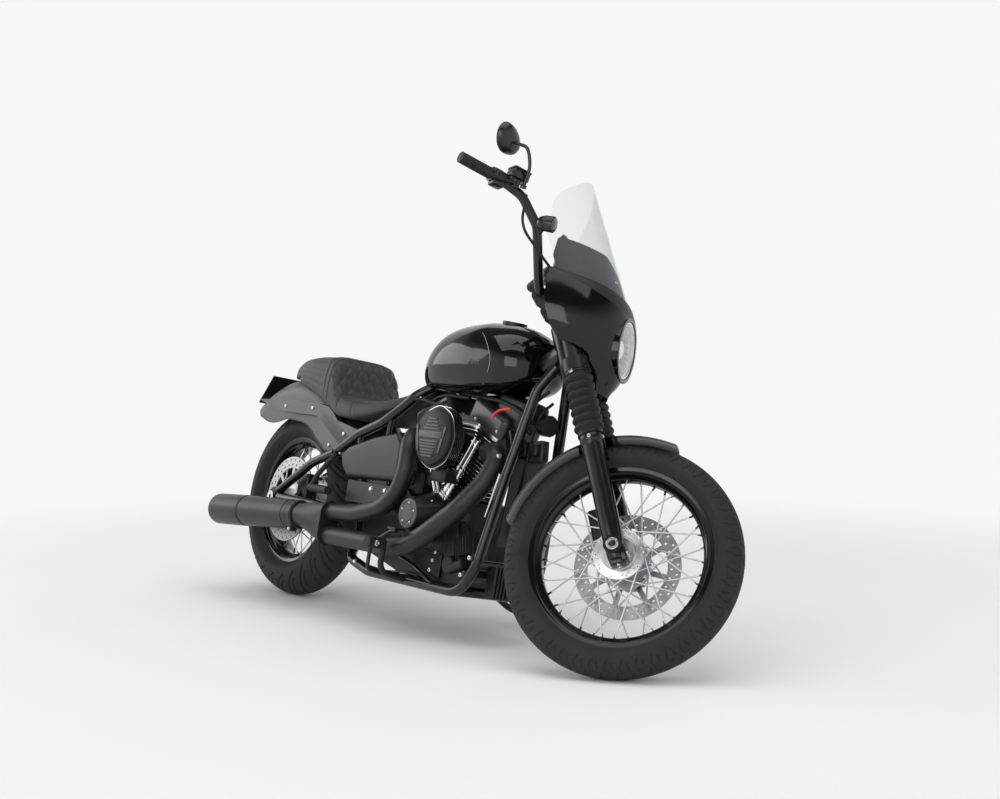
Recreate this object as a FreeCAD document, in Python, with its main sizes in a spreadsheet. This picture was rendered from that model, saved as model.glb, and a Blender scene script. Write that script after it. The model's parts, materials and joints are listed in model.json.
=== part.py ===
# Cruiser motorcycle with a 45 degree twin, built upright and straight, then leaned on its side stand.
# The upright frame has its origin on the ground under the rear axle, +X forward, +Y left, +Z up.

import FreeCAD, Part
import math
import os
import re
import Sketcher
from FreeCAD import Placement, Rotation, Vector

# Driving sizes in millimetres and degrees: alias, value, what it is.
SIZES = [
    ("wheelbase", 1630.0, "rear axle to front axle"),
    ("saddle_height", 680.0, "lowest point of the rider's seat above the ground, upright"),
    ("rake", 30.0, "steering axis from the vertical, degrees"),
    ("trail", 157.0, "steering trail at the ground"),
    ("lean", 11.07, "lean to the left on the side stand, degrees"),
    ("steering_lock", 36.41, "steering stop on each side, degrees"),
    ("overrun", 4.0, "length by which a cutting tool passes a face"),
    ("seat_gap", 0.3, "gap left between soft or curved neighbours"),
    ("running_gap", 0.05, "radial clearance of a running fit"),

    ("front_tyre_radius", 331.0, "front tyre, outside radius"),
    ("front_tyre_section", 50.0, "front tyre, radius of its round section"),
    ("rear_tyre_radius", 323.0, "rear tyre, outside radius"),
    ("rear_tyre_section", 75.0, "rear tyre, radius of its round section"),
    ("tyre_wall", 9.0, "tyre wall"),
    ("front_flange_radius", 255.0, "front rim, radius of its flanges"),
    ("front_bead_radius", 243.0, "front rim, radius of its bead seats"),
    ("front_rim_half_width", 36.0, "front rim, half width over its flanges"),
    ("rear_flange_radius", 217.0, "rear rim, radius of its flanges"),
    ("rear_bead_radius", 205.0, "rear rim, radius of its bead seats"),
    ("rear_rim_half_width", 51.0, "rear rim, half width over its flanges"),
    ("rim_depth", 16.0, "drop of the rim's well below the bead seats"),
    ("rim_wall", 4.0, "wall of the rolled rim"),
    ("spoke_count", 40.0, "spokes in a wheel"),
    ("spoke_radius", 2.2, "radius of a spoke"),
    ("front_hub_radius", 30.0, "front hub barrel, radius"),
    ("front_hub_flange_radius", 71.5, "front hub spoke flange, radius"),
    ("front_hub_half_width", 48.0, "front hub, half width over the flanges"),
    ("rear_hub_radius", 38.0, "rear hub barrel, radius"),
    ("rear_hub_flange_radius", 78.0, "rear hub spoke flange, radius"),
    ("rear_hub_half_width", 58.0, "rear hub, half width over the flanges"),
    ("hub_flange_thickness", 7.0, "spoke flange thickness"),
    ("front_disc_radius", 150.0, "front brake disc, outside radius"),
    ("rear_disc_radius", 146.0, "rear brake disc, outside radius"),
    ("disc_band", 38.0, "radial width of the braking band"),
    ("disc_thickness", 5.0, "brake disc thickness"),
    ("disc_hole_radius", 3.5, "radius of a drilled hole in a disc"),
    ("disc_hole_count", 30.0, "holes in one ring of a disc"),
    ("disc_arm_count", 8.0, "arms of a disc carrier"),
    ("disc_arm_width", 15.0, "width of a carrier arm"),
    ("front_disc_offset", 68.0, "front disc plane from the centre, to the left"),
    ("rear_disc_offset", 71.0, "rear disc plane from the centre, to the right"),
    ("disc_seat", 52.0, "radius of the hub boss that carries a disc"),
    ("sprocket_radius", 108.0, "belt sprocket, radius"),
    ("sprocket_thickness", 22.0, "belt sprocket, width"),
    ("sprocket_offset", 92.0, "belt line from the centre, to the left"),
    ("front_axle_radius", 12.5, "front axle, radius"),
    ("front_axle_bore", 9.0, "front axle, radius of its through bore"),
    ("front_axle_end", 131.0, "front axle end from the centre"),
    ("front_axle_head_radius", 19.5, "front axle head, radius"),
    ("front_axle_head", 8.0, "front axle head, thickness"),
    ("rear_axle_radius", 12.5, "rear axle, radius"),
    ("rear_axle_bore", 6.0, "rear axle, radius of its through bore"),
    ("rear_axle_end", 150.0, "rear axle end from the centre"),
    ("rear_axle_nut_radius", 19.0, "rear axle nut, radius"),
    ("rear_axle_nut", 11.0, "rear axle nut, thickness"),
    ("hub_side_gap", 5.0, "gap between a hub and what stands beside it"),

    ("fork_spread", 105.0, "fork leg from the centre plane"),
    ("fork_tube_radius", 24.5, "fork tube, radius"),
    ("fork_tube_wall", 3.0, "fork tube, wall"),
    ("slider_radius", 29.0, "fork slider, radius"),
    ("slider_top", 334.0, "slider top above the axle, along the leg"),
    ("slider_foot_radius", 31.0, "slider foot around the axle, radius"),
    ("gaiter_top", 527.0, "top of the rubber gaiter above the axle, along the leg"),
    ("gaiter_radius", 41.0, "gaiter ridge, radius"),
    ("gaiter_groove", 33.0, "gaiter groove, radius"),
    ("gaiter_ridges", 7.0, "ridges of a gaiter"),
    ("lower_clamp_base", 528.0, "underside of the lower clamp above the axle, along the leg"),
    ("lower_clamp_thickness", 40.0, "lower clamp thickness"),
    ("upper_clamp_base", 735.0, "underside of the upper clamp above the axle, along the leg"),
    ("upper_clamp_thickness", 26.0, "upper clamp thickness"),
    ("clamp_boss_radius", 38.0, "clamp boss around a fork tube, radius"),
    ("clamp_bridge", 60.0, "clamp bridge, fore and aft"),
    ("fork_tube_top", 768.0, "top of the fork tube above the axle, along the leg"),
    ("stem_radius", 16.0, "steering stem, radius"),
    ("head_tube_radius", 34.0, "head tube, radius"),
    ("head_tube_gap", 0.5, "gap between a clamp and the head tube"),
    ("fender_edge_radius", 337.0, "front fender, radius of its lower edges about the axle"),
    ("fender_crown_radius", 352.0, "front fender, radius of its crown about the axle"),
    ("fender_half_width", 61.5, "front fender, half width"),
    ("fender_wall", 3.0, "fender wall"),
    ("fender_start", 82.0, "front fender tip, degrees above the forward level"),
    ("fender_sweep", 95.0, "front fender, degrees of arc"),
    ("fender_tab_length", 76.0, "front fender mounting plate, along the leg"),
    ("fender_tab_width", 60.0, "front fender mounting plate, fore and aft"),
    ("fender_tab_height", 268.0, "front fender mounting plate, its foot above the axle along the leg"),

    ("lamp_height", 927.0, "headlamp centre above the ground"),
    ("lamp_forward", 1447.0, "headlamp face ahead of the rear axle"),
    ("lamp_radius", 87.0, "headlamp lens, radius"),
    ("lamp_rim", 8.0, "headlamp rim around the lens"),
    ("lamp_depth", 95.0, "headlamp shell, depth"),
    ("lamp_tilt", 6.0, "headlamp face, lean back in degrees"),
    ("fairing_wall", 4.0, "fairing wall"),
    ("fairing_half_width", 200.0, "fairing, half width"),
    ("fairing_depth", 306.0, "fairing block, nose to its open back"),
    ("fairing_height", 420.0, "fairing, chin to upper edge"),
    ("fairing_chin", 770.0, "fairing chin above the ground"),
    ("fairing_nose", 1456.0, "fairing nose ahead of the rear axle"),
    ("fairing_ledge", 1052.0, "ledge that carries the windscreen, above the ground"),
    ("screen_wall", 4.0, "windscreen thickness"),
    ("screen_half_width", 172.0, "windscreen, half width at its foot"),
    ("screen_top", 1425.0, "top of the windscreen above the ground"),
    ("screen_rake", 32.4, "windscreen, lean back in degrees"),
    ("bar_radius", 14.0, "handlebar tube, radius"),
    ("bar_wall", 2.5, "handlebar tube, wall"),
    ("bar_half_width", 400.0, "handlebar end from the centre plane"),
    ("bar_bend", 70.0, "handlebar bend radius"),
    ("grip_radius", 18.0, "grip, radius"),
    ("grip_length", 115.0, "grip, length"),
    ("mirror_half_width", 60.0, "mirror head, half width"),
    ("mirror_half_height", 50.0, "mirror head, half height"),
    ("mirror_depth", 16.0, "mirror head, depth"),
    ("mirror_stem_radius", 5.5, "mirror stem, radius"),
    ("mirror_height", 1362.0, "mirror centre above the ground"),
    ("mirror_inset", 70.0, "mirror centre inboard of the handlebar's end"),
    ("mirror_forward", 1003.0, "mirror centre ahead of the rear axle"),
    ("signal_gap", 42.0, "turn signal centre outboard of the windscreen's foot"),
    ("signal_radius", 24.0, "turn signal, radius"),
    ("signal_length", 42.0, "turn signal, length"),

    ("frame_tube_radius", 16.0, "frame tube, radius"),
    ("frame_bend", 90.0, "frame tube bend radius"),
    ("frame_half_width", 122.0, "lower rails from the centre plane"),
    ("backbone_radius", 32.0, "backbone tube, radius"),
    ("swingarm_radius", 18.0, "swingarm tube, radius"),
    ("swingarm_half_width", 130.0, "swingarm from the centre plane"),
    ("swingarm_boss", 39.0, "swingarm pivot boss, length"),
    ("axle_plate", 12.0, "swingarm axle plate thickness"),
    ("axle_plate_radius", 34.0, "swingarm axle plate, radius"),
    ("engine_x", 905.0, "crankshaft ahead of the rear axle"),
    ("engine_z", 300.0, "crankshaft above the ground"),
    ("engine_vee", 22.5, "each cylinder from the vertical, degrees"),
    ("case_half_width", 100.0, "engine cases, half width"),
    ("cylinder_base", 150.0, "cylinder foot from the crankshaft"),
    ("cylinder_deck", 315.0, "cylinder top from the crankshaft"),
    ("cylinder_core", 52.0, "cylinder barrel, half width between the fins"),
    ("cylinder_fin", 66.0, "cylinder fins, half width"),
    ("fin_pitch", 11.0, "pitch of the cooling fins"),
    ("fin_thickness", 3.5, "thickness of a cooling fin"),
    ("head_height", 48.0, "cylinder head, height"),
    ("rocker_height", 68.0, "rocker cover, height"),
    ("rocker_half_width", 76.0, "rocker cover, half width across the bike"),
    ("rocker_reach", 82.0, "rocker cover, half length fore and aft"),
    ("rocker_round", 22.0, "rocker cover, radius of its upper edges"),
    ("pushrod_radius", 9.0, "pushrod tube, radius"),
    ("cam_cover_radius", 72.0, "cam cover, radius at its foot"),
    ("cam_cover_nose_radius", 42.0, "cam cover, radius of its round end"),
    ("cam_cover_depth", 93.0, "cam cover, depth"),
    ("air_cleaner_radius", 95.0, "air cleaner, radius"),
    ("air_cleaner_depth", 62.0, "air cleaner, depth"),
    ("air_cleaner_face", 186.0, "air cleaner face from the centre plane"),
    ("primary_depth", 62.0, "primary cover, depth"),
    ("primary_front_radius", 104.0, "primary cover, front end radius"),
    ("primary_rear_radius", 96.0, "primary cover, rear end radius"),
    ("primary_round", 20.0, "primary cover, rounding of its face edge"),
    ("pipe_spread", 169.0, "exhaust pipes from the centre plane, to the right"),
    ("front_pipe_radius", 30.0, "front header, radius"),
    ("rear_pipe_radius", 27.5, "rear header, radius"),
    ("pipe_wall", 2.0, "exhaust pipe wall"),
    ("pipe_bend", 110.0, "exhaust pipe bend radius"),
    ("muffler_spread", 190.0, "muffler from the centre plane, to the right"),
    ("muffler_radius", 53.0, "muffler, radius"),
    ("muffler_front_radius", 46.0, "muffler, radius at its front"),
    ("muffler_length", 549.0, "muffler, length of its canister"),
    ("muffler_cap", 205.0, "muffler, length of its rear sleeve"),
    ("muffler_tilt", 3.74, "muffler, rise towards the front in degrees"),
    ("muffler_outlet", 34.0, "muffler outlet, radius"),
    ("collector_band", 22.0, "collector, length of its round neck"),
    ("outlet_share", 0.86, "muffler's inlet radius as a share of its front radius"),

    ("tank_half_width", 146.0, "fuel tank, half width"),
    ("tank_length", 528.0, "fuel tank, length"),
    ("tank_tail", 672.0, "fuel tank, rear tip ahead of the rear axle"),
    ("tank_base", 735.0, "fuel tank, lowest line above the ground"),
    ("tank_height", 228.0, "fuel tank, height"),
    ("cap_radius", 38.0, "fuel cap, radius"),
    ("cap_height", 6.0, "fuel cap, height"),
    ("saddle_half_width", 135.0, "seat, half width"),
    ("saddle_tail", -95.0, "seat, rear end ahead of the rear axle"),
    ("saddle_length", 800.0, "seat, length"),
    ("rear_fender_radius", 412.0, "rear fender, outside radius"),
    ("rear_fender_centre", 330.0, "rear fender, centre of its arc above the ground"),
    ("rear_fender_half_width", 108.0, "rear fender, half width"),
    ("rear_fender_round", 60.0, "rear fender, rounding of its shoulders"),
    ("strut_thickness", 9.0, "fender strut, thickness"),
    ("strut_spread", 122.0, "fender strut from the centre plane"),
    ("side_cover_spread", 150.0, "side cover face from the centre plane"),
    ("side_cover_depth", 34.0, "side cover, depth"),
    ("box_inner", 100.0, "electrics box, inner face from the centre plane, to the right"),
    ("box_outer", 138.0, "electrics box, outer face from the centre plane, to the right"),
    ("plate_width", 180.0, "number plate, width"),
    ("plate_height", 124.0, "number plate, height"),
    ("plate_thickness", 4.0, "number plate carrier, thickness"),
    ("belt_width", 22.0, "drive belt, width"),
    ("pulley_x", 590.0, "front pulley ahead of the rear axle"),
    ("pulley_z", 330.0, "front pulley above the ground"),
    ("belt_thickness", 6.0, "drive belt, thickness"),
    ("pulley_radius", 62.0, "front pulley, radius to the belt"),
    ("pedal_radius", 6.0, "brake pedal and shift lever, radius of their bars"),
    ("line_radius", 4.0, "brake line, radius"),
    ("peg_radius", 17.0, "footpeg, radius"),
    ("peg_length", 62.0, "footpeg, length"),
    ("stand_pivot_x", 905.0, "side stand pivot ahead of the rear axle"),
    ("stand_pivot_y", 146.0, "side stand pivot from the centre plane"),
    ("stand_pivot_z", 150.0, "side stand pivot above the ground, upright"),
    ("stand_foot_x", 985.0, "side stand foot ahead of the rear axle"),
    ("stand_foot_y", 330.0, "side stand foot from the centre plane"),
    ("stand_leg_radius", 10.0, "side stand leg, radius"),
    ("stand_pad_radius", 26.0, "side stand foot, radius"),
    ("stand_pad_thickness", 8.0, "side stand foot, thickness"),
    ("caliper_length", 110.0, "brake caliper, length"),
    ("caliper_height", 62.0, "brake caliper, height"),
    ("caliper_width", 50.0, "brake caliper, width"),
    ("caliper_inner", 18.0, "brake caliper, depth inside the disc's middle plane"),
    ("caliper_slot", 9.0, "brake caliper, slot for the disc"),
    ("cooler_depth", 34.0, "oil cooler, depth"),
    ("cooler_width", 150.0, "oil cooler, width"),
    ("cooler_height", 92.0, "oil cooler, height"),
    ("cooler_fin_count", 12.0, "oil cooler, number of fins"),
]

doc = FreeCAD.newDocument("cruiser_motorcycle")
sheet = doc.addObject("Spreadsheet::Sheet", "sizes")
for row, (alias, amount, meaning) in enumerate(SIZES, start=1):
    sheet.set("A%d" % row, meaning)
    sheet.set("B%d" % row, str(amount))
    sheet.setAlias("B%d" % row, alias)
doc.recompute()
ALIASES = {alias for alias, amount, meaning in SIZES}


class Sizes:
    """Every size on the sheet, read by its alias."""

    def __getattr__(self, alias):
        return float(sheet.get(alias))


v = Sizes()
ACROSS = Vector(0, 1, 0)
ALONG = Vector(1, 0, 0)
UP = Vector(0, 0, 1)
ORIGIN = Vector(0, 0, 0)


def cell(words):
    """Point each alias in an expression at the sheet."""
    return re.sub(r"[a-z][a-z_]*", lambda found: "sizes." + found.group()
                  if found.group() in ALIASES else found.group(), words)


def number(words):
    """Work an expression out to a plain number."""
    return float(doc.sizes.evalExpression(cell(words)))


def bind(thing, **expressions):
    """Tie properties of an object to expressions in the sheet's aliases."""
    for name, words in expressions.items():
        thing.setExpression(name, cell(words))


# Frames: the steering axis, and the poses of the leaning bike.

front_axle = Vector(v.wheelbase, 0, v.front_tyre_radius)
rear_axle = Vector(0, 0, v.rear_tyre_radius)
rake = math.radians(v.rake)
steering_up = Vector(-math.sin(rake), 0, math.cos(rake))
steering_ahead = Vector(math.cos(rake), 0, math.sin(rake))
fork_offset = v.front_tyre_radius * math.sin(rake) - v.trail * math.cos(rake)
steering_foot = front_axle - steering_ahead * fork_offset
steered = Placement(ORIGIN, Rotation(steering_up, v.steering_lock), steering_foot)
engine_centre = Vector(v.engine_x, 0, v.engine_z)


def tyre_bottom(turn, centre, spindle, radius, section):
    """Height of a round tyre's lowest point after a turn of the whole bike."""
    slope = turn.multVec(spindle).z
    return turn.multVec(centre).z - (radius - section) * math.sqrt(1 - slope ** 2) - section


def parked_pose():
    """Lean the bike to the left and pitch it until both tyres touch the ground."""
    pitch = 0.0
    for step in range(12):
        turn = Rotation(ACROSS, math.degrees(pitch)).multiply(Rotation(ALONG, -v.lean))
        rear = tyre_bottom(turn, rear_axle, ACROSS, v.rear_tyre_radius, v.rear_tyre_section)
        front = tyre_bottom(turn, steered.multVec(front_axle), steered.Rotation.multVec(ACROSS),
                            v.front_tyre_radius, v.front_tyre_section)
        pitch += (front - rear) / v.wheelbase
    return Placement(Vector(0, 0, -rear), turn)


PARKED = parked_pose()
POSES = {"chassis": PARKED, "front": PARKED.multiply(steered)}
nodes = {}


def keep(thing, name, group, local=None):
    """Register an object as a node of the part, posed with its group."""
    thing.Label = name
    thing.Placement = POSES[group].multiply(local or Placement())
    nodes[name] = thing
    return thing


def keep_shape(shape, name, group):
    """Register a free-form solid as a node."""
    thing = doc.addObject("Part::Feature", name)
    thing.Shape = shape
    return keep(thing, name, group, shape.Placement)


def upright(name):
    """A chassis node's shape in the upright frame."""
    return nodes[name].Shape.transformed(PARKED.inverse().toMatrix(), True)


def biggest(shape):
    """The largest solid of a shape."""
    return max(shape.Solids, key=lambda solid: solid.Volume)


# Shapes made with plain functions.

def spot(shares, half_width, side=1):
    """A place from its shares of the wheelbase, a half width and the saddle height."""
    return Vector(shares[0] * v.wheelbase, shares[1] * half_width * side, shares[2] * v.saddle_height)


def route(places, half_width, side=1):
    """A list of places from their shares."""
    return [spot(shares, half_width, side) for shares in places]


def bent_path(points, bend):
    """Straight runs joined by tangent arcs, each as large as its runs allow up to the bend."""
    edges = []
    start = points[0]
    for before, corner, after in zip(points, points[1:], points[2:]):
        inward = (before - corner).normalize()
        outward = (after - corner).normalize()
        half_turn = (math.pi - inward.getAngle(outward)) / 2
        room = 0.48 * min(before.distanceToPoint(corner), corner.distanceToPoint(after))
        reach = min(bend * math.tan(half_turn), room)
        radius = reach / math.tan(half_turn)
        first = corner + inward * reach
        last = corner + outward * reach
        middle = (inward + outward).normalize()
        centre = corner + middle * (radius / math.cos(half_turn))
        crest = centre - middle * radius
        edges.append(Part.LineSegment(start, first).toShape())
        edges.append(Part.Arc(first, crest, last).toShape())
        start = last
    edges.append(Part.LineSegment(start, points[-1]).toShape())
    return Part.Wire(edges)


def bar(points, radius, bend):
    """A round bar along a bent path."""
    path = bent_path(points, bend)
    circle = Part.Wire(Part.Circle(points[0], points[1] - points[0], radius).toShape())
    return path.makePipeShell([circle], True, False)


def pipe(points, radius, wall, bend):
    """A hollow tube along a bent path, open at both ends."""
    return bar(points, radius, bend).cut(bar(points, radius - wall, bend))


def rod(start, end, radius):
    """A straight round rod between two places."""
    return Part.makeCylinder(radius, start.distanceToPoint(end), start, end - start)


def fused(shapes):
    """Join shapes and clear the seams between them."""
    return shapes[0].multiFuse(shapes[1:]).removeSplitter()


def slab(corners, low, high):
    """A plate with its outline in the side view, between two planes across the bike."""
    wire = Part.makePolygon([Vector(x, low, z) for x, z in corners + corners[:1]])
    return Part.Face(wire).extrude(Vector(0, high - low, 0))


def side_places(shares):
    """Corners in the side view from shares of the wheelbase and the saddle height."""
    return [(x * v.wheelbase, z * v.saddle_height) for x, z in shares]


def ring_wire(points):
    """A smooth closed loop through places."""
    curve = Part.BSplineCurve()
    curve.interpolate(points, True)
    return Part.Wire(curve.toShape())


def fork_spot(height, side=0, ahead=0.0):
    """A place on a fork leg's line, at a height above the axle along the leg."""
    return front_axle + steering_up * height + Vector(0, side * v.fork_spread, 0) + steering_ahead * ahead


# Features in PartDesign bodies.

def plane(body, role):
    """One of a body's own origin planes."""
    return next(item for item in body.Origin.OriginFeatures if item.Role == role)


def sketch_on(body, role, name, lift="0"):
    """An empty sketch on one of a body's planes, lifted along its normal."""
    sketch = body.newObject("Sketcher::SketchObject", name)
    sketch.AttachmentSupport = [(plane(body, role), "")]
    sketch.MapMode = "FlatFace"
    sketch.setExpression(".AttachmentOffset.Base.z", cell(lift))
    return sketch


def pin_down(sketch, line, point, across, up, ties=2):
    """Tie a point of a sketch to its distances from the sketch's origin."""
    for kind, words in (("DistanceX", across), ("DistanceY", up))[:ties]:
        index = sketch.addConstraint(Sketcher.Constraint(kind, -1, 1, line, point, number(words)))
        sketch.setExpression("Constraints[%d]" % index, cell(words))


def polygon(sketch, corners):
    """A closed outline of straight edges, each corner tied to the sheet."""
    first = sketch.GeometryCount
    places = [Vector(number(across), number(up), 0) for across, up in corners]
    count = len(places)
    for index in range(count):
        sketch.addGeometry(Part.LineSegment(places[index], places[(index + 1) % count]))
    for index in range(count):
        following = (index + 1) % count
        sketch.addConstraint(Sketcher.Constraint("Coincident", first + index, 2, first + following, 1))
    for index, (across, up) in enumerate(corners):
        pin_down(sketch, first + index, 1, across, up)
    return sketch


def circle(sketch, radius, across="0", up="0"):
    """A circle tied to the sheet."""
    index = sketch.addGeometry(Part.Circle(Vector(number(across), number(up), 0), UP, number(radius)))
    pin_down(sketch, index, 3, across, up)
    constraint = sketch.addConstraint(Sketcher.Constraint("Radius", index, number(radius)))
    sketch.setExpression("Constraints[%d]" % constraint, cell(radius))
    return sketch


def box_corners(low_x, high_x, low_y, high_y):
    """Four corners of an upright rectangle."""
    return [(low_x, low_y), (high_x, low_y), (high_x, high_y), (low_x, high_y)]


def feature(body, kind, name, **settings):
    """A PartDesign feature with plain settings."""
    made = body.newObject("PartDesign::" + kind, name)
    for key, setting in settings.items():
        setattr(made, key, setting)
    body.Tip = made
    return made


def pad(body, name, sketch, length, middle=False, backwards=False):
    """Raise a sketch into a solid."""
    made = feature(body, "Pad", name, Profile=sketch, Midplane=middle, Reversed=backwards)
    bind(made, Length=length)
    return made


def turned(body, name, sketch, axis="V_Axis"):
    """Turn a profile once round an axis of its sketch."""
    return feature(body, "Revolution", name, Profile=sketch, ReferenceAxis=(sketch, [axis]), Angle=360.0)


def around(body, name, original, sketch, count):
    """Repeat a feature round its sketch's normal."""
    made = feature(body, "PolarPattern", name, Originals=[original], Axis=(sketch, ["N_Axis"]), Angle=360.0)
    bind(made, Occurrences=count)
    return made


def new_body(name):
    """An empty PartDesign body."""
    return doc.addObject("PartDesign::Body", name)


# Wheels, built round their own axle and turned about +Y.

def wheel_place(centre):
    """A wheel's place: its own centre, with the sketch's upright axis laid across the bike."""
    return Placement(centre, Rotation(ALONG, -90))


def tyre(name, group, centre, radius, section, flange_radius, rim_half_width):
    """Round-crowned hollow tyre that stands on the rim's flanges."""
    body = new_body(name)
    sketch = sketch_on(body, "XZ_Plane", name + "_section")
    middle = "%s - %s" % (radius, section)
    rows = []
    for share in ("%s" % section, "%s - tyre_wall" % section):
        arc = Part.ArcOfCircle(Part.Circle(Vector(number(middle), 0, 0), UP, number(share)),
                               -math.pi / 2, math.pi / 2)
        index = sketch.addGeometry(arc)
        pin_down(sketch, index, 3, middle, "0")
        pin_down(sketch, index, 1, middle, "-(%s)" % share)
        pin_down(sketch, index, 2, middle, share, 1)
        rows.append((index, share))
    for side, point in (("-", 1), ("", 2)):
        corners = []
        for (index, share), inset in zip(rows, ("0", "tyre_wall")):
            foot = "%s(%s - %s)" % (side, rim_half_width, inset)
            tip = "%s(%s)" % (side, share)
            line = sketch.addGeometry(Part.LineSegment(Vector(number(middle), number(tip), 0),
                                                       Vector(number(flange_radius), number(foot), 0)))
            sketch.addConstraint(Sketcher.Constraint("Coincident", line, 1, index, point))
            pin_down(sketch, line, 2, flange_radius, foot)
            corners.append((line, foot))
        closing = sketch.addGeometry(Part.LineSegment(
            Vector(number(flange_radius), number(corners[0][1]), 0),
            Vector(number(flange_radius), number(corners[1][1]), 0)))
        sketch.addConstraint(Sketcher.Constraint("Coincident", closing, 1, corners[0][0], 2))
        sketch.addConstraint(Sketcher.Constraint("Coincident", closing, 2, corners[1][0], 2))
    turned(body, name + "_ring", sketch)
    return keep(body, name, group, wheel_place(centre))


def rim(name, group, centre, flange_radius, bead_radius, half_width):
    """Rolled steel rim with a dropped centre."""
    body = new_body(name)
    sketch = sketch_on(body, "XZ_Plane", name + "_section")
    well = "%s - rim_depth" % bead_radius
    profile = [
        (flange_radius, half_width),
        (flange_radius, "%s - 1.6 * rim_wall" % half_width),
        (bead_radius, "%s - 1.6 * rim_wall" % half_width),
        (bead_radius, "0.72 * %s" % half_width),
        (well, "0.45 * %s" % half_width),
    ]
    inside = [
        ("%s - rim_wall" % well, "0.45 * %s + rim_wall / 2" % half_width),
        ("%s - rim_wall" % bead_radius, "0.72 * %s + rim_wall / 2" % half_width),
        ("%s - rim_wall" % bead_radius, half_width),
    ]
    mirrored = [(across, "-(%s)" % up) for across, up in reversed(profile)]
    mirrored_inside = [(across, "-(%s)" % up) for across, up in inside]
    polygon(sketch, profile + mirrored + list(reversed(mirrored_inside)) + inside)
    turned(body, name + "_ring", sketch)
    return keep(body, name, group, wheel_place(centre))


def spokes(flange_radius, half_width, rim_radius):
    """Crossed steel spokes: each flange sends pairs that lean ahead and behind."""
    step = 360.0 / (v.spoke_count / 4)
    hole_circle = flange_radius - 2.5 * v.spoke_radius
    swing_share = 1.625
    shapes = []
    for side in (1, -1):
        for lead in (1, -1):
            face = half_width - 0.5 * v.spoke_radius
            foot = 6.4 * v.spoke_radius
            if lead < 0:
                face = half_width - v.hub_flange_thickness + 0.5 * v.spoke_radius
                foot = 3.6 * v.spoke_radius
            for index in range(int(v.spoke_count / 4)):
                angle = step * index + (step / 2 if side < 0 else 0.0) + (0.0 if lead > 0 else step / 2)
                near = math.radians(angle)
                far = math.radians(angle + lead * swing_share * step)
                start = Vector(hole_circle * math.cos(near), hole_circle * math.sin(near), side * face)
                reach = rim_radius + v.overrun
                end = Vector(reach * math.cos(far), reach * math.sin(far), side * foot)
                shapes.append(rod(start, end, v.spoke_radius))
    limit = Part.makeCylinder(rim_radius, 4 * half_width, Vector(0, 0, -2 * half_width), UP)
    return [shape.common(limit) for shape in shapes]


def hub(name, group, centre, sizes, spoke_reach):
    """Spoked hub: barrel, two flanges, end bosses and a through bore, with its spokes."""
    body = new_body(name + "_turning")
    sketch = sketch_on(body, "XZ_Plane", name + "_section")
    bore = "%s + running_gap" % sizes["axle"]
    low, high = "-(%s)" % sizes["low"], sizes["high"]
    half, flange, barrel = sizes["half"], sizes["flange"], sizes["barrel"]
    inner = "%s - hub_flange_thickness" % half
    low_seat, high_seat = "-(%s)" % sizes["low_seat"], sizes["high_seat"]
    profile = [(bore, low), (barrel, low), (barrel, low_seat), (sizes["low_boss"], low_seat),
               (sizes["low_boss"], "-(%s)" % half), (flange, "-(%s)" % half),
               (flange, "-(%s)" % inner), (barrel, "-(%s)" % inner), (barrel, inner), (flange, inner),
               (flange, half), (sizes["high_boss"], half), (sizes["high_boss"], high_seat),
               (barrel, high_seat),
               (barrel, high), (bore, high)]
    polygon(sketch, profile)
    turned(body, name + "_barrel", sketch)
    doc.recompute()
    laced = doc.addObject("Part::Feature", name)
    wires = spokes(number(flange), number(half), number(spoke_reach))
    laced.Shape = body.Shape.multiFuse(wires)
    return keep(laced, name, group, wheel_place(centre))


def disc(name, group, centre, radius, seat, offset):
    """Drilled brake disc on an open carrier with radial arms."""
    body = new_body(name)
    inner = "%s - disc_band" % radius
    band = sketch_on(body, "XY_Plane", name + "_band", offset + " - disc_thickness / 2")
    circle(band, radius)
    circle(band, inner)
    pad(body, name + "_band_pad", band, "disc_thickness")
    core = sketch_on(body, "XY_Plane", name + "_core", offset + " - disc_thickness / 2")
    circle(core, "%s + disc_arm_width" % seat)
    circle(core, seat)
    pad(body, name + "_core_pad", core, "disc_thickness")
    arm = sketch_on(body, "XY_Plane", name + "_arm", offset + " - disc_thickness / 2")
    polygon(arm, box_corners("%s + disc_arm_width / 2" % seat, "%s + disc_band / 4" % inner,
                             "-disc_arm_width / 2", "disc_arm_width / 2"))
    arm_pad = pad(body, name + "_arm_pad", arm, "disc_thickness")
    around(body, name + "_arms", arm_pad, arm, "disc_arm_count")
    for row, share in enumerate((0.28, 0.72)):
        hole = sketch_on(body, "XY_Plane", "%s_hole_%d" % (name, row), offset + " + disc_thickness / 2")
        circle(hole, "disc_hole_radius", "(%s + disc_band * %s) * cos(%s deg)" % (inner, share, row * 6),
               "(%s + disc_band * %s) * sin(%s deg)" % (inner, share, row * 6))
        cut = feature(body, "Pocket", "%s_drilling_%d" % (name, row), Profile=hole)
        bind(cut, Length="disc_thickness")
        around(body, "%s_drillings_%d" % (name, row), cut, hole, "disc_hole_count")
    return keep(body, name, group, wheel_place(centre))


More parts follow.
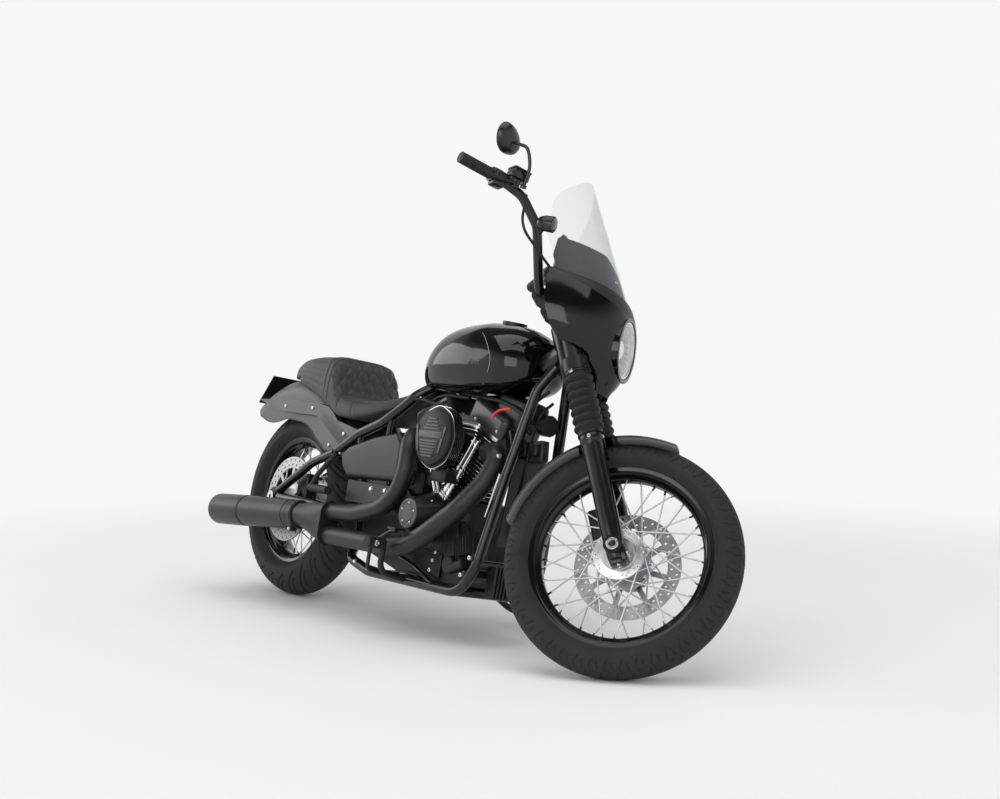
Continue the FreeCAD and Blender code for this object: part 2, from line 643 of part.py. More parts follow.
def make_wheels():
    """Both wheels: tyre, rim, spoked hub, disc, and the rear sprocket."""
    tyre("front_tyre", "front", front_axle, "front_tyre_radius", "front_tyre_section",
         "front_flange_radius", "front_rim_half_width")
    rim("front_rim", "front", front_axle, "front_flange_radius", "front_bead_radius", "front_rim_half_width")
    front = {"axle": "front_axle_radius", "half": "front_hub_half_width", "flange": "front_hub_flange_radius",
             "barrel": "front_hub_radius", "low": "fork_spread - slider_radius - hub_side_gap",
             "high": "fork_spread - slider_radius - hub_side_gap",
             "low_seat": "front_disc_offset - disc_thickness",
             "high_seat": "front_disc_offset + disc_thickness / 2",
             "low_boss": "1.2 * front_hub_radius", "high_boss": "disc_seat"}
    hub("front_hub", "front", front_axle, front, "front_bead_radius - rim_depth - rim_wall")
    disc("front_disc", "front", front_axle, "front_disc_radius", "disc_seat", "front_disc_offset")
    tyre("rear_tyre", "chassis", rear_axle, "rear_tyre_radius", "rear_tyre_section",
         "rear_flange_radius", "rear_rim_half_width")
    rim("rear_rim", "chassis", rear_axle, "rear_flange_radius", "rear_bead_radius", "rear_rim_half_width")
    reach = "swingarm_half_width - swingarm_radius - hub_side_gap"
    rear = {"axle": "rear_axle_radius", "half": "rear_hub_half_width", "flange": "rear_hub_flange_radius",
            "barrel": "rear_hub_radius", "low": reach, "high": reach,
            "low_seat": "rear_disc_offset + disc_thickness / 2",
            "high_seat": "sprocket_offset + sprocket_thickness / 2",
            "low_boss": "disc_seat", "high_boss": "disc_seat"}
    hub("rear_hub", "chassis", rear_axle, rear, "rear_bead_radius - rim_depth - rim_wall")
    disc("rear_disc", "chassis", rear_axle, "rear_disc_radius", "disc_seat", "-rear_disc_offset")
    body = new_body("belt_sprocket")
    sketch = sketch_on(body, "XY_Plane", "sprocket_face", "sprocket_offset - sprocket_thickness / 2")
    circle(sketch, "sprocket_radius")
    circle(sketch, "disc_seat")
    pad(body, "sprocket_pad", sketch, "sprocket_thickness")
    window = sketch_on(body, "XY_Plane", "sprocket_window", "sprocket_offset + sprocket_thickness / 2")
    circle(window, "(sprocket_radius - disc_seat) / 4", "(sprocket_radius + disc_seat) / 2")
    cut = feature(body, "Pocket", "sprocket_window_cut", Profile=window)
    bind(cut, Length="sprocket_thickness")
    around(body, "sprocket_windows", cut, window, "disc_arm_count")
    keep(body, "belt_sprocket", "chassis", wheel_place(rear_axle))


def make_axles():
    """Hollow axles with their heads outside what carries them."""
    front = [("front_axle_bore", "-front_axle_end"), ("front_axle_head_radius", "-front_axle_end"),
             ("front_axle_head_radius", "-front_axle_end + front_axle_head"),
             ("front_axle_radius", "-front_axle_end + front_axle_head"),
             ("front_axle_radius", "front_axle_end - front_axle_head"),
             ("front_axle_head_radius", "front_axle_end - front_axle_head"),
             ("front_axle_head_radius", "front_axle_end"), ("front_axle_bore", "front_axle_end")]
    collar, plate = "1.5 * rear_axle_radius", "swingarm_half_width - axle_plate / 2"
    hub_end = "swingarm_half_width - swingarm_radius"
    rear = [("rear_axle_bore", "-rear_axle_end"), ("rear_axle_nut_radius", "-rear_axle_end"),
            ("rear_axle_nut_radius", "-rear_axle_end + rear_axle_nut"),
            ("rear_axle_radius", "-rear_axle_end + rear_axle_nut"),
            ("rear_axle_radius", "-(%s)" % plate), (collar, "-(%s)" % plate), (collar, "-(%s)" % hub_end),
            ("rear_axle_radius", "-(%s)" % hub_end), ("rear_axle_radius", hub_end), (collar, hub_end),
            (collar, plate), ("rear_axle_radius", plate),
            ("rear_axle_radius", "rear_axle_end - rear_axle_nut"),
            ("rear_axle_nut_radius", "rear_axle_end - rear_axle_nut"),
            ("rear_axle_nut_radius", "rear_axle_end"), ("rear_axle_bore", "rear_axle_end")]
    for name, group, centre, profile in (("front_axle", "front", front_axle, front),
                                         ("rear_axle", "chassis", rear_axle, rear)):
        body = new_body(name)
        polygon(sketch_on(body, "XZ_Plane", name + "_section"), profile)
        turned(body, name + "_bar", body.Group[0])
        keep(body, name, group, wheel_place(centre))


# Front end, on the fork leg's line.

def fork_frame():
    """A place at the steering foot with its upright axis along the steering axis."""
    return Placement(steering_foot, Rotation(ACROSS, -v.rake))


def make_fork():
    """Clamps, tubes, gaiters and sliders."""
    for name, base, thickness in (("lower_clamp", "lower_clamp_base", "lower_clamp_thickness"),
                                  ("upper_clamp", "upper_clamp_base", "upper_clamp_thickness")):
        body = new_body(name)
        bridge = sketch_on(body, "XY_Plane", name + "_bridge", base)
        offset = "(front_tyre_radius * sin(rake * 1deg) - trail * cos(rake * 1deg))"
        polygon(bridge, box_corners(offset + " / 2 - clamp_bridge / 2", offset + " / 2 + clamp_bridge / 2",
                                    "-fork_spread", "fork_spread"))
        pad(body, name + "_plate", bridge, thickness)
        for side in (1, -1):
            boss = sketch_on(body, "XY_Plane", "%s_boss_%s" % (name, "left" if side > 0 else "right"), base)
            circle(boss, "clamp_boss_radius", offset, "%d * fork_spread" % side)
            pad(body, boss.Name + "_pad", boss, thickness)
        if name == "lower_clamp":
            stem = sketch_on(body, "XY_Plane", "steering_stem", base)
            circle(stem, "stem_radius")
            pad(body, "steering_stem_pad", stem, "upper_clamp_base - lower_clamp_base")
        for side in (1, -1):
            hole = sketch_on(body, "XY_Plane", "%s_hole_%s" % (name, "left" if side > 0 else "right"), base)
            circle(hole, "fork_tube_radius", offset, "%d * fork_spread" % side)
            cut = feature(body, "Pocket", hole.Name + "_cut", Profile=hole, Reversed=True)
            bind(cut, Length=thickness)
        keep(body, name, "front", fork_frame())
    tubes, gaiters, sliders = [], [], []
    pitch = (v.gaiter_top - v.slider_top) / v.gaiter_ridges
    for side in (1, -1):
        low, top = fork_spot(v.slider_top, side), fork_spot(v.fork_tube_top, side)
        tube = rod(low, top, v.fork_tube_radius)
        tubes.append(tube.cut(rod(low, fork_spot(v.fork_tube_top - v.fork_tube_wall, side),
                                  v.fork_tube_radius - v.fork_tube_wall)))
        rings = [Vector(v.fork_tube_radius, 0, 0), Vector(v.gaiter_groove, 0, 0)]
        for index in range(int(v.gaiter_ridges)):
            rings.append(Vector(v.gaiter_radius, 0, pitch * (index + 0.5)))
            rings.append(Vector(v.gaiter_groove, 0, pitch * (index + 1)))
        rings += [Vector(v.fork_tube_radius, 0, pitch * v.gaiter_ridges), rings[0]]
        ribbed = Part.Face(Part.makePolygon(rings)).revolve(ORIGIN, UP, 360)
        ribbed.Placement = Placement(low, Rotation(ACROSS, -v.rake))
        gaiters.append(ribbed)
        foot = front_axle + Vector(0, side * v.fork_spread, 0)
        slider = rod(foot, low, v.slider_radius)
        knuckle = Part.makeCylinder(v.slider_foot_radius, 2 * v.slider_radius - v.front_axle_head,
                                    foot - Vector(0, v.slider_radius - v.front_axle_head / 2, 0), ACROSS)
        slider = slider.fuse(knuckle)
        bore = Part.makeCylinder(v.front_axle_radius, 2 * v.front_axle_end,
                                 front_axle - Vector(0, v.front_axle_end, 0), ACROSS)
        outer = v.front_axle_end - v.front_axle_head
        face = Part.makeBox(4 * v.slider_radius, v.slider_radius, 4 * v.slider_radius,
                            front_axle + Vector(-2 * v.slider_radius, outer, -2 * v.slider_radius))
        if side < 0:
            face = face.mirror(ORIGIN, ACROSS)
        head = Part.makeCylinder(v.front_axle_head_radius, v.slider_radius,
                                 front_axle + Vector(0, side * outer, 0), ACROSS * side)
        sliders.append(slider.cut(bore).cut(head.common(face)))
    keep_shape(Part.makeCompound(tubes), "fork_tubes", "front")
    keep_shape(Part.makeCompound(gaiters), "fork_gaiters", "front")
    keep_shape(Part.makeCompound(sliders), "fork_sliders", "front")


def make_front_fender():
    """Crowned fender round the tyre, with a plate to each slider."""
    edge, crown = v.fender_edge_radius, v.fender_crown_radius
    wall, half = v.fender_wall, v.fender_half_width
    outer = Part.Arc(Vector(edge, -half, 0), Vector(crown, 0, 0), Vector(edge, half, 0)).toShape()
    thin = half - wall
    inner = Part.Arc(Vector(edge, thin, 0), Vector(crown - wall, 0, 0), Vector(edge, -thin, 0)).toShape()
    lips = [Part.LineSegment(Vector(edge, half, 0), Vector(edge, thin, 0)).toShape(),
            Part.LineSegment(Vector(edge, -thin, 0), Vector(edge, -half, 0)).toShape()]
    face = Part.Face(Part.Wire([outer, lips[0], inner, lips[1]]))
    face.rotate(ORIGIN, ACROSS, -v.fender_start)
    shell = face.revolve(ORIGIN, ACROSS, -v.fender_sweep)
    shell.translate(front_axle)
    plates = []
    for side in (1, -1):
        low = half - wall if side > 0 else -(v.fork_spread - v.slider_radius)
        high = v.fork_spread - v.slider_radius if side > 0 else wall - half
        box = Part.makeBox(v.fender_tab_width, high - low, v.fender_tab_length)
        box.Placement = Placement(front_axle + Vector(0, low, 0) + steering_up * v.fender_tab_height
                                  - steering_ahead * v.fender_tab_width / 2, Rotation(ACROSS, -v.rake))
        plates.append(box)
    room = [rod(fork_spot(v.slider_top, side), fork_spot(v.gaiter_top, side), v.gaiter_radius + v.seat_gap)
            for side in (1, -1)]
    web = fused([shell] + plates).cut(Part.makeCompound(room))
    hollow = Part.makeCylinder(edge, 2 * (half - wall), front_axle - Vector(0, half - wall, 0), ACROSS)
    keep_shape(web.cut(hollow), "front_fender", "front")


FAIRING_LEVELS_SHARES = [
    (0.0, 0.28, 0.945), (0.12, 0.56, 0.985), (0.24, 0.82, 1.0), (0.38, 0.975, 1.0),
    (0.55, 1.0, 0.965), (0.69, 0.985, 0.865), (0.81, 0.94, 0.73), (1.0, 0.83, 0.51),
]
FAIRING_TRIM_SHARES = [
    (0.6748, 1.0294), (0.8638, 1.0294), (0.8669, 1.1324), (0.8601, 1.1941), (0.8466, 1.2426),
    (0.819, 1.2676), (0.7926, 1.2676), (0.7742, 1.3088), (0.7595, 1.375), (0.7497, 1.4559),
    (0.7411, 1.5441), (0.7344, 1.6294), (0.7301, 1.7059), (0.7534, 1.8206), (0.7534, 1.9118),
    (0.6748, 1.9118),
]
FAIRING_PLAN_SHARES = [0.0, 0.25, 0.5, 0.7, 0.85, 0.95, 1.0]
FAIRING_POWER_SHARE = 2.4
SCREEN_PLAN_SHARES = [
    (0.7387, 0.9884, 1.6103), (0.7638, 0.9012, 1.6103), (0.7975, 0.7267, 1.6103), (0.8252, 0.4942, 1.6103),
    (0.8442, 0.2326, 1.6103), (0.8497, 0.0, 1.6103),
]
SCREEN_EDGE_SHARES = [
    (0.7294, 0.9651, 1.4706), (0.7294, 1.0, 1.6809), (0.7135, 0.9186, 1.7956), (0.6933, 0.7965, 1.9279),
    (0.6933, 0.593, 2.0), (0.6933, 0.3488, 2.0588), (0.6957, 0.1453, 2.0897),
]


def fairing_loft(wall):
    """The fairing's closed block: one superellipse across the bike at each level, inset by a wall."""
    base = v.fairing_nose - v.fairing_depth
    wires = []
    for level, width, nose in FAIRING_LEVELS_SHARES:
        half = width * v.fairing_half_width - wall
        reach = nose * v.fairing_depth - wall
        height = v.fairing_chin + level * v.fairing_height
        places = []
        for share in FAIRING_PLAN_SHARES:
            across = math.sin(share * math.pi / 2)
            ahead = (1 - across ** FAIRING_POWER_SHARE) ** (1 / FAIRING_POWER_SHARE)
            places.append(Vector(base + reach * ahead, half * across, height))
        mirrored = [Vector(place.x, -place.y, place.z) for place in reversed(places[1:])]
        curve = Part.BSplineCurve()
        curve.interpolate(mirrored + places)
        wires.append(Part.Wire([curve.toShape(), Part.LineSegment(places[-1], mirrored[0]).toShape()]))
    return Part.makeLoft(wires, True, False)


def screen_block(inset):
    """Everything behind the windscreen's sheet, inset from its outer face."""
    plan = route(SCREEN_PLAN_SHARES, v.screen_half_width)
    plan += [Vector(place.x, -place.y, place.z) for place in reversed(plan[:-1])]
    moved = []
    for index, place in enumerate(plan):
        along = plan[min(index + 1, len(plan) - 1)] - plan[max(index - 1, 0)]
        moved.append(place - Vector(-along.y, along.x, 0).normalize() * inset)
    curve = Part.BSplineCurve()
    curve.interpolate(moved)
    face = Part.Face(Part.Wire([curve.toShape(), Part.LineSegment(moved[-1], moved[0]).toShape()]))
    slope = Vector(-math.tan(math.radians(v.screen_rake)), 0, 1) * v.fairing_height
    block = face.extrude(slope * 2)
    block.translate(slope * -0.5)
    return block


def lamp_place():
    """The headlamp's face, its axis pointing ahead and slightly up."""
    return Placement(Vector(v.lamp_forward, 0, v.lamp_height), Rotation(ACROSS, 90 - v.lamp_tilt))


def lamp_turn(points):
    """Turn a profile of radius and depth round the lamp's axis."""
    outline = [Vector(radius, 0, depth) for radius, depth in points]
    shape = Part.Face(Part.makePolygon(outline + outline[:1])).revolve(ORIGIN, UP, 360)
    shape.Placement = lamp_place()
    return shape


def fairing_body(wall, ledge, screen_inset):
    """The fairing's block, cut back above the ledge to follow the windscreen."""
    above = Part.makeBox(2 * v.fairing_depth, 4 * v.fairing_half_width, v.fairing_height,
                         Vector(v.fairing_nose - 1.5 * v.fairing_depth, -2 * v.fairing_half_width, ledge))
    return fairing_loft(wall).cut(above.cut(screen_block(screen_inset)))


def make_fairing():
    """Hollow fairing round the headlamp, trimmed at the back, with two stays to the fork tubes."""
    wall = v.fairing_wall
    inset = v.screen_wall + v.seat_gap
    outer = fairing_body(0.0, v.fairing_ledge, inset)
    inner = fairing_body(wall, v.fairing_ledge - wall, inset + wall)
    back = Part.makeBox(v.fairing_depth, 4 * v.fairing_half_width, 3 * v.fairing_height,
                        Vector(v.fairing_nose - 2 * v.fairing_depth + wall, -2 * v.fairing_half_width,
                               v.fairing_chin - v.fairing_height))
    shell = outer.cut(inner).cut(back)
    trim = slab(side_places(FAIRING_TRIM_SHARES), -2 * v.fairing_half_width, 2 * v.fairing_half_width)
    opening = Part.makeCylinder(v.lamp_radius + v.lamp_rim, 2 * v.lamp_depth, Vector(0, 0, -v.lamp_depth), UP)
    opening.Placement = lamp_place()
    shell = biggest(shell.cut(trim).cut(opening))
    height = (v.lower_clamp_base + v.upper_clamp_base) / 2
    stays = []
    for side in (1, -1):
        start = fork_spot(height, side) + Vector(0, side * v.fork_tube_radius, 0)
        stays.append(rod(start, start + Vector(0, side * v.fork_spread, 0), v.line_radius * 2).common(outer))
    keep_shape(shell.multiFuse(stays), "fairing", "front")
    rim_radius = v.lamp_radius + v.lamp_rim
    cup = lamp_turn([(rim_radius - v.seat_gap, 0.0), (rim_radius - v.seat_gap, -5 * wall),
                     (0.35 * rim_radius, -v.lamp_depth), (0.0, -v.lamp_depth), (0.0, wall - v.lamp_depth),
                     (0.35 * rim_radius - wall, wall - v.lamp_depth), (v.lamp_radius - wall, -4 * wall),
                     (v.lamp_radius - wall, -2 * wall), (v.lamp_radius, -2 * wall), (v.lamp_radius, 0.0)])
    lens = lamp_turn([(v.lamp_radius, -2 * wall), (v.lamp_radius, -wall), (0.5 * v.lamp_radius, 0.0),
                      (0.0, 0.0), (0.0, -2 * wall)])
    keep_shape(cup, "headlamp_shell", "front")
    keep_shape(lens, "headlamp_lens", "front")


def make_screen():
    """Clear sheet bent round one slope, trimmed to a round-topped outline above the ledge."""
    sheet_block = screen_block(0.0).cut(screen_block(v.screen_wall))
    edge = [Vector(0, place.y, place.z) for place in route(SCREEN_EDGE_SHARES, v.screen_half_width)]
    other = [Vector(0, -place.y, place.z) for place in reversed(edge)]
    outline = Part.BSplineCurve()
    outline.interpolate(edge + [Vector(0, 0, v.screen_top)] + other)
    foot_line = Part.LineSegment(outline.EndPoint, outline.StartPoint)
    front = Part.Face(Part.Wire([outline.toShape(), foot_line.toShape()]))
    below = Part.makeBox(2 * v.wheelbase, 4 * v.fairing_half_width, v.fairing_ledge + v.seat_gap,
                         Vector(0, -2 * v.fairing_half_width, 0))
    sheet_block = sheet_block.common(front.extrude(ALONG * v.wheelbase))
    keep_shape(biggest(sheet_block.cut(below)), "windscreen", "front")


BAR_SHARES = [
    (0.7117, 0.0, 1.4941), (0.7117, 0.195, 1.4971), (0.6945, 0.48, 1.7176), (0.6595, 0.6, 1.8118),
    (0.6184, 0.75, 1.8324), (0.5699, 1.0, 1.8176),
]
MIRROR_TURN = 28.0
RISER_SHARES = [
    (0.7411, 0.13, 1.4485), (0.7135, 0.13, 1.475),
]
STEM_SHARES = [
    (0.6638, 0.8121, 1.8294), (0.6675, 0.8727, 1.9088), (0.6564, 0.9636, 1.9779), (0.638, 0.9939, 1.9912),
    (0.6209, 1.0, 1.9971),
]
LEVER_SHARES = [
    (0.6699, 0.67, 1.8235), (0.6724, 0.73, 1.8235), (0.6319, 0.88, 1.8235), (0.5902, 1.05, 1.8118),
]
SIGNAL_SHARES = (0.7166, 0.0, 1.7235)


def mirror_spread():
    """A mirror's distance from the centre plane."""
    return v.bar_half_width - v.mirror_inset


def make_handlebar():
    """Tall handlebar on risers, with grips, controls and mirrors."""
    half = [spot(shares, v.bar_half_width) for shares in BAR_SHARES]
    other = [spot(shares, v.bar_half_width, -1) for shares in reversed(BAR_SHARES[1:])]
    points = other + half[1:]
    tube = pipe(points, v.bar_radius, v.bar_wall, v.bar_bend)
    keep_shape(tube, "handlebar", "front")
    risers, grips, controls, mirrors, signals = [], [], [], [], []
    solid_bar = bar(points, v.bar_radius, v.bar_bend)
    clamp_top = Part.makeBox(8 * v.fork_spread, 8 * v.fork_spread, 8 * v.fork_spread)
    clamp_height = v.upper_clamp_base + v.upper_clamp_thickness
    clamp_top.Placement = Placement(steering_foot + steering_up * clamp_height
                                    - steering_ahead * 4 * v.fork_spread - Vector(0, 4 * v.fork_spread, 0),
                                    Rotation(ACROSS, -v.rake))
    for side in (1, -1):
        low, high = route(RISER_SHARES, v.bar_half_width, side)
        sleeve = Part.makeCylinder(1.7 * v.bar_radius, 2.4 * v.bar_radius, Vector(0, 0, 0), ACROSS)
        axis_point = spot(BAR_SHARES[0], v.bar_half_width)
        sleeve.translate(Vector(axis_point.x, low.y - 1.2 * v.bar_radius, axis_point.z))
        stalk = rod(low - (high - low) * 0.8, high, 1.3 * v.bar_radius)
        risers.append(fused([stalk.common(clamp_top), sleeve]).cut(solid_bar))
        end = half[-1]
        inner = half[-2]
        direction = (end - inner).normalize()
        if side < 0:
            end, inner = Vector(end.x, -end.y, end.z), Vector(inner.x, -inner.y, inner.z)
            direction = Vector(direction.x, -direction.y, direction.z)
        start = end - direction * v.grip_length
        grip = rod(start, end + direction * v.bar_wall, v.grip_radius)
        grips.append(grip.cut(rod(start, end, v.bar_radius)))
        housing_end = start - direction * v.seat_gap
        housing_start = start - direction * 3.2 * v.bar_radius
        housing = rod(housing_start, housing_end, 1.75 * v.bar_radius)
        lever = bar(route(LEVER_SHARES, v.bar_half_width, side), 0.42 * v.bar_radius, v.bar_bend)
        cup_foot = spot(LEVER_SHARES[0], v.bar_half_width, side) - Vector(0, 0, 1.2 * v.bar_radius)
        cup = Part.makeCylinder(1.6 * v.bar_radius, 3 * v.bar_radius, cup_foot, UP)
        grip_room = rod(start - direction * v.seat_gap / 2, end + direction * v.grip_length,
                        v.grip_radius + v.seat_gap)
        controls.append(fused([housing, cup, lever]).cut(solid_bar).cut(grip_room))
        stem = bar(route(STEM_SHARES, mirror_spread(), side), v.mirror_stem_radius, v.bar_bend)
        head = Part.makeSphere(1.0)
        scale = FreeCAD.Matrix()
        scale.scale(v.mirror_depth, v.mirror_half_width, v.mirror_half_height)
        head = head.transformGeometry(scale)
        head.rotate(ORIGIN, UP, side * MIRROR_TURN)
        head.translate(Vector(v.mirror_forward, side * mirror_spread(), v.mirror_height))
        mirrors.append(fused([stem, head]))
        lamp = spot(SIGNAL_SHARES, v.bar_half_width)
        lamp.y = side * (v.screen_half_width + v.signal_gap)
        bulb = rod(lamp - ALONG * v.signal_length / 2, lamp + ALONG * v.signal_length / 2, v.signal_radius)
        arm = rod(spot(BAR_SHARES[2], v.bar_half_width, side), lamp, 0.4 * v.signal_radius)
        signals.append(fused([bulb, arm]).cut(solid_bar))
    doc.recompute()
    clamp = nodes["upper_clamp"]
    clamp.Label = "upper_clamp_body"
    clamp_shape = clamp.Shape.transformed(POSES["front"].inverse().toMatrix(), True)
    keep_shape(clamp_shape.multiFuse(risers), "upper_clamp", "front")
    keep_shape(Part.makeCompound([biggest(signal) for signal in signals]), "front_signals", "front")
    keep_shape(Part.makeCompound(grips), "grips", "front")
    controls = [shape.cut(Part.makeCompound(mirrors)) for shape in controls]
    keep_shape(Part.makeCompound(controls), "hand_controls", "front")
    keep_shape(Part.makeCompound(mirrors), "mirrors", "front")


def front_caliper_place():
    """Middle of the front caliper, on the disc's plane."""
    return front_axle + Vector(-0.70 * v.front_disc_radius, v.front_disc_offset, 0.60 * v.front_disc_radius)


def make_front_caliper():
    """Caliper over the front disc, behind the left slider."""
    place = front_caliper_place()
    block = Part.makeBox(v.caliper_height, v.caliper_width, v.caliper_length)
    block.translate(Vector(-v.caliper_height / 2, -v.caliper_inner, -v.caliper_length / 2))
    block = block.makeFillet(v.caliper_slot, block.Edges)
    block.rotate(ORIGIN, ACROSS, -v.rake)
    block.translate(place)
    slot = Part.makeCylinder(v.front_disc_radius + v.hub_side_gap, v.caliper_slot,
                             front_axle + Vector(0, v.front_disc_offset - v.caliper_slot / 2, 0), ACROSS)
    hook = rod(place + Vector(0, 0.45 * v.caliper_width, 0), fork_spot(0.55 * v.front_disc_radius, 1),
               1.1 * v.bar_radius)
    sliders = nodes["fork_sliders"].Shape.transformed(POSES["front"].inverse().toMatrix())
    keep_shape(fused([block, hook]).cut(slot).cut(sliders), "front_caliper", "front")


# Frame, swingarm and side stand.

DOWNTUBE_SHARES = [
    (0.7804, 0.2131, 1.2294), (0.7583, 0.459, 1.1206), (0.7356, 0.7541, 0.725), (0.7166, 0.9672, 0.3529),
    (0.6822, 1.0, 0.2206), (0.3865, 1.0, 0.2206), (0.3129, 1.0, 0.2618), (0.2791, 0.4918, 0.35),
    (0.2699, 0.459, 0.4853), (0.2528, 0.459, 0.6471), (0.2362, 0.8197, 0.7353), (0.2117, 1.0492, 0.7471),
]
SEAT_RAIL_SHARES = [
    (0.2117, 1.0492, 0.7471), (0.2945, 1.1311, 0.8441), (0.362, 1.0656, 0.9088), (0.3988, 0.918, 0.9824),
    (0.4294, 0.8197, 1.0471), (0.454, 0.4918, 1.1059), (0.4724, 0.1639, 1.1397),
]
BACKBONE_SHARES = [
    (0.7847, 0.0, 1.2941), (0.7239, 0.0, 1.2324), (0.6012, 0.0, 1.1765), (0.5153, 0.0, 1.1647),
    (0.4325, 0.0, 1.1103),
]
PIVOT_LINK_SHARES = DOWNTUBE_SHARES[8]
PIVOT_SHARES = [
    (0.2933, 0.0, 0.4676),
]
BRACE_SHARES = [
    (0.2485, 1.0, 0.4706),
]
SWINGARM_SHARES = [
    (0.0, 1.0, 0.475), (0.2933, 1.0, 0.4676),
]
STAY_SHARES = [
    (0.0135, 1.0, 0.5074), (0.1264, 1.0, 0.6721), (0.2074, 1.0, 0.7397),
]
MOUNT_SHARES = [
    (0.638, 1.0, 0.2206), (0.4908, 1.0, 0.2206), (0.7166, 0.9672, 0.3529),
]


def make_frame():
    """Head tube, backbone, and a loop of tube down each side to the swingarm pivot."""
    radius = v.frame_tube_radius
    low = steering_foot + steering_up * (v.lower_clamp_base + v.lower_clamp_thickness + v.head_tube_gap)
    top = steering_foot + steering_up * (v.upper_clamp_base - v.head_tube_gap)
    parts = [rod(low, top, v.head_tube_radius)]
    parts.append(bar(route(BACKBONE_SHARES, v.frame_half_width), v.backbone_radius, v.frame_bend))
    pivot = spot(PIVOT_SHARES[0], v.frame_half_width)
    reach = v.swingarm_half_width - v.swingarm_boss / 2 - v.seat_gap
    for side in (1, -1):
        parts.append(bar(route(DOWNTUBE_SHARES, v.frame_half_width, side), radius, v.frame_bend))
        parts.append(bar(route(SEAT_RAIL_SHARES, v.frame_half_width, side), radius, v.frame_bend))
        upright_tube = spot(PIVOT_LINK_SHARES, v.frame_half_width, side)
        parts.append(rod(pivot + Vector(0, side * reach / 2, 0), upright_tube, radius))
    for shares in MOUNT_SHARES:
        parts.append(rod(spot(shares, v.frame_half_width), spot(shares, v.frame_half_width, -1), radius))
    parts.append(rod(pivot + Vector(0, reach, 0), pivot - Vector(0, reach, 0), 1.3 * radius))
    bore = rod(low - steering_up * v.overrun, top + steering_up * v.overrun, v.stem_radius + v.running_gap)
    parts.append(rod(stand_pivot() - stand_axis() * 1.6 * radius, stand_pivot(), 0.8 * radius))
    keep_shape(fused(parts).cut(bore), "frame", "chassis")


STAND_AXIS_SHARES = (-0.27, 0.95, 0.14)


def stand_pivot():
    """Centre of the side stand's hinge."""
    return Vector(v.stand_pivot_x, v.stand_pivot_y, v.stand_pivot_z)


def stand_axis():
    """The stand's hinge axis, tilted so that the leg folds in beside the lower rail."""
    return Vector(*STAND_AXIS_SHARES).normalize()


def make_swingarm():
    """Triangulated tube swingarm with an axle plate on each side."""
    parts, holes, plates = [], [], []
    for side in (1, -1):
        rear, front = route(SWINGARM_SHARES, v.swingarm_half_width, side)
        parts.append(rod(rear, front, v.swingarm_radius))
        stay = route(STAY_SHARES, v.swingarm_half_width, side)
        parts.append(bar(stay, 0.8 * v.swingarm_radius, v.frame_bend))
        parts.append(Part.makeCylinder(1.3 * v.swingarm_radius, v.swingarm_boss,
                                       front - Vector(0, v.swingarm_boss / 2, 0), ACROSS))
        holes.append(Part.makeCylinder(v.axle_plate_radius, 4 * v.swingarm_radius,
                                       rear - Vector(0, 2 * v.swingarm_radius, 0), ACROSS))
        plates.append(Part.makeCylinder(v.axle_plate_radius, v.axle_plate,
                                        rear - Vector(0, v.axle_plate / 2, 0), ACROSS))
    brace = spot(BRACE_SHARES[0], v.swingarm_half_width)
    parts.append(rod(brace, Vector(brace.x, -brace.y, brace.z), 0.8 * v.swingarm_radius))
    trimmed = fused(parts).cut(Part.makeCompound(holes)).cut(upright("frame"))
    bore = Part.makeCylinder(v.rear_axle_radius, 2 * v.rear_axle_end,
                             rear_axle - Vector(0, v.rear_axle_end, 0), ACROSS)
    keep_shape(biggest(fused([trimmed] + plates).cut(bore)), "swingarm", "chassis")


def make_stand():
    """Side stand: an eye on the frame's pin, a bent leg and a round foot flat on the ground."""
    floor = PARKED.inverse()
    normal = floor.Rotation.multVec(UP)
    on_floor = floor.multVec(ORIGIN)
    drop = (Vector(v.stand_foot_x, v.stand_foot_y, 0) - on_floor).dot(normal) / normal.z
    foot = Vector(v.stand_foot_x, v.stand_foot_y, -drop)
    pad_disc = Part.makeCylinder(v.stand_pad_radius, v.stand_pad_thickness, foot, normal)
    eye_start = stand_pivot() + stand_axis() * v.head_tube_gap
    eye = rod(eye_start, eye_start + stand_axis() * 1.2 * v.frame_tube_radius, 1.1 * v.frame_tube_radius)
    hip = eye_start + stand_axis() * 0.6 * v.frame_tube_radius
    knee = hip + (foot - hip) * 0.35 - Vector(0, 0, 0.12 * v.stand_pivot_z)
    leg = bar([hip, knee, foot + normal * 1.5 * v.stand_pad_thickness], v.stand_leg_radius, v.frame_bend)
    keep_shape(fused([eye, leg, pad_disc]), "side_stand", "chassis")


# Engine.

CASE_SHARES = [
    (0.319, 0.3265), (0.4663, 0.2447), (0.6503, 0.2447), (0.6773, 0.3059), (0.6798, 0.4853),
    (0.6442, 0.5912), (0.4663, 0.5912), (0.4509, 0.6235), (0.3436, 0.6235), (0.319, 0.5588),
]


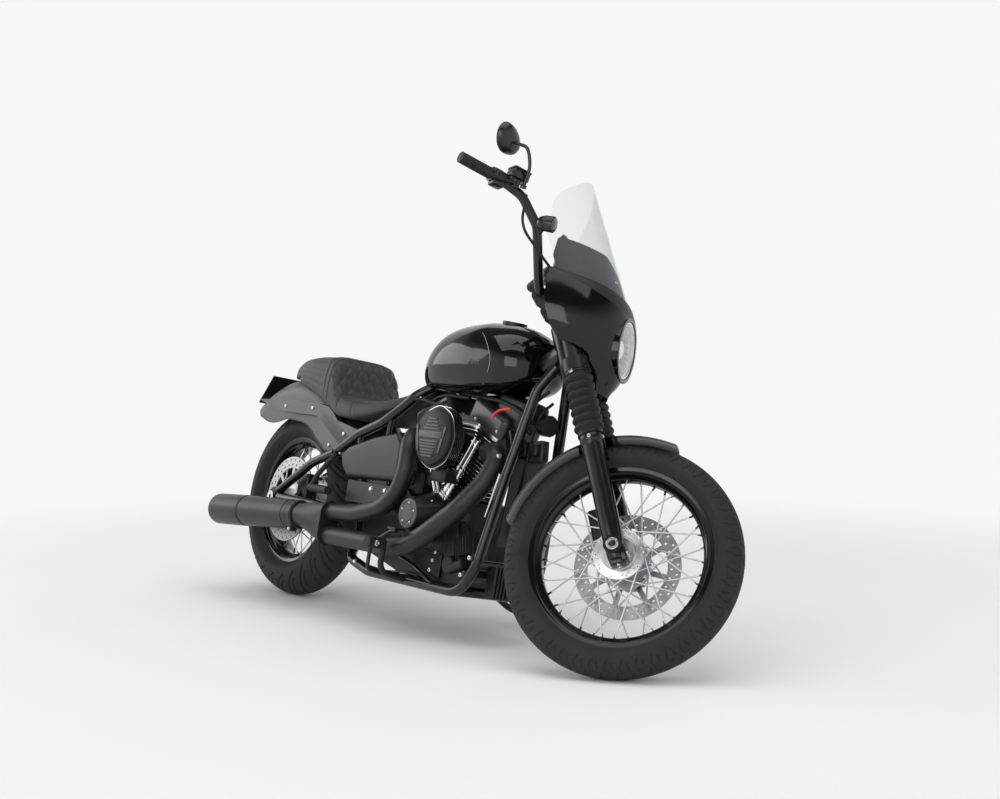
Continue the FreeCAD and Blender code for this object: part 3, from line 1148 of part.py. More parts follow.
def make_cases():
    """Crankcase with the gearbox behind it, the cylinder decks on top and the belt's pulley on the left."""
    body = new_body("engine_cases")
    outline = [("%s * wheelbase" % x, "%s * saddle_height" % z) for x, z in CASE_SHARES]
    case_face = polygon(sketch_on(body, "XZ_Plane", "case_outline"), outline)
    pad(body, "case_pad", case_face, "2 * case_half_width", middle=True)
    slope, rise = "sin(engine_vee * 1deg)", "cos(engine_vee * 1deg)"
    shoulder = "cylinder_base * %s + cylinder_fin * %s" % (slope, rise)
    drop = "engine_z + cylinder_base * %s - cylinder_fin * %s" % (rise, slope)
    peak = "engine_z + cylinder_base / %s" % rise
    deck = [("engine_x - (%s)" % shoulder, drop), ("engine_x", peak), ("engine_x + %s" % shoulder, drop),
            ("engine_x + %s" % shoulder, "engine_z"), ("engine_x - (%s)" % shoulder, "engine_z")]
    deck_face = polygon(sketch_on(body, "XZ_Plane", "deck_outline"), deck)
    pad(body, "deck_pad", deck_face, "2 * cylinder_fin", middle=True)
    room = "(pulley_radius + belt_thickness + 3 * hub_side_gap)"
    inner = "sprocket_offset - belt_width / 2 - hub_side_gap"
    bay = sketch_on(body, "XZ_Plane", "belt_bay", "-(%s)" % inner)
    polygon(bay, box_corners("pulley_x - 2 * %s" % room, "pulley_x + %s" % room, "pulley_z - %s" % room,
                             "pulley_z + %s" % room))
    cut = feature(body, "Pocket", "belt_bay_cut", Profile=bay)
    bind(cut, Length="case_half_width")
    wheel = sketch_on(body, "XZ_Plane", "pulley_outline", "-(%s)" % inner)
    circle(wheel, "pulley_radius", "pulley_x", "pulley_z")
    pad(body, "pulley_pad", wheel, "belt_width + hub_side_gap", backwards=True)
    keep(body, "engine_cases", "chassis")


def cylinder_place(side):
    """The place of a cylinder: +1 ahead, -1 behind, its own upright axis along the bore."""
    return Placement(engine_centre, Rotation(ACROSS, side * v.engine_vee))


def make_cylinder(name, side):
    """Finned barrel with its head on top."""
    body = new_body(name)
    core = sketch_on(body, "XY_Plane", name + "_core", "cylinder_base")
    polygon(core, box_corners("-cylinder_core", "cylinder_core", "-cylinder_core", "cylinder_core"))
    pad(body, name + "_core_pad", core, "cylinder_deck - cylinder_base")
    block = sketch_on(body, "XY_Plane", name + "_head", "cylinder_deck")
    polygon(block, box_corners("-cylinder_fin", "cylinder_fin", "-cylinder_fin", "cylinder_fin"))
    pad(body, name + "_head_pad", block, "head_height")
    fin = sketch_on(body, "XY_Plane", name + "_fin", "cylinder_base + 2 * fin_pitch")
    polygon(fin, box_corners("-cylinder_fin", "cylinder_fin", "-cylinder_fin", "cylinder_fin"))
    fin_pad = pad(body, name + "_fin_pad", fin, "fin_thickness")
    stack = feature(body, "LinearPattern", name + "_fins", Originals=[fin_pad], Direction=(fin, ["N_Axis"]))
    gaps = "floor((cylinder_deck - cylinder_base - 2 * fin_pitch - fin_thickness) / fin_pitch)"
    bind(stack, Length="fin_pitch * " + gaps, Occurrences=gaps + " + 1")
    keep(body, name, "chassis", cylinder_place(side))


def make_rocker_cover(name, side):
    """Rounded rocker cover."""
    body = new_body(name)
    block = sketch_on(body, "XY_Plane", name + "_outline", "cylinder_deck + head_height")
    inner, outer = "-rocker_reach - rocker_round", "rocker_reach"
    if side < 0:
        inner, outer = "-rocker_reach", "rocker_reach + rocker_round"
    polygon(block, box_corners(inner, outer, "-rocker_half_width", "rocker_half_width"))
    top = pad(body, name + "_pad", block, "rocker_height")
    doc.recompute()
    edges = ["Edge%d" % (index + 1) for index, edge in enumerate(top.Shape.Edges)
             if edge.CenterOfMass.z > number("cylinder_deck + head_height") + v.seat_gap]
    rounding = feature(body, "Fillet", name + "_rounding", Base=(top, edges))
    bind(rounding, Radius="rocker_round")
    keep(body, name, "chassis", cylinder_place(side))


PUSHROD_SHARES = [
    (0.5675, 0.9, 0.6265), (0.6282, 0.86, 0.8706),
]
LIFTER_SHARES = [
    (0.5693, 0.86, 0.5912),
]


def make_pushrods():
    """Chrome pushrod tubes and their lifter blocks, for both cylinders."""
    shapes = []
    for side in (1, -1):
        start, end = route(PUSHROD_SHARES, v.case_half_width, -1)
        block = spot(LIFTER_SHARES[0], v.case_half_width, -1)
        places = []
        for place in (start, end, block):
            places.append(Vector(v.engine_x + side * (place.x - v.engine_x), place.y, place.z))
        start, end, block = places
        lean = (end - start).normalize()
        corner = Vector(block.x - 2.5 * v.pushrod_radius, block.y - 1.3 * v.pushrod_radius, block.z)
        lifter = Part.makeBox(5 * v.pushrod_radius, 2.6 * v.pushrod_radius, 3 * v.pushrod_radius, corner)
        tube = rod(start - lean * v.pushrod_radius, end, v.pushrod_radius)
        sleeve = rod(start, start + (end - start) * 0.45, 1.25 * v.pushrod_radius)
        shapes.append(fused([lifter, tube, sleeve]))
    keep_shape(Part.makeCompound(shapes), "pushrod_tubes", "chassis")


CAM_COVER_SHARES = (0.5472, 1.0, 0.5176)
AIR_CLEANER_SHARES = (0.5656, 0.0, 0.8647)
PRIMARY_SHARES = (0.3755, 0.0, 0.4853)


def belt_corners(back, back_radius, front, front_radius):
    """The four points where two straight lines touch two circles in the side view."""
    gap = math.hypot(front.x - back.x, front.z - back.z)
    tilt = math.atan2(front.z - back.z, front.x - back.x)
    swing = math.acos((back_radius - front_radius) / gap)
    corners = []
    for centre, radius, sign in ((front, front_radius, 1), (front, front_radius, -1),
                                 (back, back_radius, -1), (back, back_radius, 1)):
        angle = tilt + sign * swing
        corners.append((centre.x + radius * math.cos(angle), centre.z + radius * math.sin(angle)))
    return corners


def make_covers():
    """Cam cover, air cleaner and primary cover."""
    body = new_body("cam_cover")
    profile = [("0", "0"), ("cam_cover_radius", "0"), ("cam_cover_radius", "cam_cover_depth * 0.2"),
               ("cam_cover_nose_radius", "cam_cover_depth"), ("0", "cam_cover_depth")]
    polygon(sketch_on(body, "XZ_Plane", "cam_cover_section"), profile)
    turned(body, "cam_cover_cone", body.Group[0])
    place = Placement(spot(CAM_COVER_SHARES, v.case_half_width, -1), Rotation(ALONG, 90))
    keep(body, "cam_cover", "chassis", place)
    body = new_body("air_cleaner")
    body.Label = "air_cleaner_body"
    radius, depth = "air_cleaner_radius", "air_cleaner_depth"
    profile = [("0", "0"), (radius, "0"), (radius, depth + " * 0.62"), (radius + " * 0.86", depth + " * 0.9"),
               (radius + " * 0.5", depth), ("0", depth)]
    polygon(sketch_on(body, "XZ_Plane", "air_cleaner_section"), profile)
    turned(body, "air_cleaner_round", body.Group[0])
    centre = spot(AIR_CLEANER_SHARES, v.case_half_width)
    centre.y = v.air_cleaner_depth - v.air_cleaner_face
    doc.recompute()
    cleaner = body.Shape.transformed(Placement(centre, Rotation(ALONG, 90)).toMatrix(), True)
    throat_start = Vector(v.engine_x, -0.3 * v.cylinder_fin, centre.z)
    throat = rod(throat_start, Vector(v.engine_x, centre.y, centre.z), 0.31 * v.air_cleaner_radius)
    port = v.engine_z + (v.cylinder_deck + v.head_height / 2) * math.cos(math.radians(v.engine_vee))
    runner = rod(Vector(v.engine_x - v.cylinder_fin, throat_start.y, port),
                 Vector(v.engine_x + v.cylinder_fin, throat_start.y, port), 0.2 * v.air_cleaner_radius)
    riser = rod(throat_start, Vector(v.engine_x, throat_start.y, port), 0.2 * v.air_cleaner_radius)
    manifold = fused([throat, runner, riser]).cut(upright("cylinder_front")).cut(upright("cylinder_rear"))
    keep_shape(fused([cleaner, biggest(manifold)]), "air_cleaner", "chassis")
    front = Part.makeCylinder(v.primary_front_radius, v.primary_depth,
                              Vector(v.engine_x, v.case_half_width, v.engine_z), ACROSS)
    back = spot(PRIMARY_SHARES, v.case_half_width)
    back.y = v.case_half_width
    rear = Part.makeCylinder(v.primary_rear_radius, v.primary_depth, back, ACROSS)
    corners = belt_corners(back, v.primary_rear_radius, engine_centre, v.primary_front_radius)
    face = v.case_half_width + v.primary_depth
    cover = fused([front, rear, slab(corners, v.case_half_width, face)])
    edges = [edge for edge in cover.Edges if abs(edge.CenterOfMass.y - face) < v.seat_gap]
    room = v.pulley_radius + v.belt_thickness + 3 * v.hub_side_gap
    bay = Part.makeBox(v.wheelbase, v.sprocket_offset + v.belt_width / 2 + v.hub_side_gap / 2, 2 * room,
                       Vector(v.pulley_x + room - v.wheelbase, 0, v.pulley_z - room))
    keep_shape(cover.makeFillet(v.primary_round, edges).cut(bay), "primary_cover", "chassis")


# Exhaust.

FRONT_HEADER_SHARES = [
    (0.6515, 0.3758, 0.8324), (0.7043, 0.4848, 0.8294), (0.6969, 0.6667, 0.7), (0.665, 0.9091, 0.5706),
    (0.592, 1.0303, 0.4353), (0.546, 1.0424, 0.3765), (0.4908, 1.0424, 0.3574), (0.2687, 1.0424, 0.35),
]
REAR_HEADER_SHARES = [
    (0.4429, 0.3636, 0.8603), (0.4571, 0.6788, 0.8676), (0.4883, 0.9576, 0.8235), (0.4982, 1.0061, 0.7059),
    (0.4847, 1.0121, 0.5956), (0.4393, 1.0182, 0.5176), (0.3681, 1.0424, 0.4735), (0.2687, 1.0545, 0.4559),
]


COLLECTOR_SHARES = (0.2761, 1.0909, 0.4029)
MUFFLER_SHARES = (-0.1577, 1.1515, 0.364)


def collector_block(wall):
    """The collector filled in: an upright oval at its mouth, round where it meets the muffler."""
    mouth = spot(COLLECTOR_SHARES, v.pipe_spread, -1) - ALONG * 2 * wall
    upper, lower = (spot(shares[-1], v.pipe_spread) for shares in (REAR_HEADER_SHARES, FRONT_HEADER_SHARES))
    rise = (upper.z - lower.z) / 2
    half = v.front_pipe_radius + 2 * v.pipe_wall - wall
    round_radius = v.outlet_share * v.muffler_front_radius - wall
    tilt = math.radians(v.muffler_tilt)
    ahead = Vector(math.cos(tilt), 0, math.sin(tilt))
    neck = muffler_tip() + ahead * v.muffler_length
    back = neck + ahead * v.collector_band
    turn = Rotation(ACROSS, -v.muffler_tilt)
    corner = math.sqrt(0.5)
    oval, ring = [], []
    for sign in (1, -1):
        centre = mouth + Vector(0, 0, sign * rise)
        oval.append([centre + Vector(0, sign * half, 0), centre + Vector(0, 0, sign * half),
                     centre - Vector(0, sign * half, 0)])
        ring.append([back + turn.multVec(Vector(0, sign * across, sign * up) * round_radius)
                     for across, up in ((corner, corner), (0, 1), (-corner, corner))])
    mouth_edges = [Part.Arc(*oval[0]), Part.LineSegment(oval[0][2], oval[1][0]), Part.Arc(*oval[1]),
                   Part.LineSegment(oval[1][2], oval[0][0])]
    flank = Vector(0, round_radius, 0)
    ring_edges = [Part.Arc(*ring[0]), Part.Arc(ring[0][2], back - flank, ring[1][0]), Part.Arc(*ring[1]),
                  Part.Arc(ring[1][2], back + flank, ring[0][0])]
    wires = [Part.Wire([edge.toShape() for edge in edges]) for edges in (mouth_edges, ring_edges)]
    return Part.makeLoft(wires, True, True).fuse(Part.Face(wires[1]).extrude(neck - back))


def make_exhaust():
    """Two headers that end in one collector, hollow throughout."""
    outer, inner = [], []
    for shares, radius in ((FRONT_HEADER_SHARES, v.front_pipe_radius),
                           (REAR_HEADER_SHARES, v.rear_pipe_radius)):
        path = route(shares, v.pipe_spread, -1)
        outer.append(bar(path, radius, v.pipe_bend))
        inner.append(bar(path, radius - v.pipe_wall, v.pipe_bend))
    solid_pipes = fused(outer + [collector_block(0.0)])
    hollow = fused(inner + [collector_block(v.pipe_wall)])
    pipes = solid_pipes.cut(hollow).cut(upright("cylinder_front")).cut(upright("cylinder_rear"))
    keep_shape(biggest(pipes), "exhaust_pipes", "chassis")


def muffler_tip():
    """Centre of the muffler's rear end."""
    return Vector(MUFFLER_SHARES[0] * v.wheelbase, -v.muffler_spread, MUFFLER_SHARES[2] * v.saddle_height)


def make_muffler():
    """Long round muffler, open at the rear, on its own axis."""
    body = new_body("muffler")
    radius, front, length = "muffler_radius", "muffler_front_radius", "muffler_length"
    profile = [("muffler_outlet", "0"), (radius + " - pipe_wall", "0"), (radius, "pipe_wall"),
               (radius, "muffler_cap"), (radius + " - pipe_wall", "muffler_cap + pipe_wall"), (front, length),
               ("outlet_share * %s - pipe_wall" % front, length),
               ("outlet_share * %s - pipe_wall" % front, length + " - pipe_wall"),
               (front + " - 2 * pipe_wall", length + " - pipe_wall"),
               (radius + " - 2 * pipe_wall", "muffler_cap"), (radius + " - 2 * pipe_wall", "2 * pipe_wall"),
               ("muffler_outlet + pipe_wall", "2 * pipe_wall"),
               ("muffler_outlet + pipe_wall", "muffler_cap / 2"),
               ("muffler_outlet", "muffler_cap / 2")]
    polygon(sketch_on(body, "XZ_Plane", "muffler_section"), profile)
    turned(body, "muffler_round", body.Group[0])
    keep(body, "muffler", "chassis", Placement(muffler_tip(), Rotation(ACROSS, 90 - v.muffler_tilt)))


# Tank, seat and rear end.

CAP_SHARES = (0.6196, 0.0, 1.4132)
CAP_AXIS_SHARES = (0.06, 0.0, 1.0)
TANK_SHARES = [
    (0.0, 0.30, 0.08, 0.26), (0.07, 0.60, 0.02, 0.54), (0.21, 0.88, 0.0, 0.84), (0.40, 0.99, 0.0, 0.965),
    (0.58, 1.0, 0.015, 1.0), (0.77, 0.94, 0.06, 0.955), (0.90, 0.80, 0.14, 0.84), (0.97, 0.56, 0.23, 0.69),
    (1.0, 0.30, 0.33, 0.56),
]
TANK_RING_SHARES = [
    (0.0, 1.0), (0.42, 0.955), (0.78, 0.80), (0.98, 0.52), (0.96, 0.25), (0.80, 0.06), (0.40, 0.0),
    (0.0, 0.0),
]


def tank_ring(share):
    """One cross-section of the tank: round shoulders, nearly flat underneath."""
    ahead, width, low, high = share
    x = v.tank_tail + ahead * v.tank_length
    base = v.tank_base + low * v.tank_height
    rise = (high - low) * v.tank_height
    half = width * v.tank_half_width
    side = [Vector(x, across * half, base + up * rise) for across, up in TANK_RING_SHARES]
    other = [Vector(x, -place.y, place.z) for place in reversed(side[1:-1])]
    return ring_wire(side + other)


def make_tank():
    """Teardrop tank over the backbone, with its filler cap."""
    body = Part.makeLoft([tank_ring(share) for share in TANK_SHARES], True, False)
    tunnel = bar(route(BACKBONE_SHARES, v.frame_half_width), v.backbone_radius + v.seat_gap, v.frame_bend)
    slot = Part.makeBox(v.tank_length, 2 * (v.backbone_radius + v.seat_gap), v.tank_height / 3,
                        Vector(v.tank_tail - v.tank_length / 10, -v.backbone_radius - v.seat_gap,
                               v.tank_base - v.tank_height / 10))
    keep_shape(body.cut(tunnel).cut(slot).cut(upright("frame")), "fuel_tank", "chassis")
    place = spot(CAP_SHARES, v.tank_half_width, -1)
    cap = Part.makeCylinder(v.cap_radius, 4 * v.cap_height, place - Vector(0, 0, 3 * v.cap_height),
                            Vector(*CAP_AXIS_SHARES))
    keep_shape(cap.cut(body), "fuel_cap", "chassis")


SEAT_LEVELS_SHARES = [
    (0.0, 0.46, 1.0912, 1.1294), (0.05, 0.68, 1.0735, 1.1618), (0.135, 0.84, 1.0515, 1.1941),
    (0.235, 0.94, 1.0294, 1.2088), (0.34, 0.98, 0.9882, 1.2132), (0.4, 1.0, 0.9559, 1.2088),
    (0.435, 1.0, 0.9382, 1.1559), (0.475, 1.0, 0.9235, 1.0471), (0.52, 1.0, 0.9118, 1.0176),
    (0.62, 0.97, 0.9118, 1.0059), (0.76, 0.86, 0.9412, 1.0147), (0.88, 0.66, 0.9882, 1.05),
    (0.97, 0.46, 1.0353, 1.0853), (1.0, 0.36, 1.0529, 1.0882),
]
SEAT_RING_SHARES = [
    (0.0, 1.0), (0.55, 0.99), (0.86, 0.90), (0.97, 0.66), (1.0, 0.35), (0.97, 0.08), (0.80, 0.0), (0.0, 0.0),
]


def seat_ring(share):
    """One cross-section of the seat."""
    ahead, width, low, high = share
    x = v.saddle_tail + ahead * v.saddle_length
    base, top = low * v.saddle_height, high * v.saddle_height
    half = width * v.saddle_half_width
    side = [Vector(x, across * half, base + up * (top - base)) for across, up in SEAT_RING_SHARES]
    other = [Vector(x, -place.y, place.z) for place in reversed(side[1:-1])]
    return ring_wire(side + other)


FENDER_SKIRT_SHARE = 0.65
FENDER_START = 24.0
FENDER_SWEEP = 112.0


def fender_channel(radius, half, corner):
    """The fender's cross-section filled in, ahead of the wheel's centre."""
    skirt = v.rear_fender_radius * FENDER_SKIRT_SHARE
    lines = [Vector(skirt, -half, 0), Vector(radius - corner, -half, 0), Vector(radius, corner - half, 0),
             Vector(radius, half - corner, 0), Vector(radius - corner, half, 0), Vector(skirt, half, 0)]
    bend = corner * (1 - math.sqrt(0.5))
    edges = [Part.LineSegment(lines[0], lines[1]).toShape(),
             Part.Arc(lines[1], Vector(radius - bend, bend - half, 0), lines[2]).toShape(),
             Part.LineSegment(lines[2], lines[3]).toShape(),
             Part.Arc(lines[3], Vector(radius - bend, half - bend, 0), lines[4]).toShape(),
             Part.LineSegment(lines[4], lines[5]).toShape(),
             Part.LineSegment(lines[5], lines[0]).toShape()]
    return Part.Face(Part.Wire(edges))


def fender_arc(face):
    """Turn a section about the rear wheel, over the fender's arc."""
    face.rotate(ORIGIN, ACROSS, -FENDER_START)
    shell = face.revolve(ORIGIN, ACROSS, -FENDER_SWEEP)
    shell.translate(Vector(0, 0, v.rear_fender_centre))
    return shell


def fender_block(grow):
    """Everything inside the fender's outer face, grown by a gap."""
    radius, half = v.rear_fender_radius + grow, v.rear_fender_half_width + grow
    return fender_arc(fender_channel(radius, half, v.rear_fender_round))


def fender_shell():
    """Rear fender: a round-shouldered channel turned about the wheel."""
    wall = v.fender_wall
    radius, half, corner = v.rear_fender_radius, v.rear_fender_half_width, v.rear_fender_round
    outer = fender_channel(radius, half, corner)
    inner = fender_channel(radius - wall, half - wall, corner - wall)
    return fender_arc(outer.cut(inner))


FENDER_TRIM_SHARES = [
    (-0.2577, 0.9632), (-0.1706, 0.9588), (-0.1503, 0.9088), (-0.1258, 0.8706), (-0.092, 0.85),
    (-0.0583, 0.8574), (-0.0362, 0.8765), (0.0123, 0.8676), (0.0589, 0.8706), (0.1123, 0.7794),
    (0.1411, 0.7515), (0.2577, 0.7515), (0.2577, 0.4412), (-0.2577, 0.4412),
]
STRUT_SHARES = [
    (-0.1337, 0.9588), (-0.0245, 0.9706), (0.1129, 0.9662), (0.1509, 0.9559), (0.1742, 0.9294),
    (0.1951, 0.8912), (0.2331, 0.8765), (0.273, 0.8588), (0.2503, 0.8176), (0.2025, 0.7588),
    (0.1816, 0.7397), (0.1607, 0.7441), (0.146, 0.8015), (0.1362, 0.8706), (0.1129, 0.9044),
    (-0.0307, 0.9088), (-0.0736, 0.9235),
]
RIGHT_COVER_SHARES = [
    (0.2442, 0.7353), (0.2699, 0.7794), (0.3509, 0.8353), (0.4294, 0.8706), (0.4528, 0.8235),
    (0.4552, 0.6618), (0.4387, 0.6441), (0.2761, 0.6294), (0.2528, 0.6765),
]
LEFT_COVER_SHARES = [
    (0.2442, 0.7353), (0.2699, 0.7794), (0.3509, 0.8353), (0.4294, 0.8706), (0.4528, 0.8235),
    (0.4552, 0.6882), (0.2638, 0.6794),
]
COVER_LUG_SHARES = [
    (0.2945, 0.88, 0.7794), (0.2945, 0.92, 0.8456), (0.3804, 0.84, 0.8235), (0.3804, 0.8133, 0.9485),
]
BOX_SHARES = [
    (0.2773, 0.5176), (0.4233, 0.5176), (0.4294, 0.6221), (0.2773, 0.6221),
]
PLATE_SHARES = (-0.1558, 0.0, 1.0176)
PLATE_TILT = 37.0


def make_seat():
    """Stepped two-up seat, moulded over the rear fender, the rails and the tank's tail."""
    body = Part.makeLoft([seat_ring(share) for share in SEAT_LEVELS_SHARES], True, False)
    body = body.cut(fender_block(v.seat_gap)).cut(upright("frame"))
    for name in ("fuel_tank", "rocker_cover_rear", "cylinder_rear", "air_cleaner"):
        body = body.cut(upright(name))
    keep_shape(biggest(body), "seat", "chassis")


def make_rear_end():
    """Rear fender, its struts and the plate carrier."""
    trim = slab(side_places(FENDER_TRIM_SHARES), -2 * v.rear_fender_half_width, 2 * v.rear_fender_half_width)
    stays = []
    for side in (1, -1):
        rail = route(SEAT_RAIL_SHARES, v.frame_half_width, side)
        stays.append(bar(rail, v.frame_tube_radius + v.hub_side_gap, v.frame_bend))
        stay = route(STAY_SHARES, v.swingarm_half_width, side)
        stays.append(bar(stay, v.swingarm_radius + v.hub_side_gap, v.frame_bend))
    shell = fender_shell().cut(trim).cut(Part.makeCompound(stays))
    keep_shape(biggest(shell), "rear_fender", "chassis")
    struts = []
    for side in (1, -1):
        plate = slab(side_places(STRUT_SHARES), v.rear_fender_half_width, v.strut_spread + v.strut_thickness)
        if side < 0:
            plate = plate.mirror(ORIGIN, ACROSS)
        struts.append(biggest(plate.cut(upright("frame")).cut(upright("seat")).cut(upright("swingarm"))))
    keep_shape(Part.makeCompound(struts), "fender_struts", "chassis")
    centre = spot(PLATE_SHARES, v.rear_fender_half_width)
    plate = Part.makeBox(v.plate_thickness, v.plate_width, v.plate_height)
    plate.translate(Vector(-v.plate_thickness / 2, -v.plate_width / 2, -v.plate_height / 2))
    stay = Part.makeBox(v.plate_height, v.plate_width / 3, 2 * v.plate_thickness)
    stay.translate(Vector(0, -v.plate_width / 6, -v.plate_thickness))
    holder = fused([plate, stay])
    holder.rotate(ORIGIN, ACROSS, PLATE_TILT)
    holder.translate(centre)
    keep_shape(biggest(holder.cut(fender_block(0.0))), "plate_holder", "chassis")


def make_side_covers():
    """Side covers with rounded faces, and the box below the right one."""
    covers = []
    for side, shares in ((-1, RIGHT_COVER_SHARES), (1, LEFT_COVER_SHARES)):
        cover = slab(side_places(shares), v.side_cover_spread - v.side_cover_depth, v.side_cover_spread)
        edges = [edge for edge in cover.Edges if abs(edge.CenterOfMass.y - v.side_cover_spread) < v.seat_gap]
        cover = cover.makeFillet(0.45 * v.side_cover_depth, edges)
        if side < 0:
            cover = cover.mirror(ORIGIN, ACROSS)
        ends = route(COVER_LUG_SHARES, v.side_cover_spread, side)
        lugs = [rod(start, end, v.frame_tube_radius / 2) for start, end in (ends[:2], ends[2:])]
        cover = fused([cover] + lugs)
        for name in ("frame", "fender_struts", "seat", "exhaust_pipes"):
            cover = cover.cut(upright(name))
        covers.append(biggest(cover))
    keep_shape(Part.makeCompound(covers), "side_covers", "chassis")
    box = slab(side_places(BOX_SHARES), -v.box_outer, -v.box_inner)
    keep_shape(biggest(box.cut(upright("frame")).cut(upright("exhaust_pipes"))), "electrics_box", "chassis")


PANEL_SHARES = [
    (0.7276, 0.4412), (0.7313, 0.4412), (0.7436, 0.8235), (0.7399, 0.8235),
]
COOLER_SHARES = (0.7166, 0.0, 0.2206)
HORN_SHARES = (0.7534, 0.0, 0.9794)


def make_front_fittings():
    """Panel, oil cooler and horn between the downtubes."""
    half = v.cooler_width / 2
    panel = slab(side_places(PANEL_SHARES), -half, half)
    keep_shape(panel.cut(upright("frame")), "front_panel", "chassis")
    place = spot(COOLER_SHARES, v.case_half_width)
    cooler = Part.makeBox(v.cooler_depth, v.cooler_width, v.cooler_height, place - Vector(0, half, 0))
    slots = []
    pitch = v.cooler_width / v.cooler_fin_count
    for index in range(int(v.cooler_fin_count) - 1):
        corner = place + Vector(v.cooler_depth / 2, pitch * (index + 0.75) - half, -v.cooler_height / 2)
        slots.append(Part.makeBox(v.cooler_depth / 2, pitch / 2, 2 * v.cooler_height, corner))
    keep_shape(cooler.cut(Part.makeCompound(slots)).cut(upright("frame")), "oil_cooler", "chassis")
    horn = spot(HORN_SHARES, v.case_half_width)
    back, low, high = horn.x - v.cooler_depth / 2, horn.z - v.belt_thickness, horn.z + v.belt_thickness
    tie = slab([(back, low), (horn.x, low), (horn.x, high), (back, high)],
               -v.frame_half_width, v.frame_half_width)
    trumpet = fused([rod(horn, horn + ALONG * v.cooler_depth * 0.7, 1.3 * v.signal_radius), tie])
    keep_shape(biggest(trumpet.cut(upright("frame"))), "horn", "chassis")


PEG_SHARES = [
    (0.5141, 1.0, 0.2206), (0.5141, 1.8361, 0.2441), (0.5141, 1.8361, 0.3676),
]
PEDAL_SHARES = [
    (0.4663, 1.0, 0.2206), (0.4663, 1.7787, 0.2412), (0.4675, 1.7951, 0.3353), (0.4908, 1.7951, 0.3853),
    (0.5288, 1.7951, 0.4294), (0.5429, 1.7951, 0.4324),
]
LEVER_PIVOT_SHARES = [
    (0.4663, 0.8197, 0.3529), (0.4663, 1.7951, 0.3529),
]
PASSENGER_PEG_SHARES = [
    (0.2184, 1.1311, 0.7324), (0.1914, 1.377, 0.6176), (0.1816, 1.4426, 0.5529), (0.2638, 1.5738, 0.5529),
]


def make_foot_controls():
    """Rider's and folded passenger pegs, brake pedal and shift lever."""
    pegs, controls = [], []
    carriers = [upright(name) for name in ("frame", "swingarm", "primary_cover", "engine_cases")]
    for side in (1, -1):
        stem_path = route(PEG_SHARES, v.frame_half_width, side)
        foot = stem_path[-1]
        if side > 0:
            stem = rod(Vector(foot.x, v.case_half_width, foot.z), foot, 0.55 * v.peg_radius)
        else:
            stem = bar(stem_path, 0.55 * v.peg_radius, v.peg_radius * 2)
        tread = rod(foot, foot + Vector(0, side * v.peg_length, 0), v.peg_radius)
        hook = route(PASSENGER_PEG_SHARES, v.frame_half_width, side)
        arm = bar(hook[:3], 0.5 * v.peg_radius, v.peg_radius * 2)
        folded = rod(hook[2], hook[3], 0.8 * v.peg_radius)
        for piece in (fused([stem, tread]), fused([arm, folded])):
            for carrier in carriers:
                piece = piece.cut(carrier)
            pegs.append(biggest(piece))
        path = route(PEDAL_SHARES, v.frame_half_width, side)
        if side > 0:
            start, knuckle = route(LEVER_PIVOT_SHARES, v.frame_half_width)
            arm = bar([knuckle] + path[3:], v.pedal_radius, v.peg_radius)
            lever = fused([rod(start, knuckle, v.pedal_radius), arm])
        else:
            lever = bar(path, v.pedal_radius, v.peg_radius)
        pad_block = Part.makeBox(2.4 * v.peg_radius, 2.4 * v.peg_radius, v.pedal_radius)
        pad_block.translate(path[-1] - Vector(1.2 * v.peg_radius, 1.2 * v.peg_radius, -0.6 * v.pedal_radius))
        lever = fused([lever, pad_block])
        for carrier in carriers:
            lever = lever.cut(carrier)
        controls.append(biggest(lever))
    keep_shape(Part.makeCompound(pegs), "foot_pegs", "chassis")
    keep_shape(Part.makeCompound(controls), "foot_controls", "chassis")


LINE_SPREAD_SHARE = 0.812
UPPER_LINE_SHARES = [
    (0.6748, 1.0, 1.8), (0.6822, 0.9552, 1.6618), (0.7239, 0.6343, 1.5882), (0.7607, 0.2612, 1.5294),
    (0.7865, 0.1119, 1.4397), (0.8215, 0.1119, 1.2941), (0.8331, 0.1119, 1.2059),
]


def make_brake_line():
    """Brake line: from the lever to the front of the lower clamp, and behind the left leg to the caliper."""
    upper = bar(route(UPPER_LINE_SHARES, mirror_spread() * LINE_SPREAD_SHARE, -1), v.line_radius, v.bar_bend)
    clamp = v.lower_clamp_base + v.lower_clamp_thickness / 2
    behind = -v.clamp_boss_radius - 4 * v.line_radius
    caliper_top = front_caliper_place() + steering_up * (v.caliper_length / 2 - v.line_radius)
    start = fork_spot(clamp, 1, 0.9 * behind / 1.3)
    path = [start, fork_spot(clamp, 1, behind), fork_spot(0.6 * clamp, 1, behind),
            caliper_top + steering_up * 0.4 * v.caliper_length, caliper_top]
    lower = bar(path, v.line_radius, v.bar_bend)
    for name in ("lower_clamp", "front_caliper", "hand_controls", "handlebar", "mirrors", "upper_clamp",
                 "fairing"):
        carrier = nodes[name].Shape.transformed(POSES["front"].inverse().toMatrix(), True)
        upper, lower = upper.cut(carrier), lower.cut(carrier)
    keep_shape(Part.makeCompound([biggest(upper), biggest(lower)]), "brake_line", "front")


# Belt and rear brake.

def make_belt():
    """Toothed belt's closed loop from the sprocket to the front pulley."""
    back = rear_axle + Vector(0, v.sprocket_offset - v.belt_width / 2, 0)
    front = Vector(v.pulley_x, back.y, v.pulley_z)
    solids = []
    for grow in (v.belt_thickness, 0.0):
        far, near = v.sprocket_radius + v.seat_gap + grow, v.pulley_radius + v.seat_gap + grow
        corners = belt_corners(back, far, front, near)
        solids.append(fused([slab(corners, back.y, back.y + v.belt_width),
                             Part.makeCylinder(far, v.belt_width, back, ACROSS),
                             Part.makeCylinder(near, v.belt_width, front, ACROSS)]))
    keep_shape(solids[0].cut(solids[1]), "drive_belt", "chassis")


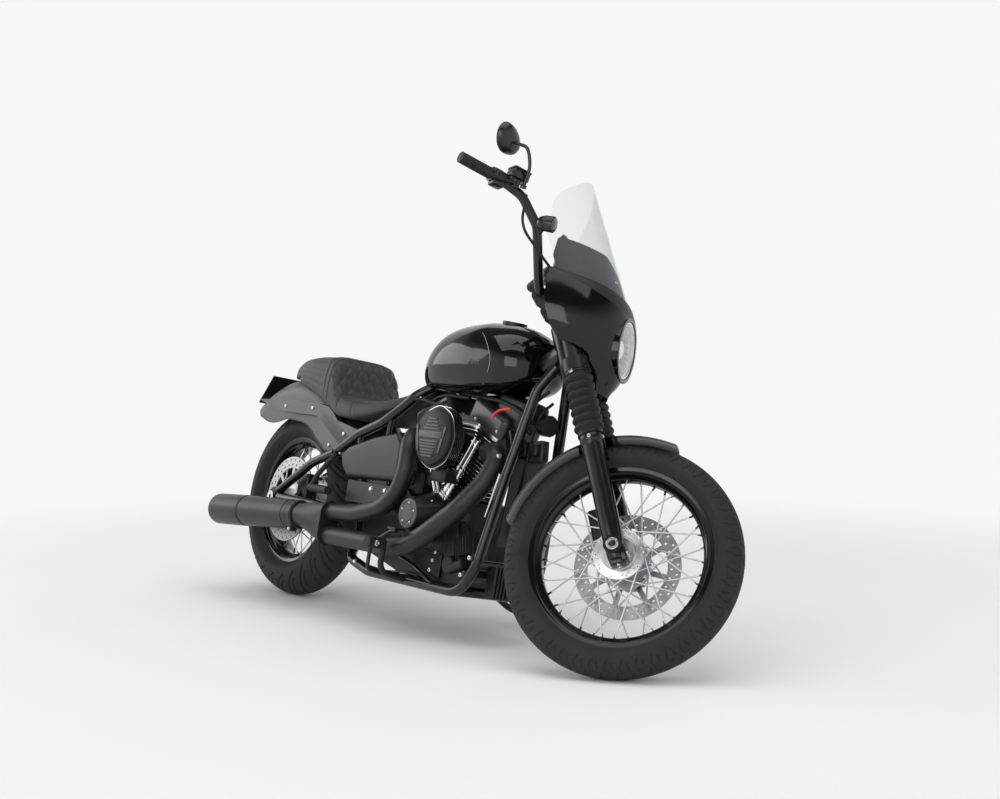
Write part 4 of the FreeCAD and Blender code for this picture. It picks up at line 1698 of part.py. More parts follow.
def make_rear_caliper():
    """Caliper over the rear disc, held to the swingarm."""
    place = rear_axle + Vector(0.80 * v.rear_disc_radius, -v.rear_disc_offset, 0.28 * v.rear_disc_radius)
    block = Part.makeBox(v.caliper_height, v.caliper_width, v.caliper_length)
    block.translate(Vector(-v.caliper_height / 2, v.caliper_inner - v.caliper_width, -v.caliper_length / 2))
    block = block.makeFillet(v.caliper_slot, block.Edges)
    block.translate(place)
    slot = Part.makeCylinder(v.rear_disc_radius + v.hub_side_gap, v.caliper_slot,
                             rear_axle + Vector(0, -v.rear_disc_offset - v.caliper_slot / 2, 0), ACROSS)
    arm = upright("swingarm")
    tie = rod(place - Vector(0, 0.4 * v.caliper_width, 0),
              Vector(place.x, -v.swingarm_half_width, rear_axle.z), 0.5 * v.swingarm_radius)
    keep_shape(fused([block, tie]).cut(slot).cut(arm), "rear_caliper", "chassis")


make_wheels()
make_axles()
make_fork()
make_front_fender()
make_fairing()
make_screen()
make_handlebar()
make_front_caliper()
make_brake_line()
make_frame()
make_swingarm()
make_stand()
make_cases()
for ending, side in (("front", 1), ("rear", -1)):
    make_cylinder("cylinder_" + ending, side)
    make_rocker_cover("rocker_cover_" + ending, side)
make_pushrods()
make_covers()
make_exhaust()
make_muffler()
doc.recompute()
make_tank()
make_seat()
make_rear_end()
make_side_covers()
make_front_fittings()
make_foot_controls()
make_belt()
make_rear_caliper()
doc.recompute()

# The stored origin: on the ground, under the middle of the part's box.

box = FreeCAD.BoundBox()
for thing in nodes.values():
    box.add(thing.Shape.optimalBoundingBox(False))
to_origin = Placement(Vector(-box.Center.x, -box.Center.y, -box.ZMin), Rotation())
for thing in nodes.values():
    thing.Placement = to_origin.multiply(thing.Placement)
doc.recompute()

for thing in doc.Objects:
    if "Invalid" in thing.State or "Error" in thing.State:
        raise RuntimeError("%s did not build: %s" % (thing.Name, thing.State))
for name, thing in nodes.items():
    if thing.Shape.isNull() or not thing.Shape.isValid() or not thing.Shape.Solids:
        raise RuntimeError("%s has no sound shape" % name)

os.makedirs("parts", exist_ok=True)
for name, thing in nodes.items():
    thing.Shape.exportStep("parts/%s.step" % name)
print(len(nodes), "nodes written, moved by", [round(share, 3) for share in to_origin.Base])
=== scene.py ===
import json
import math

import bmesh
import bpy
import numpy as np
from mathutils import Matrix, Vector
from mathutils.bvhtree import BVHTree

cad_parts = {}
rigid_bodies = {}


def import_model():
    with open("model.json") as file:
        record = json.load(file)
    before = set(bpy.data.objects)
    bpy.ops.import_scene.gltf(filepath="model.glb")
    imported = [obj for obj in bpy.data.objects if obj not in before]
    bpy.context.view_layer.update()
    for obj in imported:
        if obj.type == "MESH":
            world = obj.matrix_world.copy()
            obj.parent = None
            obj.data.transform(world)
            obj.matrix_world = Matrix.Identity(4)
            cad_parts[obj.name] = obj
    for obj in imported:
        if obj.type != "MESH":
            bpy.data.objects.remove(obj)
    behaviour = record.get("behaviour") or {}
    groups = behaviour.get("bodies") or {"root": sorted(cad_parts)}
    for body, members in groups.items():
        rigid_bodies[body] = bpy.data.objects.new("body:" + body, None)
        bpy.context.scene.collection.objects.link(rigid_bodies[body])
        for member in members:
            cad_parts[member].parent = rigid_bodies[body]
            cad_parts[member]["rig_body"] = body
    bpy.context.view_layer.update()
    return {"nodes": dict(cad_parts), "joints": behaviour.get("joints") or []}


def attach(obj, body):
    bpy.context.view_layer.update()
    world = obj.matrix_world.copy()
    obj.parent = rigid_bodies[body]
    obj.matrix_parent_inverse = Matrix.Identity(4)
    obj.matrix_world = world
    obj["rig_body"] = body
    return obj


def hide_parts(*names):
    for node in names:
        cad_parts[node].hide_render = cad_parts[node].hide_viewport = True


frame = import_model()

nodes = frame["nodes"]
joints = {joint["name"]: joint for joint in frame["joints"]}
print("frame loaded:", len(nodes), "nodes")


# Places: the upright bike's own axes, found again from its joints. Points are given in millimetres on the
# upright bike: ahead of the rear axle, to the left and above the ground.

bike = {"rake": 30.0, "wheelbase": 1630.0, "frontRadius": 331.0, "rearRadius": 323.0}


def unit(vectors):
    # vectors divided by their lengths
    vectors = np.asarray(vectors, float)
    return vectors / np.linalg.norm(vectors, axis=-1, keepdims=True)


class Place:
    # three axes and an origin of one body, from the axle's and the steering's directions and one known point
    def __init__(self, across, steerUp, knownPoint, knownPlace):
        slope = math.radians(bike["rake"])
        across, steerUp = unit(across), unit(steerUp)
        ahead = unit(np.cross(across, steerUp))
        along = ahead * math.cos(slope) - steerUp * math.sin(slope)
        up = ahead * math.sin(slope) + steerUp * math.cos(slope)
        self.axes = np.array([along, across, up])
        self.origin = np.array(knownPlace, float) - 0.001 * np.array(knownPoint, float) @ self.axes

    def at(self, points):
        # from the bike's millimetres to the frame's metres
        return self.origin + 0.001 * np.asarray(points, float) @ self.axes

    def back(self, points):
        # from the frame's metres to the bike's millimetres
        return 1000.0 * (np.asarray(points, float) - self.origin) @ self.axes.T


ahead, left, up = np.eye(3)
rearAxle, frontAxle = up * bike["rearRadius"], ahead * bike["wheelbase"] + up * bike["frontRadius"]
forkSlope = math.radians(bike["rake"])
forkUp = up * math.cos(forkSlope) - ahead * math.sin(forkSlope)
forkAhead = ahead * math.cos(forkSlope) + up * math.sin(forkSlope)
rearSpin, frontSpin, steering = joints["rear_wheel_spin"], joints["front_wheel_spin"], joints["steering"]
mainPlace = Place(rearSpin["axis"], steering["axis"], rearAxle, rearSpin["pos_m"])
forkPlace = Place(frontSpin["axis"], steering["axis"], frontAxle, frontSpin["pos_m"])


# Camera, and rays through the photograph that meet a CAD node or a plane along the bike.

view = {
    "at": (4.135508, -3.021574, 0.948527), "yaw": 2.48812542, "pitch": -0.0483279859, "roll": 0.000634101166,
    "focal": 1644.51834, "width": 1000.0, "height": 799.0,
}


def cameraAxes():
    # the directions to the right, upwards and ahead as the camera stands
    yaw, pitch, roll = view["yaw"], view["pitch"], view["roll"]
    forward = np.array([math.cos(pitch) * math.cos(yaw), math.cos(pitch) * math.sin(yaw), math.sin(pitch)])
    right = unit(np.cross(forward, [0.0, 0.0, 1.0]))
    top = np.cross(right, forward)
    return math.cos(roll) * right + math.sin(roll) * top, math.cos(roll) * top - math.sin(roll) * right, forward


def makeCamera():
    # the lens is the focal length in pixels over the picture's width, times the sensor's width
    right, top, forward = cameraAxes()
    camera = bpy.data.cameras.new("photograph")
    camera.sensor_width = 36.0
    camera.lens = view["focal"] / view["width"] * camera.sensor_width
    camera.clip_start, camera.clip_end = 0.05, 60.0
    holder = bpy.data.objects.new("photograph", camera)
    matrix = Matrix(np.column_stack([right, top, -forward]).tolist()).to_4x4()
    matrix.translation = Vector(view["at"])
    holder.matrix_world = matrix
    bpy.context.scene.collection.objects.link(holder)
    bpy.context.scene.camera = holder


def pixelRay(column, row):
    # the direction from the camera through a pixel
    right, top, forward = cameraAxes()
    return unit(forward * view["focal"] + right * (column - view["width"] / 2) + top * (view["height"] / 2 - row))


def meshPoints(mesh):
    # the places of a mesh's vertices, one row each
    points = np.empty(len(mesh.vertices) * 3)
    mesh.vertices.foreach_get("co", points)
    return points.reshape(-1, 3)


trees = {}


def surfaceOf(name):
    # a CAD node's triangles as rays meet them, kept for the next ray
    if name not in trees:
        mesh = nodes[name].data
        corners = np.empty(len(mesh.loops), int)
        mesh.loops.foreach_get("vertex_index", corners)
        trees[name] = BVHTree.FromPolygons(meshPoints(mesh).tolist(), corners.reshape(-1, 3).tolist())
    return trees[name]


def seenAt(column, row, place, *names):
    # the point and outward direction where a pixel's ray first meets one of the nodes, in place's axes
    ray = pixelRay(column, row)
    hits = [surfaceOf(name).ray_cast(Vector(view["at"]), Vector(ray)) for name in names]
    hits = [hit for hit in hits if hit[0] is not None]
    if not hits:
        print("no surface at", column, row, names)
        return None
    point, normal = min(hits, key=lambda hit: hit[3])[:2]
    normal = np.array(normal) if np.dot(normal, ray) < 0 else -np.array(normal)
    return place.back(point), normal @ place.axes.T


def onPlane(column, row, aside):
    # where a pixel's ray meets the plane at this distance from the bike's middle
    start, ray = mainPlace.back(view["at"]), pixelRay(column, row) @ mainPlace.axes.T
    return start + ray * (aside - start[1]) / ray[1]


makeCamera()
print("camera made")


# Shader maths: a socket that takes part in sums, and one method for every other node.

def feed(tree, socket, item):
    # a socket takes a link or a plain value
    if isinstance(item, Value):
        tree.links.new(item.socket, socket)
    else:
        socket.default_value = item


class Value:
    # a socket that adds its Math nodes as it is written in a sum
    def __init__(self, tree, socket):
        self.tree, self.socket = tree, socket

    def join(self, operation, first, second):
        node = self.tree.nodes.new("ShaderNodeMath")
        node.operation = operation
        for index, item in enumerate((first, second)):
            feed(self.tree, node.inputs[index], item)
        return Value(self.tree, node.outputs[0])

    def __add__(self, other):
        return self.join("ADD", self, other)

    def __radd__(self, other):
        return self.join("ADD", other, self)

    def __sub__(self, other):
        return self.join("SUBTRACT", self, other)

    def __rsub__(self, other):
        return self.join("SUBTRACT", other, self)

    def __mul__(self, other):
        return self.join("MULTIPLY", self, other)

    def __rmul__(self, other):
        return self.join("MULTIPLY", other, self)

    def __gt__(self, other):
        return self.join("GREATER_THAN", self, other)


class Nodes:
    # a node tree and one method that adds any node to it
    def __init__(self, tree):
        self.tree = tree

    def node(self, kind, settings=None, inputs=None, output=0):
        node = self.tree.nodes.new("ShaderNode" + kind)
        for key, item in (settings or {}).items():
            setattr(node, key, item)
        for key, item in (inputs or {}).items():
            feed(self.tree, node.inputs[key], item)
        return Value(self.tree, node.outputs[output])

    def plainlySeen(self):
        # 1 for a ray from the camera, a mirror or glass, which see the plain background
        seen = [self.node("LightPath", output=kind)
                for kind in ("Is Camera Ray", "Is Glossy Ray", "Is Transmission Ray")]
        either = self.node("Math", {"operation": "MAXIMUM"}, {0: seen[0], 1: seen[1]})
        return self.node("Math", {"operation": "MAXIMUM"}, {0: either, 1: seen[2]})


class Finish(Nodes):
    # a material with its shader at hand
    def __init__(self, name):
        self.material = bpy.data.materials.new(name)
        self.material.use_nodes = True
        super().__init__(self.material.node_tree)
        self.shader = self.tree.nodes["Principled BSDF"]

    def coordinates(self):
        return self.node("TexCoord", output="Object")

    def noise(self, scale, detail=3.0, vector=None, rough=0.5):
        inputs = {"Vector": vector or self.coordinates(), "Scale": scale, "Detail": detail, "Roughness": rough}
        return self.node("TexNoise", {}, inputs, "Fac")

    def spread(self, value, low, high, start=0.0, end=1.0):
        # value between start and end runs from low to high
        return self.node("MapRange", {}, {"Value": value, "From Min": start, "From Max": end,
                                          "To Min": low, "To Max": high})

    def blend(self, share, first, second):
        # two colours, mixed by a share
        return self.node("Mix", {"data_type": "RGBA"}, {0: share, 6: first, 7: second}, 2)

    def bump(self, height, strength, distance=0.001):
        return self.node("Bump", {}, {"Height": height, "Strength": strength, "Distance": distance})

    def set(self, **values):
        for key, item in values.items():
            feed(self.tree, self.shader.inputs[key.replace("_", " ")], item)
        return self.material


def grey(level, blue=0.0):
    # a grey with a little more blue
    return (level, level, level + blue, 1.0)


paints = {
    "glossBlack": {"colour": grey(0.003, 0.0006), "rough": (0.05, 0.09), "shine": 0.45, "coat": 0.0, "peel": 0.02},
    "satinBlack": {"colour": grey(0.008, 0.0008), "rough": (0.30, 0.42), "shine": 0.40, "coat": 0.0, "peel": 0.10},
    "pipeBlack": {"colour": grey(0.012, 0.0016), "rough": (0.36, 0.46), "shine": 0.42, "coat": 0.0, "peel": 0.12},
    "satinGrey": {"colour": grey(0.040, 0.001), "rough": (0.36, 0.46), "shine": 0.50, "coat": 0.1, "peel": 0.08},
    "coverGrey": {"colour": grey(0.014, 0.001), "rough": (0.26, 0.36), "shine": 0.50, "coat": 0.1, "peel": 0.08},
    "frameBlack": {"colour": grey(0.005, 0.0006), "rough": (0.16, 0.26), "shine": 0.45, "coat": 0.1, "peel": 0.05},
    "plasticBlack": {"colour": grey(0.009), "rough": (0.32, 0.46), "shine": 0.40, "coat": 0.0, "peel": 0.25},
    "legBlack": {"colour": grey(0.004, 0.0008), "rough": (0.20, 0.30), "shine": 0.45, "coat": 0.1, "peel": 0.05},
}


def paint(name, settings):
    # paint: broad soft variation of colour and gloss, and a fine peel in its skin
    finish = Finish(name)
    broad = finish.noise(6.0, 4.0)
    fine = finish.noise(900.0, 2.0)
    dust = finish.noise(38.0, 6.0, rough=0.7)
    colour = settings["colour"]
    paler = tuple(channel * 1.35 + 0.002 for channel in colour[:3]) + (1.0,)
    low, high = settings["rough"]
    rough = finish.spread(broad * 0.6 + dust * 0.4, low, high, 0.3, 0.7)
    return finish.set(Base_Color=finish.blend(finish.spread(dust, 0.0, 1.0, 0.35, 0.75), colour, paler),
                      Roughness=rough, Coat_Weight=settings["coat"], Coat_Roughness=0.03,
                      Specular_IOR_Level=settings["shine"],
                      Normal=finish.bump(fine, settings["peel"], 0.0004))


def wrinkle(name):
    # coarse wrinkle coat of the engine castings: smoothed cells
    finish = Finish(name)
    cells = finish.node("TexVoronoi", {"feature": "SMOOTH_F1"}, {"Vector": finish.coordinates(), "Scale": 520.0})
    broad = finish.noise(14.0, 5.0)
    return finish.set(Base_Color=finish.blend(broad, grey(0.006, 0.0005), grey(0.014, 0.001)),
                      Roughness=finish.spread(broad, 0.42, 0.58), Specular_IOR_Level=0.4,
                      Normal=finish.bump(cells, 0.35, 0.0006))


def bright(name, colour, rough, grain, strength=0.12, stretch=(1.0, 1.0, 1.0)):
    # bare metal with a grain: fine noise, which a stretch squeezes, and broad smudges
    finish = Finish(name)
    where = finish.node("Mapping", {}, {"Vector": finish.coordinates(), "Scale": stretch})
    lines = finish.noise(grain, 3.0, where)
    smudge = finish.noise(22.0, 5.0, rough=0.65)
    darker = tuple(channel * 0.80 for channel in colour[:3]) + (1.0,)
    return finish.set(Base_Color=finish.blend(smudge, darker, colour), Metallic=1.0,
                      Roughness=finish.spread(lines * 0.5 + smudge * 0.5, rough * 0.75, rough * 1.3, 0.3, 0.7),
                      Normal=finish.bump(lines, strength, 0.0003))


def groundFace(name, colour, rough):
    # a ground disc face: very fine noise under broad smudges
    finish = Finish(name)
    smudge = finish.noise(30.0, 5.0, rough=0.65)
    lines = finish.noise(700.0, 2.0)
    darker = tuple(channel * 0.72 for channel in colour[:3]) + (1.0,)
    return finish.set(Base_Color=finish.blend(smudge, darker, colour), Metallic=1.0,
                      Roughness=finish.spread(lines * 0.6 + smudge * 0.4, rough * 0.7, rough * 1.3, 0.3, 0.7),
                      Normal=finish.bump(lines, 0.15, 0.0003))


def tyreRubber(name):
    # matt rubber: a fine pebble and a dusty bloom
    finish = Finish(name)
    bloom = finish.noise(11.0, 6.0, rough=0.6)
    pebble = finish.noise(1400.0, 2.0)
    return finish.set(Base_Color=finish.blend(finish.spread(bloom, 0.0, 1.0, 0.3, 0.7), grey(0.015), grey(0.026)),
                      Roughness=finish.spread(bloom, 0.62, 0.78), Specular_IOR_Level=0.35,
                      Normal=finish.bump(pebble, 0.3, 0.0004))


def softRubber(name, level):
    # smooth rubber: a fine pebble, up to 1.8 times as pale where the bloom is
    finish = Finish(name)
    bloom = finish.noise(26.0, 5.0, rough=0.6)
    pebble = finish.noise(1100.0, 2.0)
    return finish.set(Base_Color=finish.blend(bloom, grey(level), grey(level * 1.8)),
                      Roughness=finish.spread(bloom, 0.48, 0.66), Specular_IOR_Level=0.35,
                      Normal=finish.bump(pebble, 0.25, 0.0004))


def leather(name):
    # cover hide: cells of grain with creases between them, over a soft mottle
    finish = Finish(name)
    grain = finish.node("TexVoronoi", {"feature": "DISTANCE_TO_EDGE"},
                        {"Vector": finish.coordinates(), "Scale": 620.0})
    mottle = finish.noise(16.0, 6.0, rough=0.6)
    crease = finish.noise(160.0, 3.0)
    height = finish.spread(grain, 0.0, 1.0, 0.0, 0.25) * 0.7 + crease * 0.3
    return finish.set(Base_Color=finish.blend(mottle, grey(0.012, 0.001), grey(0.026, 0.0015)),
                      Roughness=finish.spread(mottle, 0.44, 0.60), Normal=finish.bump(height, 0.30, 0.0005),
                      Sheen_Weight=0.08, Sheen_Roughness=0.5)


def clear(name, colour, alpha, edge, shine):
    # a clear sheet: mostly seen through, denser where it is seen edge on
    finish = Finish(name)
    facing = finish.node("LayerWeight", {}, {"Blend": 0.35}, "Facing")
    haze = finish.noise(8.0, 4.0)
    return finish.set(Base_Color=colour, Roughness=finish.spread(haze, 0.02, 0.05),
                      Alpha=finish.spread(facing, alpha, alpha + edge), IOR=1.49, Specular_IOR_Level=shine)


def plain(name, colour, low, high, coat=0.0):
    # small parts: a moulded or painted colour with a little mottle
    finish = Finish(name)
    mottle = finish.noise(90.0, 4.0)
    paler = tuple(min(1.0, channel * 1.2) for channel in colour[:3]) + (1.0,)
    return finish.set(Base_Color=finish.blend(mottle, colour, paler), Coat_Weight=coat,
                      Roughness=finish.spread(mottle, low, high), Normal=finish.bump(mottle, 0.05, 0.0003))


band = {"slope": 0.2, "height": 1293.6, "gloss": 0.07, "matt": 0.48}


def fairingPaint(name):
    # gloss black below, grained matt black above a plane that falls forwards: height plus slope times x
    # is past a limit
    finish = Finish(name)
    normal = band["slope"] * forkPlace.axes[0] + forkPlace.axes[2]
    limit = band["height"] * 0.001 + float(forkPlace.origin @ normal)
    level = finish.node("VectorMath", {"operation": "DOT_PRODUCT"},
                        {0: finish.coordinates(), 1: tuple(normal)}, "Value")
    matt = level > limit
    grain, dust = finish.noise(1300.0, 2.0), finish.noise(38.0, 6.0, rough=0.7)
    return finish.set(Base_Color=finish.blend(matt, grey(0.003, 0.0006), grey(0.014)), Specular_IOR_Level=0.45,
                      Roughness=(band["matt"] - band["gloss"]) * matt + band["gloss"] + dust * 0.03,
                      Normal=finish.bump(grain * matt, 0.35, 0.0005))


finishes = {
    # the function that makes it, and what that function is given
    "fairingBlack": (fairingPaint,), "castBlack": (wrinkle,), "tyreRubber": (tyreRubber,), "coverHide": (leather,),
    "castAlloy": (bright, (0.72, 0.73, 0.75, 1), 0.34, 260.0, 0.2),
    "machined": (bright, (0.80, 0.81, 0.83, 1), 0.22, 900.0, 0.12, (1.0, 1.0, 6.0)),
    "spokeSteel": (bright, (0.78, 0.79, 0.80, 1), 0.20, 500.0),
    "zincSteel": (bright, (0.70, 0.70, 0.71, 1), 0.26, 800.0),
    "chrome": (bright, (0.88, 0.88, 0.90, 1), 0.06, 300.0, 0.02),
    "reflector": (bright, (0.92, 0.93, 0.95, 1), 0.10, 400.0),
    "mirrorGlass": (bright, (0.90, 0.91, 0.92, 1), 0.02, 100.0, 0.0),
    "discSteel": (groundFace, (0.50, 0.49, 0.48, 1), 0.30),
    "softRubber": (softRubber, 0.010), "cableBlack": (softRubber, 0.007),
    "gaiterRubber": (softRubber, 0.006), "thread": (softRubber, 0.05),
    "mouldedBlack": (plain, grey(0.010), 0.18, 0.30),
    "redSleeve": (plain, (0.62, 0.02, 0.02, 1), 0.35, 0.50),
    "lampWhite": (plain, (0.62, 0.63, 0.64, 1), 0.25, 0.40, 0.5),
    "smokedLens": (plain, (0.05, 0.012, 0.010, 1), 0.08, 0.16, 1.0),
    "pinstripe": (plain, (0.42, 0.42, 0.43, 1), 0.25, 0.35, 0.6),
    "clearSheet": (clear, (0.36, 0.39, 0.41, 1), 0.03, 0.30, 0.22),
    "lampGlass": (clear, (0.93, 0.95, 0.97, 1), 0.06, 0.30, 0.5),
}
materials = {name: paint(name, settings) for name, settings in paints.items()}
for name, (maker, *settings) in finishes.items():
    materials[name] = maker(name, *settings)
print("finishes made:", len(materials))


# Surfaces: grids of points worked out as whole arrays.

class Form:
    # points and faces of one piece, gathered grid by grid
    def __init__(self):
        self.points, self.faces, self.count = [], [], 0

    def grid(self, points, closeRows=False, closeColumns=True, capStart=False, capEnd=False):
        # rows x columns x 3; a face joins each point with the next one along its row and its column
        rows, columns = points.shape[:2]
        numbers = np.arange(rows * columns).reshape(rows, columns) + self.count
        below = np.concatenate([numbers, numbers[:1]]) if closeRows else numbers
        wide = np.concatenate([below, below[:, :1]], axis=1) if closeColumns else below
        quads = np.stack([wide[:-1, :-1], wide[1:, :-1], wide[1:, 1:], wide[:-1, 1:]], axis=-1).reshape(-1, 4)
        self.faces += quads.tolist()
        self.points.append(points.reshape(-1, 3))
        self.count += rows * columns
        for wanted, row, numbered in ((capStart, points[0], numbers[0]), (capEnd, points[-1], numbers[-1])):
            if wanted:
                self.points.append(row.mean(axis=0, keepdims=True))
                ends = np.roll(numbered, -1)
                middle = np.full_like(numbered, self.count)
                self.faces += np.stack([numbered, ends, middle], axis=-1).tolist()
                self.count += 1
        return self

    def solid(self, place, points):
        # a turned form or tube with both ends closed
        return self.grid(place.at(points), capStart=True, capEnd=True)

    def dish(self, place, points):
        # the same with only its end closed
        return self.grid(place.at(points), capEnd=True)

    def ring(self, place, points):
        # a closed section carried round, with no ends
        return self.grid(place.at(points), closeRows=True)


def finishMesh(mesh, crease):
    # merged, faces outwards, smooth up to the crease angle
    shell = bmesh.new()
    shell.from_mesh(mesh)
    bmesh.ops.remove_doubles(shell, verts=shell.verts, dist=1e-6)
    bmesh.ops.recalc_face_normals(shell, faces=shell.faces)
    shell.to_mesh(mesh)
    shell.free()
    mesh.shade_smooth()
    mesh.set_sharp_from_angle(angle=math.radians(crease))
    mesh.update()


def dress(name, mesh, material, body, stands=()):
    # a mesh becomes a piece: its finish, the body it rides on and the CAD nodes it stands for
    mesh.materials.clear()
    mesh.materials.append(materials[material])
    piece = bpy.data.objects.new(name, mesh)
    bpy.context.scene.collection.objects.link(piece)
    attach(piece, body)
    if stands:
        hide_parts(*stands)
    return piece


def makePiece(name, form, material, body, stands=(), crease=32.0):
    # the form's points and faces become a finished, dressed piece
    mesh = bpy.data.meshes.new(name)
    mesh.from_pydata(np.concatenate(form.points).tolist(), [], form.faces)
    finishMesh(mesh, crease)
    return dress(name, mesh, material, body, stands)


def turns(count):
    # equal angles once round
    return np.linspace(0.0, 2.0 * np.pi, count, endpoint=False)


def crossAxes(axis):
    # two directions square to an axis
    axis = unit(axis)
    helper = np.array([0.0, 0.0, 1.0]) if abs(axis[2]) < 0.8 else np.array([1.0, 0.0, 0.0])
    first = unit(np.cross(helper, axis))
    return first, np.cross(axis, first)


def turned(profile, centre, axis, sides=48, swell=None):
    # a profile of radius and height, turned round an axis; swell widens the radius by row and angle
    profile = np.asarray(profile, float)
    first, second = crossAxes(axis)
    angle = turns(sides)
    radius = profile[:, :1] * (swell if swell is not None else np.ones((1, sides)))
    ring = np.cos(angle)[:, None] * first + np.sin(angle)[:, None] * second
    return np.asarray(centre, float) + radius[..., None] * ring + profile[:, 1][:, None, None] * unit(axis)


def alongPath(path, radius, sides=12):
    # a tube: at each point of the path a ring square to its tangent
    path = np.asarray(path, float)
    tangent = unit(np.gradient(path, axis=0))
    helper = np.eye(3)[np.argmin(np.abs(tangent).max(axis=0))]
    side = unit(np.cross(tangent, helper))
    other = np.cross(tangent, side)
    angle = turns(sides)
    radius = np.broadcast_to(np.asarray(radius, float).reshape(-1, 1), (len(path), 1))
    ring = (np.cos(angle) * radius)[..., None] * side[:, None] + (np.sin(angle) * radius)[..., None] * other[:, None]
    return path[:, None] + ring


def roundAxle(centre, angle, reach, aside):
    # points at each angle round an axle that lies across the bike: reach from it and aside along it
    radial = np.cos(angle)[:, None] * ahead + np.sin(angle)[:, None] * up
    return centre + reach[..., None] * radial[:, None] + aside[..., None] * left


def splineWeights(count, samples, closed=False):
    # how much each of count corners takes part in each sample of a smooth (Catmull-Rom) curve through them
    if closed:
        order = np.arange(-2, count + 3) % count
        place = np.linspace(2.0, count + 2.0, samples, endpoint=False)
    else:
        order = np.arange(count)
        place = np.linspace(0.0, count - 1.0, samples)
    corners = np.eye(count)[order]
    padded = np.concatenate([2 * corners[:1] - corners[1:2], corners, 2 * corners[-1:] - corners[-2:-1]])
    index = np.minimum(place.astype(int), len(corners) - 2)
    share = (place - index)[:, None]
    before, start, end, after = (padded[index + step] for step in range(4))
    return 0.5 * (2 * start + (end - before) * share + (2 * before - 5 * start + 4 * end - after) * share ** 2
                  + (3 * start - before - 3 * end + after) * share ** 3)


def flowing(corners, count=40):
    # points of the smooth curve through the corners
    return splineWeights(len(corners), count) @ np.asarray(corners, float)


def lengthAlong(line):
    # distance along a line of points from its first
    return np.concatenate([[0.0], np.cumsum(np.linalg.norm(np.diff(line, axis=0), axis=-1))])


def softBox(value, low, high, edge):
    # 1 between low and high, falling to 0 over an edge
    return np.clip((value - low) / edge, 0, 1) * np.clip((high - value) / edge, 0, 1)


def squarer(value, power):
    # the size is raised to a power and the sign stays, which turns a circle squarer
    return np.sign(value) * np.abs(value) ** power


def roundSquare(count, power):
    # a circle whose cosine and sine are both raised to a power
    angle = turns(count)
    return np.stack([squarer(np.cos(angle), power), squarer(np.sin(angle), power)], axis=-1)


def stacked(outline, levels):
    # a flat outline at each height, scaled by that level's share
    return np.array([np.column_stack([outline * share, np.full(len(outline), height)]) for height, share in levels])


boltShape = {"sides": 24, "crown": 0.77, "socket": 0.52, "depth": 0.42}


def boltHead(form, place, centre, axis, radius=6.0, kind="socket"):
    # a screw head: round with a six-sided socket, or six-sided with a domed top
    sides = boltShape["sides"]
    angle = turns(sides)
    six = np.cos(np.pi / 6) / np.cos((angle + np.pi / 6) % (np.pi / 3) - np.pi / 6)
    tall = radius * boltShape["crown"]
    if kind == "socket":
        inner = radius * boltShape["socket"]
        profile = [(radius, -0.4), (radius, tall * 0.62), (radius * 0.86, tall * 0.92), (inner * 1.15, tall),
                   (inner, tall), (inner, tall * (1 - boltShape["depth"]) * 0.5)]
        swell = np.ones((len(profile), sides))
        swell[3:] = six
    else:
        profile = [(radius * 1.25, -0.4), (radius * 1.25, tall * 0.18), (radius * 1.08, tall * 0.2),
                   (radius * 1.08, tall * 0.85), (radius * 0.9, tall), (radius * 0.5, tall * 1.05)]
        swell = np.ones((len(profile), sides))
        swell[2:4] = six
    form.solid(place, turned(profile, centre, axis, sides, swell))


def roundedBox(form, place, centre, size, power=0.25, turn=None, steps=24):
    # a block: rounded squares stacked along its last size, drawn in at both ends; a lower power is squarer
    centre, half = np.asarray(centre, float), np.asarray(size, float) / 2
    edge = min(half) * 0.28
    inset = edge / max(half[0], half[1])
    upper = [(half[2] - edge, 1.0), (half[2] - edge * 0.3, 1 - inset * 0.35), (half[2], 1 - inset * 1.2)]
    levels = [(-height, share) for height, share in reversed(upper)] + upper
    rings = stacked(roundSquare(steps * 2, power) * half[:2], levels)
    if turn is not None:
        rings = rings @ np.asarray(turn, float)
    form.solid(place, rings + centre)


def turnAbout(axis, degrees):
    # rows are the turned x, y and z directions
    axis, angle = unit(axis), math.radians(degrees)
    cross = np.array([[0, -axis[2], axis[1]], [axis[2], 0, -axis[0]], [-axis[1], axis[0], 0]])
    return (np.eye(3) + math.sin(angle) * cross + (1 - math.cos(angle)) * cross @ cross).T


# Carried-over nodes take finishes; boxy castings get eased edges on a merged copy.

nodeFinish = {
    "frame": "frameBlack", "swingarm": "frameBlack", "engine_cases": "castBlack", "fender_struts": "satinGrey",
    "fuel_tank": "glossBlack", "fairing": "glossBlack", "headlamp_shell": "glossBlack", "exhaust_pipes": "pipeBlack",
    "muffler": "pipeBlack", "side_stand": "frameBlack", "fork_tubes": "satinBlack", "handlebar": "frameBlack",
    "front_disc": "discSteel", "rear_disc": "discSteel", "rear_fender": "satinGrey", "mirrors": "plasticBlack",
    "front_hub": "castAlloy", "rear_hub": "castAlloy", "front_axle": "machined", "rear_axle": "zincSteel",
    "belt_sprocket": "satinBlack", "drive_belt": "softRubber", "brake_line": "cableBlack", "windscreen": "clearSheet",
    "headlamp_lens": "lampGlass", "foot_controls": "satinBlack", "foot_pegs": "softRubber",
    "fork_sliders": "satinBlack", "pushrod_tubes": "chrome", "fuel_cap": "satinBlack",
    "front_signals": "satinBlack", "hand_controls": "plasticBlack",
    "grips": "softRubber", "horn": "satinBlack", "fork_gaiters": "softRubber", "front_tyre": "tyreRubber",
    "rear_tyre": "tyreRubber", "front_rim": "glossBlack", "rear_rim": "glossBlack", "seat": "coverHide",
    "upper_clamp": "satinBlack", "front_fender": "glossBlack", "cylinder_front": "castBlack",
    "cylinder_rear": "castBlack", "oil_cooler": "satinBlack", "air_cleaner": "castBlack",
}
